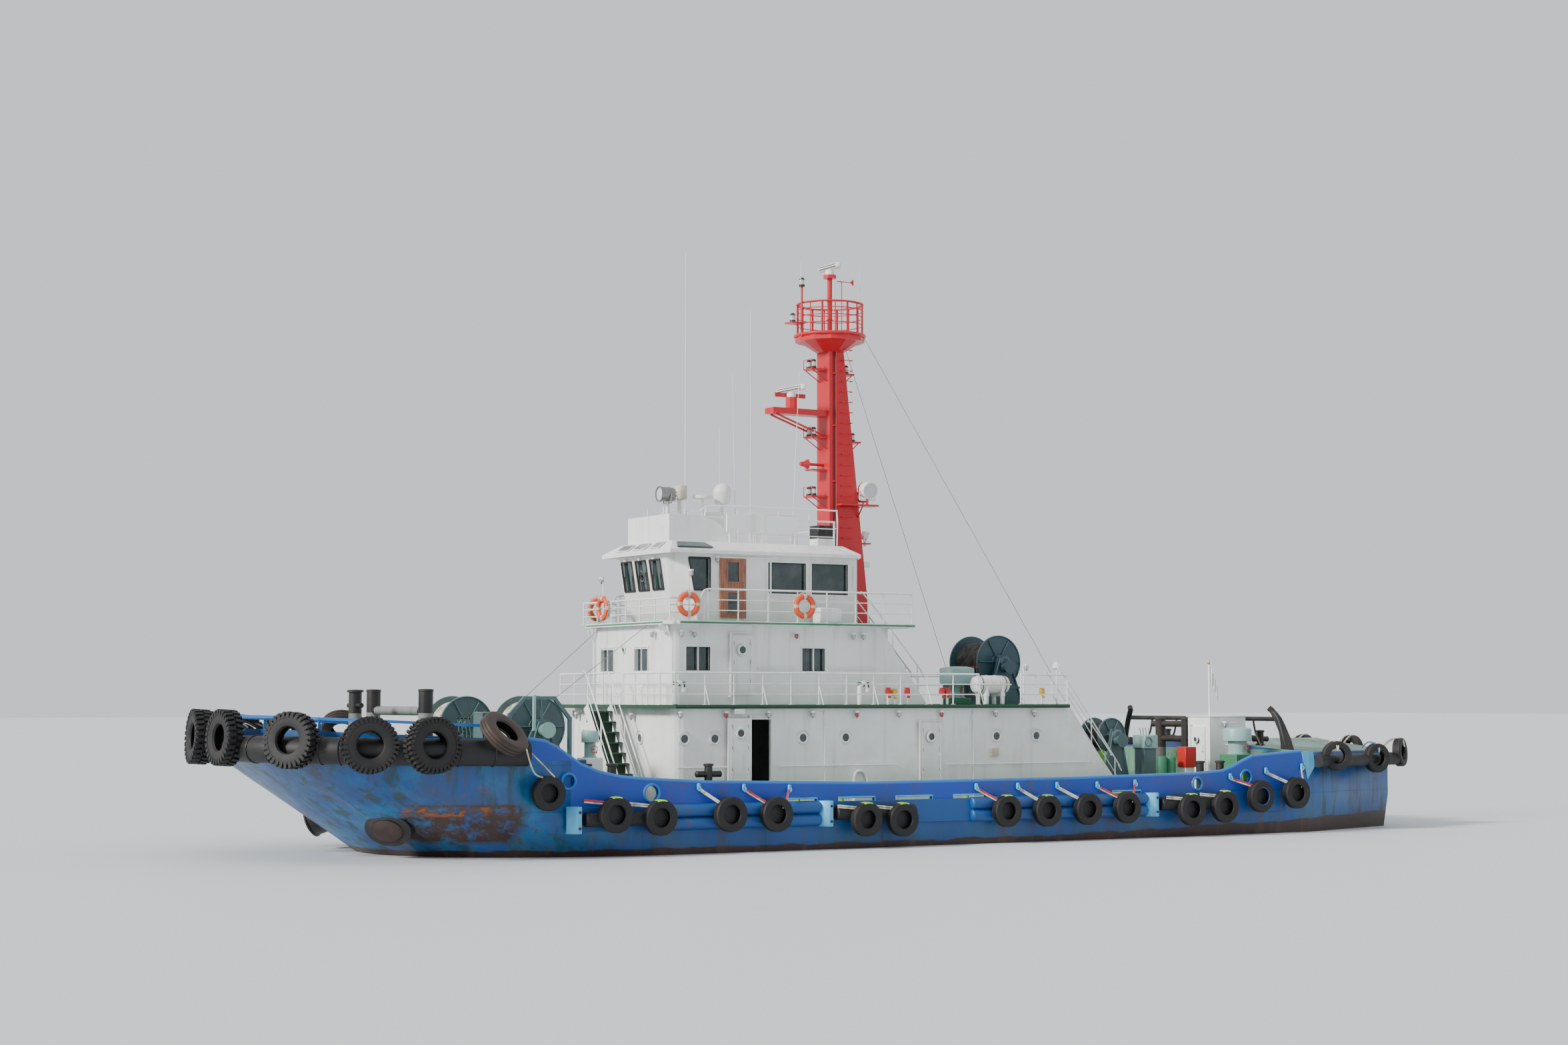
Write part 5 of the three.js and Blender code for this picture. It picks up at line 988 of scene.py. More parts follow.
# Hull fittings
MOORING_PIPES = ((8.74, 1.56, 0.2), (11.06, 1.9, 0.17), (-8.98, 1.49, 0.16), (-10.82, 1.65, 0.18))
FREEING_PORTS = ((3.87, 4.73), (2.07, 3.19), (0.23, 1.39), (-1.56, -0.48), (-6.9, -5.9))


def hull_fittings():
    piece = Piece("bulwark_fittings", "rail_blue")
    inside = Piece("bulwark_stays")
    for side in SIDES:
        # Cap rail
        line = [(x, side * (HULL_SIDE - 0.06), z + 0.015) for x, z in BULWARK_TOP]
        piece.tube(line, 0.062, sides=10)
        # Rims of the mooring pipes, outside and inside
        for x, z, radius in MOORING_PIPES:
            for y in (HULL_SIDE, HULL_SIDE - 0.12):
                piece.ring((x, side * y, z), PORT, radius + 0.02, 0.036, steps=26, sides=8)
        # Gusset where the bulwark ends aft
        y = side * (HULL_SIDE + 0.002)
        piece.plate([(-12.96, y, 2.36), (-13.42, y, 2.38), (-13.5, y, 1.95), (-13.2, y, 1.55)],
                    (0, side * 0.02, 0), "pale_blue", 0.006)
        # Rims of the freeing ports
        for x0, x1 in FREEING_PORTS:
            rim = [(x0 - 0.01, y, 1.12), (x0 - 0.01, y, 1.34), (x1 + 0.01, y, 1.34), (x1 + 0.01, y, 1.12)]
            piece.tube(rim + [rim[0]], 0.024, "pale_blue", 8)
        # Stays behind the bulwark, clear of the freeing ports
        for i in range(18):
            x = -12.2 + i * 1.34
            if any(x0 - 0.1 < x < x1 + 0.1 for x0, x1 in FREEING_PORTS):
                x += 0.42
            top = bulwark_top(x)
            y = side * (HULL_SIDE - 0.125)
            inside.plate([(x, y, MAIN_DECK + 0.01), (x, y - side * 0.34, MAIN_DECK + 0.01),
                          (x, y - side * 0.1, top - 0.08), (x, y, top - 0.08)], (0.022, 0, 0), "side_bulwark")
    piece.done()
    inside.done()


class TUG_OT_hull_fittings(bpy.types.Operator):
    """Makes the cap rail, mooring pipes and stays of the hull"""

    bl_idname = "tug.hull_fittings"
    bl_label = "Hull fittings"

    def execute(self, context):
        hull_fittings()
        return {"FINISHED"}


# Rails, life rings and stairs
RAIL_Y = 3.1
RAIL_FRONT_X = 7.48
BRIDGE_RAIL_Y = 2.54
BRIDGE_RAIL_FRONT_X = 7.04
RAIL_HEIGHT = 0.87
RAIL_ROWS = (0.28, 0.56)
LOW_RAIL_HEIGHT = 0.62
LOW_RAIL_ROWS = (0.21, 0.41)


def rail_run(piece, path, spacing=0.9, braced=0.0, deck=BOAT_DECK, height=RAIL_HEIGHT, rows=RAIL_ROWS):
    """Round-pipe rails along a path of (X, Y): posts with foot plates, bars and a heavier top bar."""
    path = [Vector((x, y, deck)) for x, y in path]
    piece.tube([spot + UP * (height - 0.026) for spot in path], 0.026, "white_paint", 8)
    for row in rows:
        piece.tube([spot + UP * row for spot in path], 0.015, "white_paint", 7)
    for first, (a, b) in enumerate(zip(path, path[1:])):
        count = max(1, round((b - a).length / spacing))
        for i in range(0 if first == 0 else 1, count + 1):
            spot = a.lerp(b, i / count)
            piece.rod(spot, spot + UP * (height - 0.03), 0.021, "white_paint", sides=8)
            piece.box(spot - Vector((0.05, 0.05, 0)), spot + Vector((0.05, 0.05, 0.012)), "white_paint")
            if braced and i % 2:
                along = (b - a).normalized()
                inner = Vector((-along.y, along.x, 0)) * braced
                piece.rod(spot + UP * height * 0.62, spot + inner, 0.013, "white_paint", sides=6)


def rails():
    y, x, step = RAIL_Y, RAIL_FRONT_X, 0.3
    # Each run's path, the spacing of its posts and the reach of its braces to the left of the path
    runs = {
        "boat_rail_port": ([(x - step, y), (-2.5, y)], 0.9, -0.24),
        "boat_rail_starboard": ([(6.43, -y), (-5.56, -y)], 0.9, 0.24),
        "boat_rail_front": ([(6.43, -y), (x, -y), (x, -0.45)], 0.88),
    }
    for node, run in runs.items():
        piece = Piece(node.replace("rail", "rails"))
        rail_run(piece, *run)
        if node == "boat_rail_port":
            rail_run(piece, [(-3.95, y), (-5.56, y)], 0.54)
            rail_run(piece, [(x - step, y), (x, y - step), (x, 0.75)], 0.8)
        piece.done(replaces=(node,))
    y, x = BRIDGE_RAIL_Y, BRIDGE_RAIL_FRONT_X
    for name, side in NAMED_SIDES:
        piece = Piece("bridge_rails_" + name)
        rail_run(piece, [(5.9, side * y), (-0.62, side * y)], deck=BRIDGE_DECK)
        piece.done(replaces=("bridge_rail_" + name,))
    low = Piece("bridge_rails_front")
    rail_run(low, [(6.02, -y), (x, -y), (x, y), (6.02, y)], 0.85, 0.0, BRIDGE_DECK, LOW_RAIL_HEIGHT,
             LOW_RAIL_ROWS)
    for side in SIDES:
        low.tube([(5.9, side * y, BRIDGE_DECK + 0.845), (6.02, side * y, BRIDGE_DECK + 0.8),
                  (6.12, side * y, BRIDGE_DECK + 0.62)], 0.024, "white_paint", 8)
    low.done(replaces=("bridge_rail_front",))


def life_ring(piece, centre, axis):
    """A life ring with four white bands and its line."""
    centre = Vector(centre)
    made = piece.ring(centre, axis, 0.265, 0.078, "ring_orange", 40, 12, 0.8)
    place = placed(centre, axis)
    back = place.inverted()

    def in_band(spot):
        spot = back @ spot
        angle = (math.atan2(spot.y, spot.x) + math.pi / 4) % (math.pi / 2)
        return abs(angle - math.pi / 4) < 0.17

    piece.repaint(made, "canvas", in_band)
    for quarter in range(4):
        points = []
        for i in range(9):
            angle = math.pi / 2 * (quarter + i / 8) + math.pi / 4
            reach = 0.352 + 0.022 * math.sin(math.pi * i / 8)
            points.append(place @ Vector((reach * math.cos(angle), reach * math.sin(angle), 0)))
        piece.tube(points, 0.008, "white_rope", 5)


def life_rings():
    piece = Piece("life_rings")
    for x in (2.94, 6.53):
        for side in SIDES:
            y = side * BRIDGE_RAIL_Y
            life_ring(piece, (x, y + side * 0.09, 6.43), (0, side, 0))
            piece.box((x - 0.03, y - 0.02, 6.53), (x + 0.03, y + 0.02, 6.79), "white_paint")
    life_ring(piece, (BRIDGE_RAIL_FRONT_X + 0.09, -1.2, 6.42), AHEAD)
    piece.done()


def stair(name, node, start, end, across, width, steps, deck, closed=False):
    """A ship's stair: channel stringers, treads with grip bars, and bent-pipe handrails."""
    piece = Piece(name, "white_paint")
    spread = steps + 0.2
    start, end, across = Vector(start), Vector(end), Vector(across)
    run = end - start
    ahead = Vector((run.x, run.y, 0)).normalized()
    for share in (0, 1):
        # Channel stringer
        low = start + across * share * width
        normal = UP - run.normalized() * run.normalized().z
        edge = normal.normalized() * (0.14 if closed else 0.095)
        piece.plate([low - edge, low + edge, low + run + edge, low + run - edge],
                    across * (0.014 if share else -0.014))
        # Bent handrail, the bar under it and their posts
        lift = Vector((0, 0, 0.85))
        piece.tube(smooth_path([low + lift * 0.75 - ahead * 0.12, low + lift * 0.97, low + run * 0.05 + lift,
                                low + run * 0.95 + lift, low + run + lift * 1.03 + ahead * 0.16], 5), 0.021,
                   sides=8)
        piece.tube([low + run * 0.04 + lift * 0.5, low + run * 0.96 + lift * 0.5], 0.014, sides=7)
        for post in (0.06, 0.5, 0.94):
            piece.rod(low + run * post, low + run * post + lift, 0.018, sides=8)
        # Foot plate on the deck
        piece.box(low + Vector((-0.06, -0.06, deck - low.z)), low + Vector((0.06, 0.06, deck - low.z + 0.03)))
        piece.rod((low.x, low.y, deck), low + Vector((0, 0, 0.06)), 0.03, sides=8)
    for i in range(steps):
        # Tread
        middle = start + run * ((i + 0.6) / spread) + across * width / 2
        half = across * (width / 2 - 0.012)
        deep = ahead * 0.115
        piece.plate([middle - half - deep, middle + half - deep, middle + half + deep, middle - half + deep],
                    (0, 0, 0.028), "dark_green")
        if closed:
            # Riser
            back = middle + deep * 0.9
            riser = UP * run.z / spread * 0.97
            piece.plate([back - half, back + half, back + half - riser, back - half - riser], ahead * 0.012,
                        "dark_green")
        # Grip bars on the tread
        for bar in range(5):
            at = middle - deep * 0.8 + deep * 0.4 * bar + Vector((0, 0, 0.03))
            piece.rod(at - half * 0.96, at + half * 0.96, 0.007, "dark_green", sides=5)
    piece.done(replaces=(node,))


def stairs():
    stair("stair_fore", "fore_stair", (7.6, 1.95, MAIN_DECK + 0.12), (7.6, 0.15, BOAT_DECK - 0.04), AHEAD,
          0.7, 9, MAIN_DECK, True)
    stair("stair_aft", "aft_stair_port", (-7.7, 2.05, MAIN_DECK + 0.12), (-5.76, 2.05, BOAT_DECK - 0.02),
          PORT, 0.7, 9, MAIN_DECK)
    stair("stair_bridge", "bridge_stair", (-1.25, 1.45, BOAT_DECK + 0.12), (0.62, 1.45, BRIDGE_DECK - 0.04),
          PORT, 0.6, 8, BOAT_DECK)


class TUG_OT_rails(bpy.types.Operator):
    """Makes the pipe rails, the life rings on them and the stairs"""

    bl_idname = "tug.rails"
    bl_label = "Rails and stairs"

    def execute(self, context):
        rails()
        life_rings()
        stairs()
        return {"FINISHED"}


# Deckhouse fittings
HOUSE_FRONT = 7.2
BRACKET_SPACING = 1.1
PORTHOLE_Z = 2.88
HOUSE_PORTHOLES = (6.86, 5.95, 3.23, 1.87, -3.16, -4.55)
HOUSE_LAMPS = ((7.03, 3.55, "lamp"), (5.66, 3.55, "red"), (4.36, 3.55, "lamp"), (2.98, 3.55, "lamp"),
               (1.57, 3.55, "red"), (0.2, 3.55, "lamp"), (-1.22, 3.55, "red"), (-3.06, 3.55, "lamp"),
               (-4.41, 3.55, "lamp"))
HOUSE_HANDRAILS = ((5.56, 7.1, 2.13), (0.25, 4.02, 2.13), (-6.4, -1.45, 2.11))
# Side doors: the body, the leaf's X and Z limits, the house's side, whether a frame stands proud round it
DOOR_LEAVES = (("fore_door", 4.22, 4.86, 1.74, 3.38, HOUSE_SIDE, False),
               ("aft_door", -1.25, -0.55, 1.66, 3.24, HOUSE_SIDE, True),
               ("upper_door", 4.38, 5.04, 4.08, 5.6, UPPER_SIDE, True))


def porthole(piece, centre, axis, radius=0.175, brow=True):
    """A round window: flange with bolts, glass, and a small brow over it."""
    centre, axis = Vector(centre), Vector(axis).normalized()
    piece.turned([(radius * 0.62, 0.002), (radius * 0.62, 0.03), (radius * 0.82, 0.042),
                  (radius * 0.98, 0.03), (radius, 0.002)], centre, axis, "white_paint", 28)
    piece.turned([(0, 0.012), (radius * 0.66, 0.012)], centre, axis, "glass", 28)
    place = placed(centre, axis)
    for spot in round_points((0, 0, 0.036), radius * 0.82, 8):
        piece.ball(place @ spot, 0.009, "bare_steel", across=6, down=4)
    if brow:
        across = axis.cross(UP).normalized() * radius * 1.18
        rise = UP * radius * 1.18
        angles = [0.35 + (math.pi - 0.7) * i / 10 for i in range(11)]
        piece.tube([centre + across * math.cos(a) + rise * math.sin(a) + axis * 0.03 for a in angles], 0.014,
                   "white_paint", 6)


def bulkhead_lamp(piece, centre, out, kind="lamp"):
    """A bulkhead lamp hung under a deck's edge: cap, glass globe and guard."""
    centre, out = Vector(centre), Vector(out)
    piece.rod(centre, centre + out * 0.1, 0.03, "white_paint")
    head = centre + out * 0.12
    piece.turned([(0, 0.05), (0.062, 0.05), (0.068, 0.02), (0.06, 0.0)], head, UP, "white_paint", 16)
    piece.ball(head - UP * 0.05, 0.05, "red_glass" if kind == "red" else "lamp_glass", (1, 1, 1.5), 12, 8)
    for spot in round_points(head, 0.06, 4, 0.5):
        piece.tube([spot, spot - UP * 0.09, head - UP * 0.14], 0.005, "bare_steel", 4)


def handrail(piece, start, end, out):
    """A grab rail held off a wall on small brackets."""
    start, end, out = Vector(start), Vector(end), Vector(out)
    away = out * 0.07
    piece.tube([start, start + away, end + away, end], 0.017, "white_paint", 8)
    count = max(1, round((end - start).length / BRACKET_SPACING))
    for i in range(1, count):
        spot = start.lerp(end, i / count)
        piece.rod(spot, spot + away, 0.012, "white_paint", sides=7)
        piece.rod(spot, spot + out * 0.01, 0.032, "white_paint", sides=10)


def floodlight(piece, centre, aim, size=0.16):
    """A square floodlight in a yoke, its glass to the front."""
    centre, aim = Vector(centre), Vector(aim).normalized()
    place = placed(centre, aim)
    body = bmesh.ops.create_cube(piece.bm, size=1.0,
                                 matrix=place @ Matrix.Diagonal((size * 1.3, size, size * 0.6, 1)))
    piece.paint(body["verts"], "white_trim")
    glass = bmesh.ops.create_cube(piece.bm, size=1.0,
                                  matrix=place @ Matrix.Translation((0, 0, size * 0.31))
                                  @ Matrix.Diagonal((size * 1.12, size * 0.82, 0.012, 1)))
    piece.paint(glass["verts"], "lamp_glass")
    across = (place.to_3x3() @ Vector(AHEAD)).normalized()
    for side in SIDES:
        spot = centre + across * side * size * 0.68
        piece.tube([spot, spot - UP * size * 0.7, centre - UP * size * 0.7], 0.011, "white_trim", 6)
    piece.rod(centre - UP * size * 0.7, centre - UP * size * 1.0, 0.02, "white_trim", sides=8)


def window_frame(piece, x0, x1, z0, z1, face, side, panes=1):
    """A rubber-set window in a side wall, with an outer frame and its mullions."""
    y = side * face
    piece.frame((x0, z0), (x1, z1), y, 0.05, side * 0.022, "white_paint", 0.004)
    piece.frame((x0 + 0.02, z0 + 0.02), (x1 - 0.02, z1 - 0.02), y - side * 0.02, 0.02, side * 0.03,
                "black_paint")
    for i in range(1, panes):
        x = x0 + (x1 - x0) * i / panes
        piece.box((x - 0.018, y - side * 0.02, z0), (x + 0.018, y + side * 0.012, z1), "white_paint")


def main_house_fittings():
    piece = Piece("house_fittings", "white_paint")
    for side in SIDES:
        face = side * HOUSE_SIDE
        out = (0, side, 0)
        for x in HOUSE_PORTHOLES:
            porthole(piece, (x, face, PORTHOLE_Z), out)
        for x, z, kind in HOUSE_LAMPS:
            bulkhead_lamp(piece, (x, face, z), out, kind)
        for x0, x1, z in HOUSE_HANDRAILS:
            handrail(piece, (x1, face, z), (x0, face, z), out)
        # Sloping grab rail beside the after stair
        handrail(piece, (-7.28, face - side * 0.05, 2.3), (-5.62, face - side * 0.05, 4.25), out)
        # Box under the deck's edge ahead of the fore door
        piece.box((5.13, face, 3.52), (5.43, face + side * 0.2, 3.66), bevel=0.012)
        # Small covered box on the wall aft
        piece.box((-3.2, face, 2.32), (-2.92, face + side * 0.09, 2.55), "canvas", 0.01)
        # Gooseneck of an air pipe
        neck = ((1.62, 3.05, 1.1), (1.62, 3.05, 1.8), (1.5, 3.06, 1.97), (1.28, 3.06, 1.9), (1.16, 3.06, 1.6))
        piece.tube(smooth_path(at_side(side, neck)), 0.045, sides=10)
        # Downpipes and their clamps
        for x in (2.55, -2.35):
            piece.box((x - 0.05, face, 3.3), (x + 0.05, face + side * 0.02, 3.5))
            piece.tube([(x, face + side * 0.03, 3.6), (x, face + side * 0.03, 1.12)], 0.022, sides=7)
    for y in (-2.1, -0.6, 1.2):
        porthole(piece, (HOUSE_FRONT, y, PORTHOLE_Z), AHEAD)
    for y in (-2.4, 0.9):
        bulkhead_lamp(piece, (HOUSE_FRONT, y, 3.5), AHEAD)
    piece.done()
    for leaf in DOOR_LEAVES:
        for name, side in NAMED_SIDES:
            door_parts(name, side, *leaf)


def door_parts(name, side, door, x0, x1, z0, z1, wall, framed):
    """A steel ship's door: its coaming on the wall, and dogs, stiffeners and window on the leaf."""
    face = side * wall
    coaming = Piece(door + "_coaming_" + name, "white_trim")
    if framed:
        coaming.frame((x0, z0), (x1, z1), face, 0.03, side * 0.024, corner=0.003)
        # A grey band round the coaming: painted shadow of the gap round the door
        coaming.frame((x0 - 0.016, z0 - 0.016), (x1 + 0.016, z1 + 0.016), face, 0.016, side * 0.006,
                      "worn_steel")
    else:
        coaming.frame((x0, z0), (x1, z1), face, 0.03, side * 0.003)
    drip = face + side * 0.05
    coaming.tube([(x0 - 0.04, drip, z1 + 0.1), (x1 + 0.04, drip, z1 + 0.1)], 0.014, sides=6)
    coaming.done()

    body = door + "_" + name
    low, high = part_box(body)
    left, right = low[0] + 0.06, high[0] - 0.06
    if framed:
        right = min(right, x1 + 0.02)
    outer = door_face(body, side)
    leaf = Piece(door + "_gear_" + name, "white_trim")
    leaf.frame((left + 0.05, z0 + 0.05), (right - 0.05, z1 - 0.05), outer, 0.022, side * 0.006)
    for z in (z0 + 0.25, (z0 + z1) / 2, z1 - 0.25):
        for x in (left + 0.075, right - 0.075):
            leaf.rod((x, outer, z), (x, outer + side * 0.03, z), 0.016, sides=10)
            handle = outer + side * 0.024
            leaf.rod((x, handle, z), (x + 0.02, handle, z + 0.12), 0.009, "bare_steel", sides=6)
    porthole(leaf, ((left + right) / 2, outer, z1 - 0.36), (0, side, 0), 0.16, False)
    leaf.done(body)


def door_face(body, side):
    """The Y of a leaf's outer face, past its own hinge barrels."""
    solid = frame["nodes"][frame["record"]["behaviour"]["bodies"][body][0]]
    counts = Counter(round((solid.matrix_world @ vert.co).y, 3) for vert in solid.data.vertices)
    return max((y for y, _ in counts.most_common(4)), key=lambda y: y * side)


class TUG_OT_house(bpy.types.Operator):
    """Makes the main house's round windows, lamps, grab rails and door gear"""

    bl_idname = "tug.house"
    bl_label = "Main house fittings"

    def execute(self, context):
        main_house_fittings()
        return {"FINISHED"}


# Upper house, wheelhouse and what stands on it
UPPER_WINDOWS = ((5.67, 6.4, 4.68, 5.31), (2.07, 2.79, 4.68, 5.3))
UPPER_SILL, UPPER_HEAD = 4.68, 5.31
UPPER_FRONT_WINDOWS = ((-1.7, -0.95), (0.3, 1.05))
UPPER_FRONT = 6.9
UPPER_LAMPS = ((6.59, 5.7, "lamp"), (6.21, 5.7, "lamp"), (3.03, 5.69, "red"), (1.2, 5.69, "lamp"),
               (0.87, 5.69, "lamp"))
# The first frame stops where the sliding door's leaf comes to
WHEEL_SIDE_WINDOWS = ((3.5, 2.4, 6.8, 7.65), (2.21, 1.03, 6.8, 7.65))
# Window and lower panel of a sliding door: Z limits
LEAF_PANELS = ((7.09, 7.62), (6.25, 6.79))
FRONT_SILL, FRONT_HEAD = 6.88, 7.69
WHEEL_FRONT_WINDOWS = ((-1.25, -0.64), (-0.42, 0.19), (0.41, 1.02))
WHEEL_FOOT, WHEEL_BROW = 6.25, 6.55
ROOF_LIGHTS = ((-1.2, -0.5), (-0.25, 0.45), (0.75, 1.25))
# Pipes that stand on the wheelhouse roof: X, Y, top, radius, sides
ROOF_POSTS = ((6.05, 0.55, 9.1, 0.054, 12), (5.7, 0.58, 9.4, 0.054, 12), (5.1, 0.8, 9.42, 0.034, 12),
              (4.48, 0.8, 9.3, 0.044, 12), (4.64, 0.9, 9.15, 0.029, 8), (5.04, 0.9, 9.15, 0.029, 8))
# Aerials: X, Y, the top's X and Z, radius
ROOF_WHIPS = ((5.2, 0.0, 5.2, 16.3, 0.02), (4.1, 0.9, 4.22, 12.9, 0.014), (3.6, -0.9, 3.6, 11.6, 0.014),
              (3.11, 0.0, 3.11, 14.85, 0.018), (2.3, 0.9, 2.05, 13.1, 0.014))
TOP_RAIL_Y = 1.17
BRIDGE_EDGE = 5.95


def wheel_front(z):
    """The X of the wheelhouse front at a height: it leans forward as it rises."""
    return WHEEL_FOOT + (WHEEL_BROW - WHEEL_FOOT) * (z - BRIDGE_DECK) / (7.83 - BRIDGE_DECK)


def upper_fittings():
    piece = Piece("upper_fittings", "white_paint")
    for side in SIDES:
        face = side * UPPER_SIDE
        out = (0, side, 0)
        for window in UPPER_WINDOWS:
            window_frame(piece, *window, UPPER_SIDE, side, 2)
        for x, z, kind in UPPER_LAMPS:
            bulkhead_lamp(piece, (x, face, z), out, kind)
        for x0, x1 in ((4.2, 2.95), (1.9, 0.45)):
            handrail(piece, (x0, face, 4.75), (x1, face, 4.75), out)
        # Drain from the bridge deck's corner
        drain = ((7.0, 2.3, 5.86), (6.97, 2.32, 5.7), (6.84, 2.3, 5.5), (6.84, 2.3, 5.2), (6.84, 2.3, 3.79))
        piece.tube(smooth_path(at_side(side, drain)), 0.028, sides=8)
    for y0, y1 in UPPER_FRONT_WINDOWS:
        piece.frame((y0, UPPER_SILL), (y1, UPPER_HEAD), UPPER_FRONT, 0.05, 0.025, corner=0.004, athwart=True)
        middle = (y0 + y1) / 2
        piece.box((UPPER_FRONT - 0.01, middle - 0.018, UPPER_SILL),
                  (UPPER_FRONT + 0.015, middle + 0.018, UPPER_HEAD))
    porthole(piece, (UPPER_FRONT, -0.35, 5.25), AHEAD, 0.1)
    bulkhead_lamp(piece, (UPPER_FRONT, 1.5, 5.7), AHEAD)
    # Box on the after wall
    piece.box((0.1, -0.9, 3.8), (0.24, -0.3, 4.3), bevel=0.02)
    piece.done()


def wheelhouse_fittings():
    piece = Piece("wheelhouse_fittings", "white_paint")
    for side in SIDES:
        y = side * WHEEL_SIDE
        for x1, x0, z0, z1 in WHEEL_SIDE_WINDOWS:
            window_frame(piece, x0, x1, z0, z1, WHEEL_SIDE, side)
        # Rubber edge of the foremost side window
        rim = ((5.42, 6.85), (5.42, 7.72), (6.08, 7.72), (5.9, 6.85))
        piece.bars([(x, y + side * 0.006, z) for x, z in rim], 0.024, "black_paint")
        handrail(piece, (3.5, y, 6.62), (1.0, y, 6.62), (0, side, 0))
        piece.box((0.8, y, 7.0), (0.86, y + side * 0.05, 7.6))
        bulkhead_lamp(piece, (5.25, y, 7.72), (0, side, 0))
        # Skylight in the roof's side slope
        skylight = ((6.5, 1.93, 7.985), (6.35, 1.62, 8.125), (5.5, 1.62, 8.125), (5.4, 1.93, 7.985))
        piece.plate(at_side(side, skylight), (0, side * 0.012, 0.03), "glass")
    for y0, y1 in WHEEL_FRONT_WINDOWS:
        front_window(piece, y0, y1)
    # Clear-view disc in the middle window
    disc = Vector((wheel_front(7.28) + 0.012, -0.115, 7.28))
    lean = Vector((1.83, 0, -0.3)).normalized()
    piece.turned([(0.13, 0.0), (0.13, 0.022), (0.155, 0.022), (0.155, 0.0)], disc, lean, "bare_steel", 30)
    piece.rod(disc, disc + lean * 0.05, 0.03, "black_paint")
    # Gutter round the roof's edge
    piece.tube([(0.72, -1.985, 7.905), (6.73, -1.985, 7.905), (6.73, 1.985, 7.905), (0.72, 1.985, 7.905)],
               0.022, sides=8)
    piece.tube([(0.72, 1.9, 7.82), (0.72, -1.9, 7.82)], 0.02, sides=6)
    for y0, y1 in ROOF_LIGHTS:
        roof_light(piece, y0, y1)
    piece.done()


def front_window(piece, y0, y1):
    """A window of the leaning front: its rubber edge, and a wiper with its motor."""
    rim = ((y0, FRONT_SILL), (y0, FRONT_HEAD), (y1, FRONT_HEAD), (y1, FRONT_SILL))
    corners = [(wheel_front(z) + 0.008, y, z) for y, z in rim]
    piece.bars(corners, 0.026, "black_paint")
    middle = (y0 + y1) / 2
    top = Vector((wheel_front(7.72) + 0.05, middle, 7.72))
    foot = Vector((wheel_front(7.1) + 0.035, middle - 0.16, 7.1))
    piece.rod(top, foot, 0.009, "black_paint", sides=6)
    blade = Vector((wheel_front(7.5) - wheel_front(6.95), 0, 0.55)).normalized() * 0.2
    piece.rod(foot - blade, foot + blade, 0.012, "rubber", sides=6)
    piece.box(top - Vector((0.05, 0.06, 0.02)), top + Vector((0.02, 0.06, 0.06)), "white_trim", 0.01)


def roof_light(piece, y0, y1):
    """A window in the sloping front edge of the roof."""
    piece.plate([(6.7, y0, 7.975), (6.7, y1, 7.975), (6.47, y1 - 0.03, 8.14), (6.47, y0 + 0.03, 8.14)],
                (0.012, 0, 0.022), "glass")
    piece.bars([(6.71, y0, 7.99), (6.71, y1, 7.99), (6.48, y1 - 0.03, 8.16), (6.48, y0 + 0.03, 8.16)], 0.016,
               "white_paint")


def sliding_door_gear(name, side):
    """The wooden leaf's panels and windows, its handle and its runners."""
    leaf = Piece("sliding_gear_" + name)
    y = side * (WHEEL_SIDE + 0.054)
    for z0, z1 in LEAF_PANELS:
        leaf.frame((4.56, z0), (4.89, z1), y, 0.035, side * 0.012, "door_wood", 0.003)
    for z0, z1 in LEAF_PANELS:
        leaf.box((4.56, y - side * 0.03, z0), (4.89, y - side * 0.012, z1), "glass")
    grip = y + side * 0.05
    leaf.tube([(4.42, y, 6.85), (4.42, grip, 6.87), (4.42, grip, 7.05), (4.42, y, 7.07)], 0.012, "bare_steel",
              7)
    leaf.done("sliding_door_" + name)


def whip(piece, foot, top, radius):
    """A tapered aerial on its thicker base."""
    foot, top = Vector(foot), Vector(top)
    piece.rod(foot, foot.lerp(top, 0.12), radius * 1.9, "plastic_white", sides=8)
    piece.rod(foot.lerp(top, 0.1), top, radius, "plastic_white", tip=radius * 0.4, sides=6)


def searchlight(piece, centre, aim, radius, length, look="bare_steel"):
    """A drum-shaped searchlight in its yoke on a post."""
    centre, aim = Vector(centre), Vector(aim).normalized()
    drum_shape = ((0, -0.5), (0.6, -0.5), (0.92, -0.36), (1, -0.1), (1, 0.42), (1.07, 0.42), (1.07, 0.5),
                  (0.93, 0.5), (0.93, 0.44), (0, 0.44))
    piece.turned([(radius * r, length * a) for r, a in drum_shape], centre, aim, look, 24)
    piece.turned([(0, length * 0.46), (radius * 0.92, length * 0.45)], centre, aim, "lamp_glass", 24)
    across = aim.cross(UP).normalized() * radius * 1.12
    drop = UP * radius * 1.2
    piece.tube([centre + across, centre + across - drop, centre - across - drop, centre - across], 0.018,
               look, 7)
    piece.rod(centre - drop - UP * 0.16, centre - drop, 0.035, look)


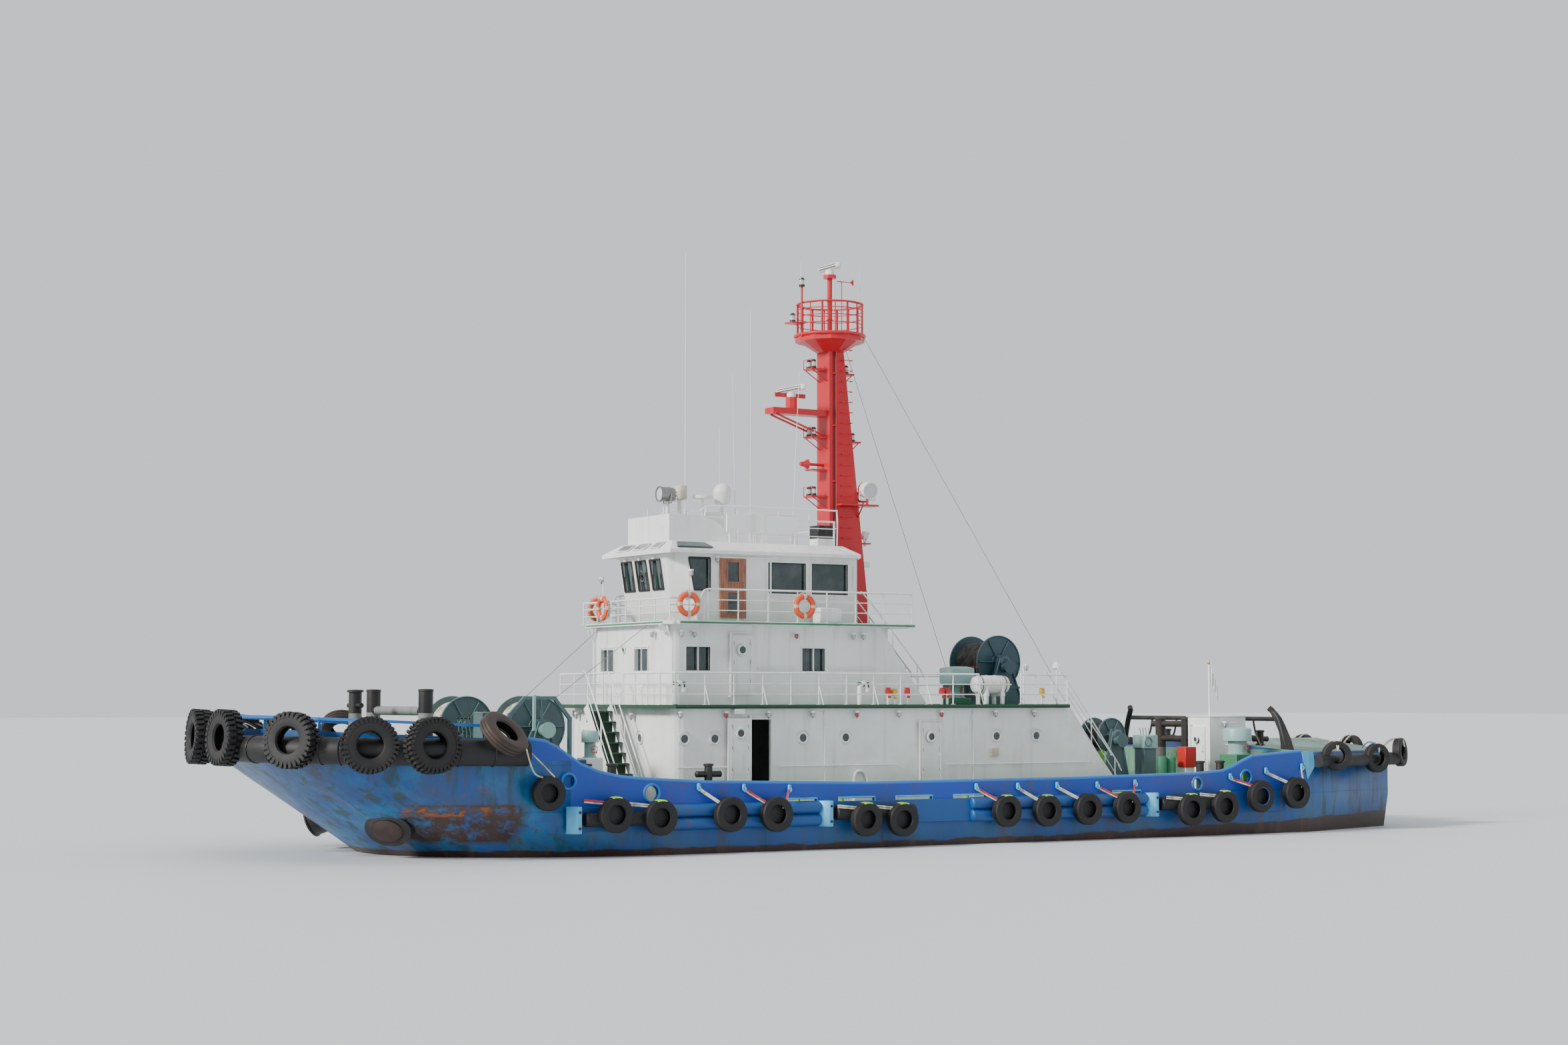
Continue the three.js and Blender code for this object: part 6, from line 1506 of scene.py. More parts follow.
def top_gear():
    """What stands on the wheelhouse top."""
    piece = Piece("top_gear", "white_paint")
    searchlight(piece, (6.05, 0.55, 9.5), AHEAD, 0.2, 0.545)
    for x, y, top, radius, sides in ROOF_POSTS:
        piece.rod((x, y, ROOF_TOP), (x, y, top), radius, sides=sides)
    # Covered box on the second post
    piece.box((5.6, 0.29, 9.35), (5.83, 0.87, 9.75), "canvas", 0.05, 2)
    # Flat round aerial, then a domed one on its base
    piece.turned([(0, 0.062), (0.24, 0.055), (0.27, 0.035), (0.27, -0.033), (0.2, -0.045), (0, -0.05)],
                 (5.1, 0.8, 9.44), UP, "plastic_white", 24)
    piece.ball((4.48, 0.8, 9.6), 0.25, "plastic_white", across=24, down=14)
    piece.turned([(0, -0.32), (0.196, -0.32), (0.212, -0.26), (0.24, -0.1), (0.25, 0)], (4.48, 0.8, 9.6), UP,
                 "plastic_white", 24)
    # Plate across the two thin posts
    piece.box((4.59, 0.86, 8.41), (5.09, 0.94, 9.05), bevel=0.006)
    # Board beside the rail, and its posts
    piece.box((2.355, 1.275, 8.485), (4.625, 1.33, 8.975), bevel=0.003)
    for x in (2.45, 3.5, 4.53):
        piece.rod((x, 1.302, ROOF_TOP - 0.05), (x, 1.302, 8.9), 0.026, sides=8)
    # Box with a black cover at the after end
    piece.box((0.85, 0.35, ROOF_TOP + 0.24), (1.4, 0.85, ROOF_TOP + 0.62), "black_paint", 0.02)
    piece.box((0.855, 0.355, ROOF_TOP), (1.395, 0.845, ROOF_TOP + 0.25))
    for side in SIDES:
        y = side * TOP_RAIL_Y
        # Low bars and the long hoop of the rail
        for z in (8.45, 8.68):
            piece.tube([(4.5, y, z), (1.075, y, z)], 0.014, sides=7)
        hoop = ((5.4, y, 9.0), (5.0, y, 9.18), (3.0, y, 9.2), (1.2, y, 9.2), (0.98, y, 9.1), (0.98, y, 8.2))
        piece.tube(smooth_path(hoop), 0.021, sides=8)
        for x in (1.9, 2.9, 4.2):
            piece.rod((x, y, ROOF_TOP), (x, y, 9.2), 0.018, sides=8)
    piece.tube([(0.98, TOP_RAIL_Y, 8.7), (0.98, -TOP_RAIL_Y, 8.7)], 0.014, sides=7)
    for x, y, top_x, top, radius in ROOF_WHIPS:
        whip(piece, (x, y, ROOF_TOP), (top_x, y, top), radius)
    for y in (0.9, 0.0):
        piece.rod((6.36, y, 8.92), (6.36, y, 9.12), 0.02, sides=8)
    piece.done()


def bridge_deck_gear():
    """Lamp posts, floodlights and boxes on the bridge deck, and the pipe along its edge."""
    piece = Piece("bridge_deck_gear", "green_paint")
    for side in SIDES:
        # Lamp on its post, and the floodlight under the deck
        piece.rod((6.45, side * 2.5, BRIDGE_DECK), (6.45, side * 2.5, 7.2), 0.022, "white_paint", sides=8)
        bulkhead_lamp(piece, (6.45, side * 2.5, 7.3), (0, side, 0))
        floodlight(piece, (7.0, side * 2.1, 5.83), (1, side * 0.4, -0.4), 0.17)
        # Pipe along the deck's edge
        edge = ((-0.68, 2.59, BRIDGE_EDGE), (6.75, 2.59, BRIDGE_EDGE), (7.08, 2.26, BRIDGE_EDGE))
        piece.tube(at_side(side, edge), 0.03, sides=8)
        piece.box((1.6, side * 2.0, BRIDGE_DECK), (2.3, side * 2.4, 6.42), "white_paint", 0.02)
    piece.tube([(7.08, 2.26, BRIDGE_EDGE), (7.08, -2.26, BRIDGE_EDGE)], 0.03, sides=8)
    piece.done()


class TUG_OT_wheelhouse(bpy.types.Operator):
    """Makes the fittings of the upper house, the wheelhouse and its top"""

    bl_idname = "tug.wheelhouse"
    bl_label = "Wheelhouse fittings"

    def execute(self, context):
        upper_fittings()
        wheelhouse_fittings()
        for name, side in NAMED_SIDES:
            sliding_door_gear(name, side)
        top_gear()
        bridge_deck_gear()
        return {"FINISHED"}


# Mast
MAST_AXIS = 0.475
MAST_SIDE = 0.34
PLATFORM = 14.35
PLATFORM_REACH = 1.0
MAST_FORE = 0.7
MAST_DEEP, MAST_SLIM, MAST_TOP = 1.36, 0.45, 14.15
MAST_SHELVES = (9.65, 11.35, 13.3)
MAST_CLAMPS = (7.2, 8.6, 10.1, 11.7, 13.2)
RUNGS = {"low": 6.4, "step": 0.3, "count": 26}
RAIL_REACH = 0.95
# Rings of the platform's rail: height over it, radius, points, sides
PLATFORM_RINGS = ((0.28, 0.014, 24, 6), (0.5, 0.014, 24, 6), (0.7, 0.014, 24, 6), (0.88, 0.026, 32, 8))


def mast_aft(z):
    """The X of the mast's aft face at a height."""
    return MAST_FORE - MAST_DEEP + (MAST_DEEP - MAST_SLIM) * (z - BRIDGE_DECK) / (MAST_TOP - BRIDGE_DECK)


def mast_lamp(piece, spot):
    """A navigation lamp: black cap and foot about a clear glass."""
    spot = Vector(spot)
    piece.rod(spot, spot + UP * 0.06, 0.085, "black_paint", sides=14)
    piece.rod(spot + UP * 0.06, spot + UP * 0.2, 0.068, "lamp_glass", sides=14)
    piece.rod(spot + UP * 0.2, spot + UP * 0.26, 0.085, "black_paint", tip=0.05, sides=14)


def mast_gear():
    piece = Piece("mast_gear", "mast_paint")
    for z in MAST_SHELVES:
        # Two lamps ahead behind a guard bar, and one astern
        for y in (-0.12, 0.12):
            mast_lamp(piece, (1.1, y, z + 0.05))
        guard = [(1.22, -0.22, z + 0.02), (1.22, -0.22, z + 0.3), (1.22, 0.22, z + 0.3),
                 (1.22, 0.22, z + 0.02)]
        piece.tube(guard, 0.012, sides=6)
        aft = mast_aft(z)
        mast_lamp(piece, (aft - 0.22, 0.0, z - 0.04))
        for y in (-0.2, 0.2):
            piece.rod((aft, y, z - 0.36), (aft - 0.3, y, z - 0.09), 0.016, sides=6)
            piece.rod((MAST_FORE, y, z - 0.3), (1.16, y, z), 0.016, sides=6)
    # Rungs up the port side
    for rung in range(RUNGS["count"]):
        z = RUNGS["low"] + RUNGS["step"] * rung
        out = MAST_SIDE + 0.13
        piece.tube([(0.3, MAST_SIDE, z), (0.3, out, z), (0.0, out, z), (0.0, MAST_SIDE, z)], 0.012, sides=6)
    # Cable pipes beside the rungs, and their clamps
    for x, y, radius, look, sides in ((0.5, 0.03, 0.026, "mast_paint", 8),
                                      (0.56, 0.025, 0.014, "black_paint", 6)):
        piece.tube([(x, MAST_SIDE + y, 6.1), (x, MAST_SIDE + y, 14.1)], radius, look, sides)
    for z in MAST_CLAMPS:
        piece.box((0.44, MAST_SIDE, z), (0.6, MAST_SIDE + 0.05, z + 0.04))
    # Horn on its arm
    piece.turned([(0.0, 0.22), (0.06, 0.22), (0.08, 0.1), (0.14, 0.0), (0.145, -0.02), (0, -0.02)],
                 (1.25, 0, 10.6), AHEAD, steps=20)
    piece.rod((0.7, 0, 10.6), (1.25, 0, 10.6), 0.04)
    piece.box((0.7, -0.2, 10.42), (1.2, 0.2, 10.46))
    # Large searchlight to port, a small one astern on its shelf, and a box below
    searchlight(piece, (-0.5, 0.45, 9.9), (0, 1, -0.1875), 0.235, 0.38, "white_trim")
    piece.rod((-0.25, 0.25, 9.0), (-0.25, 0.6, 9.42), 0.02, sides=6)
    shelf, bracket = mast_aft(8.4), mast_aft(7.7)
    piece.box((shelf - 0.4, -0.2, 8.36), (shelf, 0.2, 8.4))
    searchlight(piece, (shelf - 0.28, 0.05, 8.62), (-0.7, 0.6, -0.3), 0.13, 0.2, "white_trim")
    piece.box((bracket - 0.3, 0.0, 7.7), (bracket - 0.08, 0.18, 7.86), "white_trim", 0.01)
    piece.rod((bracket, 0.1, 7.78), (bracket - 0.15, 0.1, 7.78), 0.02, sides=6)
    # Struts under the middle radar's arm
    for y in (-0.16, 0.16):
        piece.rod((0.7, y, 11.4), (2.35, y, 11.97), 0.03, sides=8)
    piece.box((1.2, -0.2, 12.5), (2.2, -0.16, 12.62))
    piece.done()


def mast_head():
    """The platform's rail and the aerials, lamp and wind vane on it."""
    head = Piece("mast_head", "mast_paint")
    for z, radius, count, sides in PLATFORM_RINGS:
        head.tube(round_points((MAST_AXIS, 0, PLATFORM + z), RAIL_REACH, count), radius, sides=sides,
                  closed=True)
    head.ring((MAST_AXIS, 0, PLATFORM - 0.03), UP, PLATFORM_REACH, 0.045, steps=40, sides=8)
    for spot in round_points((MAST_AXIS, 0, PLATFORM), RAIL_REACH, 8, 0.5):
        head.rod(spot, spot + UP * 0.88, 0.018, sides=7)
    # Lamp on its pole ahead of the platform, and one on a shelf
    pole = Vector((MAST_AXIS + PLATFORM_REACH, 0.1, PLATFORM))
    head.rod(pole - UP * 0.1, pole + UP * 1.32, 0.03, sides=8)
    mast_lamp(head, pole + UP * 1.32)
    whip(head, pole + Vector((0.06, 0.04, 1.45)), pole + Vector((0.06, 0.04, 2.05)), 0.01)
    head.box((MAST_AXIS + 0.95, -0.2, 14.6), (MAST_AXIS + 1.4, 0.2, 14.64))
    mast_lamp(head, (MAST_AXIS + 1.25, 0, 14.64))
    for x, y, foot, top in ((-0.97, 0.1, 0.7, 2.0), (-0.5, -0.6, 0.0, 1.95)):
        spot = Vector((MAST_AXIS + x, y, PLATFORM))
        whip(head, spot + UP * foot, spot + UP * top, 0.012)
    # Wind vane
    vane = Vector((MAST_AXIS - 0.25, 0.25, PLATFORM + 1.55))
    head.rod((vane.x, vane.y, PLATFORM), vane, 0.014, sides=7)
    head.rod(vane + AHEAD * 0.16, vane - AHEAD * 0.3, 0.016, tip=0.01, sides=7)
    fin = [vane + Vector((x, 0, z)) for x, z in ((-0.28, 0.0), (-0.4, 0.1), (-0.4, -0.1))]
    head.plate(fin, (0, 0.008, 0))
    for z in (0.45, 1.0):
        head.ring((MAST_AXIS, 0, PLATFORM + z), UP, 0.085, 0.016, steps=18, sides=6)
    head.done()


def stays():
    """Wires from the platform to the boat deck and from the bridge deck to the foredeck."""
    piece = Piece("stays", "bare_steel")
    for side in SIDES:
        piece.rod((MAST_AXIS - 0.8, side * 0.55, PLATFORM - 0.05), (-5.4, side * 2.6, BOAT_DECK + 0.9), 0.008,
                  sides=5)
        piece.rod((7.02, side * 1.4, BRIDGE_DECK - 0.05), (9.9, side * 0.9, 3.72), 0.009, sides=5)
    piece.done()


def scanner(name):
    """A radar scanner: a turning unit under a long bar with rounded ends."""
    low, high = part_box(name)
    piece = Piece(name + "_shell", "plastic_white")
    centre = (low + high) / 2
    half = high.y - centre.y
    piece.turned([(0.0, 0.0), (0.13, 0.0), (0.13, 0.1), (0.1, 0.145), (0, 0.145)],
                 (centre.x, centre.y, low.z), UP, steps=20)
    bar, arm = 0.09, low.z + 0.235
    for side in SIDES:
        piece.ball((centre.x, centre.y + side * (half - bar), arm), bar, stretch=(0.98, 1, 1), across=14,
                   down=10)
    piece.rod((centre.x, low.y + bar, arm), (centre.x, high.y - bar, arm), bar, sides=20)
    piece.box((centre.x + 0.076, low.y + 0.1, low.z + 0.19), (centre.x + 0.087, high.y - 0.1, low.z + 0.28),
              "black_paint")
    piece.done(name, replaces=(name,))


class TUG_OT_mast(bpy.types.Operator):
    """Makes the mast's lamps, rungs, platform rail, aerials, scanners and stays"""

    bl_idname = "tug.mast"
    bl_label = "Mast fittings"

    def execute(self, context):
        mast_gear()
        mast_head()
        for name in ("radar_mid", "radar_top"):
            scanner(name)
        stays()
        return {"FINISHED"}


# Deck gear
WINCH = {"fore_x": 10.95, "fore_z": 3.22, "tow_x": -4.85, "tow_z": 5.0, "aft_x": -8.7, "aft_z": 2.84}
# Winches abaft the house: name, Y limits of the side frames, deck, half the foot, finish
AFTER_WINCHES = (("tow", -0.8, 1.0, BOAT_DECK, 0.65, "winch_dark"),
                 ("aft", 0.13, 1.35, MAIN_DECK, 0.56, "winch_paint"))
# Drums: CAD node, winch, Y limits, radii of the flange, core and rope, finishes of the steel and the rope
DRUMS = (("fore_drum_port", "fore", 1.7, 2.7, 0.783, 0.423, 0.6, "winch_paint", "white_rope"),
         ("fore_drum_starboard", "fore", -2.7, -1.7, 0.783, 0.423, 0.6, "winch_paint", "white_rope"),
         ("tow_drum", "tow", -0.6, 0.8, 0.78, 0.42, 0.55, "winch_dark", "dark_rope"),
         ("aft_drum", "aft", 0.33, 1.2, 0.52, 0.26, 0.34, "winch_paint", "dark_rope"))
# Side bitts: X, Y, foot, top, half the arm's length or 0
BITTS = ((10.3, 4.2, MAIN_DECK, 2.3, 0), (9.59, 4.2, MAIN_DECK, 2.3, 0), (-9.56, 4.2, MAIN_DECK, 2.12, 0),
         (-10.31, 4.2, MAIN_DECK, 2.12, 0), (6.86, 4.3, MAIN_DECK, 2.26, 0.34),
         (-13.65, 2.2, STERN_DECK, 2.96, 0.27))
HYDRANT_Y = 3.0
# Hydrants: X, top, finish of the cap
HYDRANTS = ((0.48, 4.15, "red_paint"), (0.28, 4.12, "yellow_paint"), (-0.15, 4.15, "red_paint"),
            (-1.31, 4.15, "red_paint"), (-1.49, 4.15, "red_paint"), (-4.77, 4.15, "yellow_paint"))
# End bitts: CAD node, X, half the span, foot, top, heights of the bars, radius,
# how far the bars pass, worn share
END_BITTS = (("fore_bitts", 13.6, 1.75, FORE_DECK, 4.17, (3.62,), 0.186, 0.0, (0.4, 0.66)),
             ("aft_bitts", -12.07, 0.62, MAIN_DECK, 3.33, (2.7, 3.15), 0.161, 0.35, (0.2, 0.6)))
TOW_FIN = ((-13.47, 3.98, 2.22), (-13.33, 3.92, 2.75), (-13.29, 3.74, 3.12), (-13.25, 3.62, 3.36),
           (-13.15, 3.34, 3.68), (-13.04, 3.26, 3.64), (-13.09, 3.5, 3.24), (-13.13, 3.62, 2.95),
           (-13.13, 3.7, 2.6), (-13.1, 3.74, 2.22))
TOW_SPINE = ((-13.26, 3.88, 2.2), (-13.2, 3.74, 2.8), (-13.17, 3.56, 3.32), (-13.1, 3.38, 3.55),
             (-13.02, 3.3, 3.66))
BOAT_EDGE_AFT = -5.6
# Ventilators: CAD node, X, Y, deck, half the seat, radii of stem and head, heights of the seat's top and the
# head's foot and top, finish of the seat
VENTS = (("boat_vent", -2.8, 1.6, BOAT_DECK, 0.3, 0.205, 0.5, (3.95, 4.34, 4.84), "green_paint"),
         ("aft_vent", -11.6, 3.5, MAIN_DECK, 0.38, 0.28, 0.42, (2.29, 2.68, 3.07), "green_paint"),
         ("fore_vent", 9.1, 2.0, MAIN_DECK, 0.26, 0.15, 0.23, (2.4, 2.8, 3.1), "white_paint"))
BOLSTER = {"x": 14.82, "y": 2.54, "z": 0.77, "out": (0.76, 0.54, -0.36), "radius": 0.4, "stretch": 1.55,
           "roll": 10}
FLAG = {"x": -11.56, "y": 2.3, "top": 4.9, "hoist": 0.45, "fly": 0.5, "droop": 0.62}


def drum(node, x, z, y0, y1, flange, core, rope, look, rope_look):
    """A winch drum: ribbed flanges, and rope laid on in turns between them."""
    piece = Piece(node + "_shell")
    width = y1 - y0
    thick = 0.045
    steel = [(0, 0), (flange * 0.28, 0), (flange * 0.3, 0.02), (flange - 0.04, 0.012), (flange, 0),
             (flange, thick), (core, thick)]
    piece.turned(steel, (x, y0, z), PORT, look, 48)
    piece.turned([(r, width - a) for r, a in steel], (x, y0, z), PORT, look, 48)
    turns = max(6, round((width - 2 * thick) / 0.075))
    pitch = (width - 2 * thick) / turns
    wound = [(core, thick)]
    for i in range(turns):
        wound += [(rope + pitch * 0.12, thick + pitch * (i + 0.08)),
                  (rope + pitch * 0.42, thick + pitch * (i + 0.3)),
                  (rope + pitch * 0.42, thick + pitch * (i + 0.7)),
                  (rope + pitch * 0.12, thick + pitch * (i + 0.92))]
    piece.turned(wound + [(core, width - thick)], (x, y0, z), PORT, rope_look, 40)
    for side, y in ((-1, y0), (1, y1)):
        for along, rise, _ in round_points((0, 0, 0), flange, 6):
            spoke = Vector((along, 0, rise))
            hub = Vector((x, y + side * 0.012, z))
            piece.rod(hub + spoke * 0.22, hub + spoke * 0.9, 0.022, look, sides=8)
        piece.ring((x, y + side * 0.004, z), PORT, flange - 0.02, 0.02, look, 48, 8)
        piece.rod((x, y, z), (x, y + side * 0.11, z), 0.13, look, sides=20)
    low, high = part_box(node)
    piece.rod((x, low.y, z), (x, high.y, z), 0.078, "bare_steel", sides=16)
    piece.done(node, replaces=(node,))


def warping_head(piece, x, y, z, side, reach, look):
    """A warping head: a waisted drum on the end of its shaft."""
    profile = [(0, 0), (0.15, 0), (0.16, reach * 0.1), (0.125, reach * 0.4), (0.13, reach * 0.62),
               (0.19, reach * 0.9), (0.205, reach * 0.95), (0.205, reach + 0.002), (0, reach + 0.002)]
    piece.turned([(r, side * a) for r, a in profile], (x, y, z), PORT, look, 28)


def lever(piece, foot, lean, height, radius, look, knob, knob_look):
    """A control lever that leans ahead, with a round knob."""
    foot = Vector(foot)
    piece.rod(foot, foot + Vector((lean, 0, height)), radius, look, sides=8)
    piece.ball(foot + Vector((lean, 0, height + 0.02)), knob, knob_look, across=10, down=6)


def winch_beds():
    piece = Piece("winch_gear", "winch_paint")
    x, z = WINCH["fore_x"], WINCH["fore_z"]
    for side in SIDES:
        warping_head(piece, x, side * 3.03, z - 0.08, side, 0.33, "vent_paint")
        # Collars of the shaft, control levers, the side frame's legs and a motor
        for y in (2.93, 3.05):
            piece.turned([(0.08, -0.01), (0.16, -0.01), (0.17, 0.0), (0.16, 0.012), (0.08, 0.012)],
                         (x, side * y, z), PORT, steps=24)
        for y in (0.45, 0.7, 0.95, 1.2):
            lever(piece, (x + 0.38, side * y, FORE_DECK), 0.1, 1.0, 0.016, "winch_paint", 0.035,
                  "black_paint")
        for end in SIDES:
            piece.rod((x + end * 0.42, side * 3.045, FORE_DECK), (x + end * 0.1, side * 3.045, z + 0.12),
                      0.035)
        piece.rod((x - 0.3, side * 0.31, z + 0.1), (x - 0.3, side * 0.62, z + 0.1), 0.16, sides=20)
    # Bolted cover between the two drums
    piece.box((x - 0.44, -0.31, z + 0.3), (x + 0.44, 0.31, z + 0.36), bevel=0.02)
    for bolt_x in (x - 0.36, x + 0.36):
        for y in (-0.24, 0.24):
            piece.rod((bolt_x, y, z + 0.35), (bolt_x, y, z + 0.385), 0.022, "bare_steel", sides=6)
    # Thin post at the port end
    piece.box((11.25, 3.2, 3.12), (11.33, 3.26, 4.03), "vent_paint", 0.01)
    after_winches(piece)
    piece.done()
    drums()


def after_winches(piece):
    """The side frames, motors and levers of the tow winch and the aft winch."""
    for name, y0, y1, low, foot, look in AFTER_WINCHES:
        x, z = WINCH[name + "_x"], WINCH[name + "_z"]
        warping_head(piece, x, y1 + 0.08, z - 0.15, 1, 0.305, look)
        for y, side in ((y0 - 0.08, -1), (y1 + 0.08, 1)):
            # Legs, cross bar and hub of a side frame
            rib = y + side * 0.014
            for end in SIDES:
                piece.rod((x + end * (foot - 0.05), rib, low + 0.12), (x + end * 0.14, rib, z + 0.1), 0.03,
                          look, sides=8)
            piece.box((x - foot + 0.1, y, low + 0.45), (x + foot - 0.1, y + side * 0.03, low + 0.52), look)
            hub = [(0, 0.0), (0.17, 0.0), (0.17, side * 0.05), (0.12, side * 0.09), (0, side * 0.09)]
            piece.turned(hub, (x, y, z), PORT, look, 24)
        # Gear case and motor
        piece.box((x + foot - 0.12, y0 - 0.05, low), (x + foot + 0.22, y0 + 0.45, low + 0.62), look, 0.03)
        motor_x, motor_z = x + foot + 0.05, low + 0.42
        piece.rod((motor_x, y0 + 0.45, motor_z), (motor_x, y0 + 0.9, motor_z), 0.13, look, sides=20)
        for i in range(3):
            spot = (x + foot + 0.12, y1 - 0.15 - 0.14 * i, low + 0.1)
            lever(piece, spot, 0.06, 0.95, 0.015, look, 0.032, "red_paint")


def drums():
    for node, winch, y0, y1, flange, core, rope, look, rope_look in DRUMS:
        drum(node, WINCH[winch + "_x"], WINCH[winch + "_z"], y0, y1, flange, core, rope, look, rope_look)


def post(piece, foot, top, radius, worn=(0.3, 0.62), brim=1.28):
    """A bitt post: a pipe with a capped head, its middle rubbed bare by ropes."""
    foot = Vector(foot)
    height = top - foot.z
    cap = radius * brim
    low, high = (height * share for share in worn)
    piece.turned([(radius, 0), (radius, low)], foot, UP, "black_paint", 24)
    piece.turned([(radius, low), (radius, high)], foot, UP, "worn_steel", 24)
    piece.turned([(radius, high), (radius, height - 0.06), (cap, height - 0.055), (cap, height - 0.01),
                  (cap - 0.02, height + 0.004), (0, height + 0.012)], foot, UP, "black_paint", 24)
    piece.turned([(radius + 0.05, 0.0), (radius + 0.05, 0.02), (radius, 0.025)], foot, UP, "black_paint", 24)


def side_bitts():
    piece = Piece("side_bitts", "black_paint")
    for x, y, low, top, arm in BITTS:
        for side in SIDES:
            camber = 0.33 * (1 - y / HULL_SIDE) if low == STERN_DECK else 0
            post(piece, (x, side * y, low + camber), top + 0.004, 0.104 if arm else 0.115, (0.1, 0.12))
            # Cross arm with rounded ends
            if arm:
                z = top - 0.26
                piece.rod((x - arm, side * y, z), (x + arm, side * y, z), 0.08, sides=18)
                for end in SIDES:
                    piece.ball((x + end * arm, side * y, z), 0.085, stretch=(0.5, 1, 1), across=16, down=8)
    # Bars between the paired posts
    for x0, x1, z in ((9.62, 10.27, 1.92), (-10.28, -9.59, 1.72)):
        for side in SIDES:
            piece.rod((x0, side * 4.2, z), (x1, side * 4.2, z), 0.07, sides=18)
    # Single post at the stem with its short arm
    post(piece, (14.8, 0, FORE_DECK), 4.154, 0.167, (0.4, 0.66))
    piece.rod((14.8, -0.43, 3.76), (14.8, 0.43, 3.76), 0.066)
    piece.done()


def end_bitts():
    """The large bitts ahead and aft: two posts and their cross bars."""
    for node, x, half, low, top, bars, radius, past, worn in END_BITTS:
        piece = Piece(node + "_shell", "black_paint")
        for side in SIDES:
            post(piece, (x, side * half, low), top, radius, worn, 1.06)
        for z in bars:
            piece.rod((x, -half - past, z), (x, half + past, z), radius * 0.6, sides=20)
            if past:
                for side in SIDES:
                    piece.ball((x, side * (half + past), z), radius * 0.64, stretch=(1, 0.4, 1), across=16,
                               down=8)
            else:
                piece.rod((x, -half + 0.3, z), (x, half - 0.3, z), radius * 0.61, "worn_steel", sides=20)
        piece.done(replaces=(node,))


def tow_bow():
    """The arch over the aft deck that keeps the tow rope off the gear."""
    bow = Piece("tow_bow_shell", "black_paint")
    bow.rod((-13.2, -3.56, 3.32), (-13.2, 3.56, 3.32), 0.068, sides=20)
    for side in SIDES:
        bow.plate(at_side(side, TOW_FIN), (0.06, side * 0.05, 0), bevel=0.012)
        bow.tube(smooth_path(at_side(side, TOW_SPINE), 5), 0.085, sides=12)
        for y in (1.2, 2.4):
            leg = ((-13.2, y, 3.3), (-13.2, y + 0.1, 2.9), (-13.2, y + 0.35, 2.5))
            bow.tube(smooth_path(at_side(side, leg)), 0.03, sides=8)
    bow.done(replaces=("tow_bow",))


def vent(node, x, y, low, seat, stem, head, heights, seat_look):
    """A mushroom ventilator with a handwheel on its seat."""
    seat_top, head_low, head_top = heights
    piece = Piece(node + "_shell", "vent_paint")
    piece.box((x - seat, y - seat, low), (x + seat, y + seat, seat_top), seat_look, 0.02)
    tall = head_top - head_low
    piece.turned([(stem + 0.04, seat_top), (stem + 0.04, seat_top + 0.03), (stem, seat_top + 0.035),
                  (stem, head_low + 0.04)], (x, y, 0), UP, steps=32)
    brim = head_top - tall * 0.14
    dome = [(head, brim), (head - 0.02, brim + 0.03), (head * 0.6, head_top + 0.006), (0, head_top + 0.014)]
    piece.turned([(stem, head_low + 0.04), (head - 0.04, head_low + 0.04), (head - 0.02, head_low),
                  (head, head_low)] + dome, (x, y, 0), UP, steps=36)
    piece.ring((x, y, head_low + 0.01), UP, head - 0.008, 0.014, steps=36, sides=6)
    piece.ring((x, y + stem + 0.1, seat_top + 0.22), PORT, 0.09, 0.011, "red_paint", 22, 6)
    piece.rod((x, y + stem, seat_top + 0.22), (x, y + stem + 0.1, seat_top + 0.22), 0.012, "bare_steel",
              sides=6)
    piece.done(replaces=(node,))


def boat_deck_gear():
    piece = Piece("boat_deck_gear", "white_paint")
    # Hydrants: pipe, valve cap, handwheel and outlet
    for x, top, look in HYDRANTS:
        piece.rod((x, HYDRANT_Y, BOAT_DECK), (x, HYDRANT_Y, top - 0.04), 0.038)
        piece.rod((x, HYDRANT_Y, top - 0.1), (x, HYDRANT_Y, top + 0.03), 0.085, look, sides=18)
        piece.ball((x, HYDRANT_Y, top + 0.03), 0.084, look, (1, 1, 0.45), 18, 8)
        piece.ring((x, HYDRANT_Y, top + 0.075), UP, 0.075, 0.013, look, 20, 6)
        piece.rod((x, HYDRANT_Y, top - 0.17), (x, HYDRANT_Y + 0.12, top - 0.17), 0.03, look)
    # Goosenecks
    for x, y in ((7.0, 2.75), (1.31, 2.85)):
        neck = ((0, BOAT_DECK), (0, 4.2), (0.03, 4.3), (0.115, 4.345), (0.2, 4.3), (0.23, 4.12))
        piece.tube(smooth_path([(x - back, y, z) for back, z in neck]), 0.068, sides=14)
        piece.turned([(0.07, 0.1), (0.085, 0.02), (0.085, -0.02)], (x - 0.23, y, 4.13), UP, steps=18)
    # Floodlight and lamp, each on its post
    piece.rod((-5.33, 2.95, BOAT_DECK), (-5.33, 2.95, 4.72), 0.025, sides=8)
    floodlight(piece, (-5.33, 2.95, 4.87), (-1, 0.2, -0.35), 0.19)
    piece.rod((-4.17, 2.95, BOAT_DECK), (-4.17, 2.95, 4.82), 0.022, sides=8)
    bulkhead_lamp(piece, (-4.17, 2.95, 4.86), PORT)
    for side in SIDES:
        # Pipe along the deck's edge
        piece.tube([(BOAT_EDGE_AFT, side * 3.16, 3.72), (7.2, side * 3.16, 3.72)], 0.032, "dark_green", 8)
    piece.done()


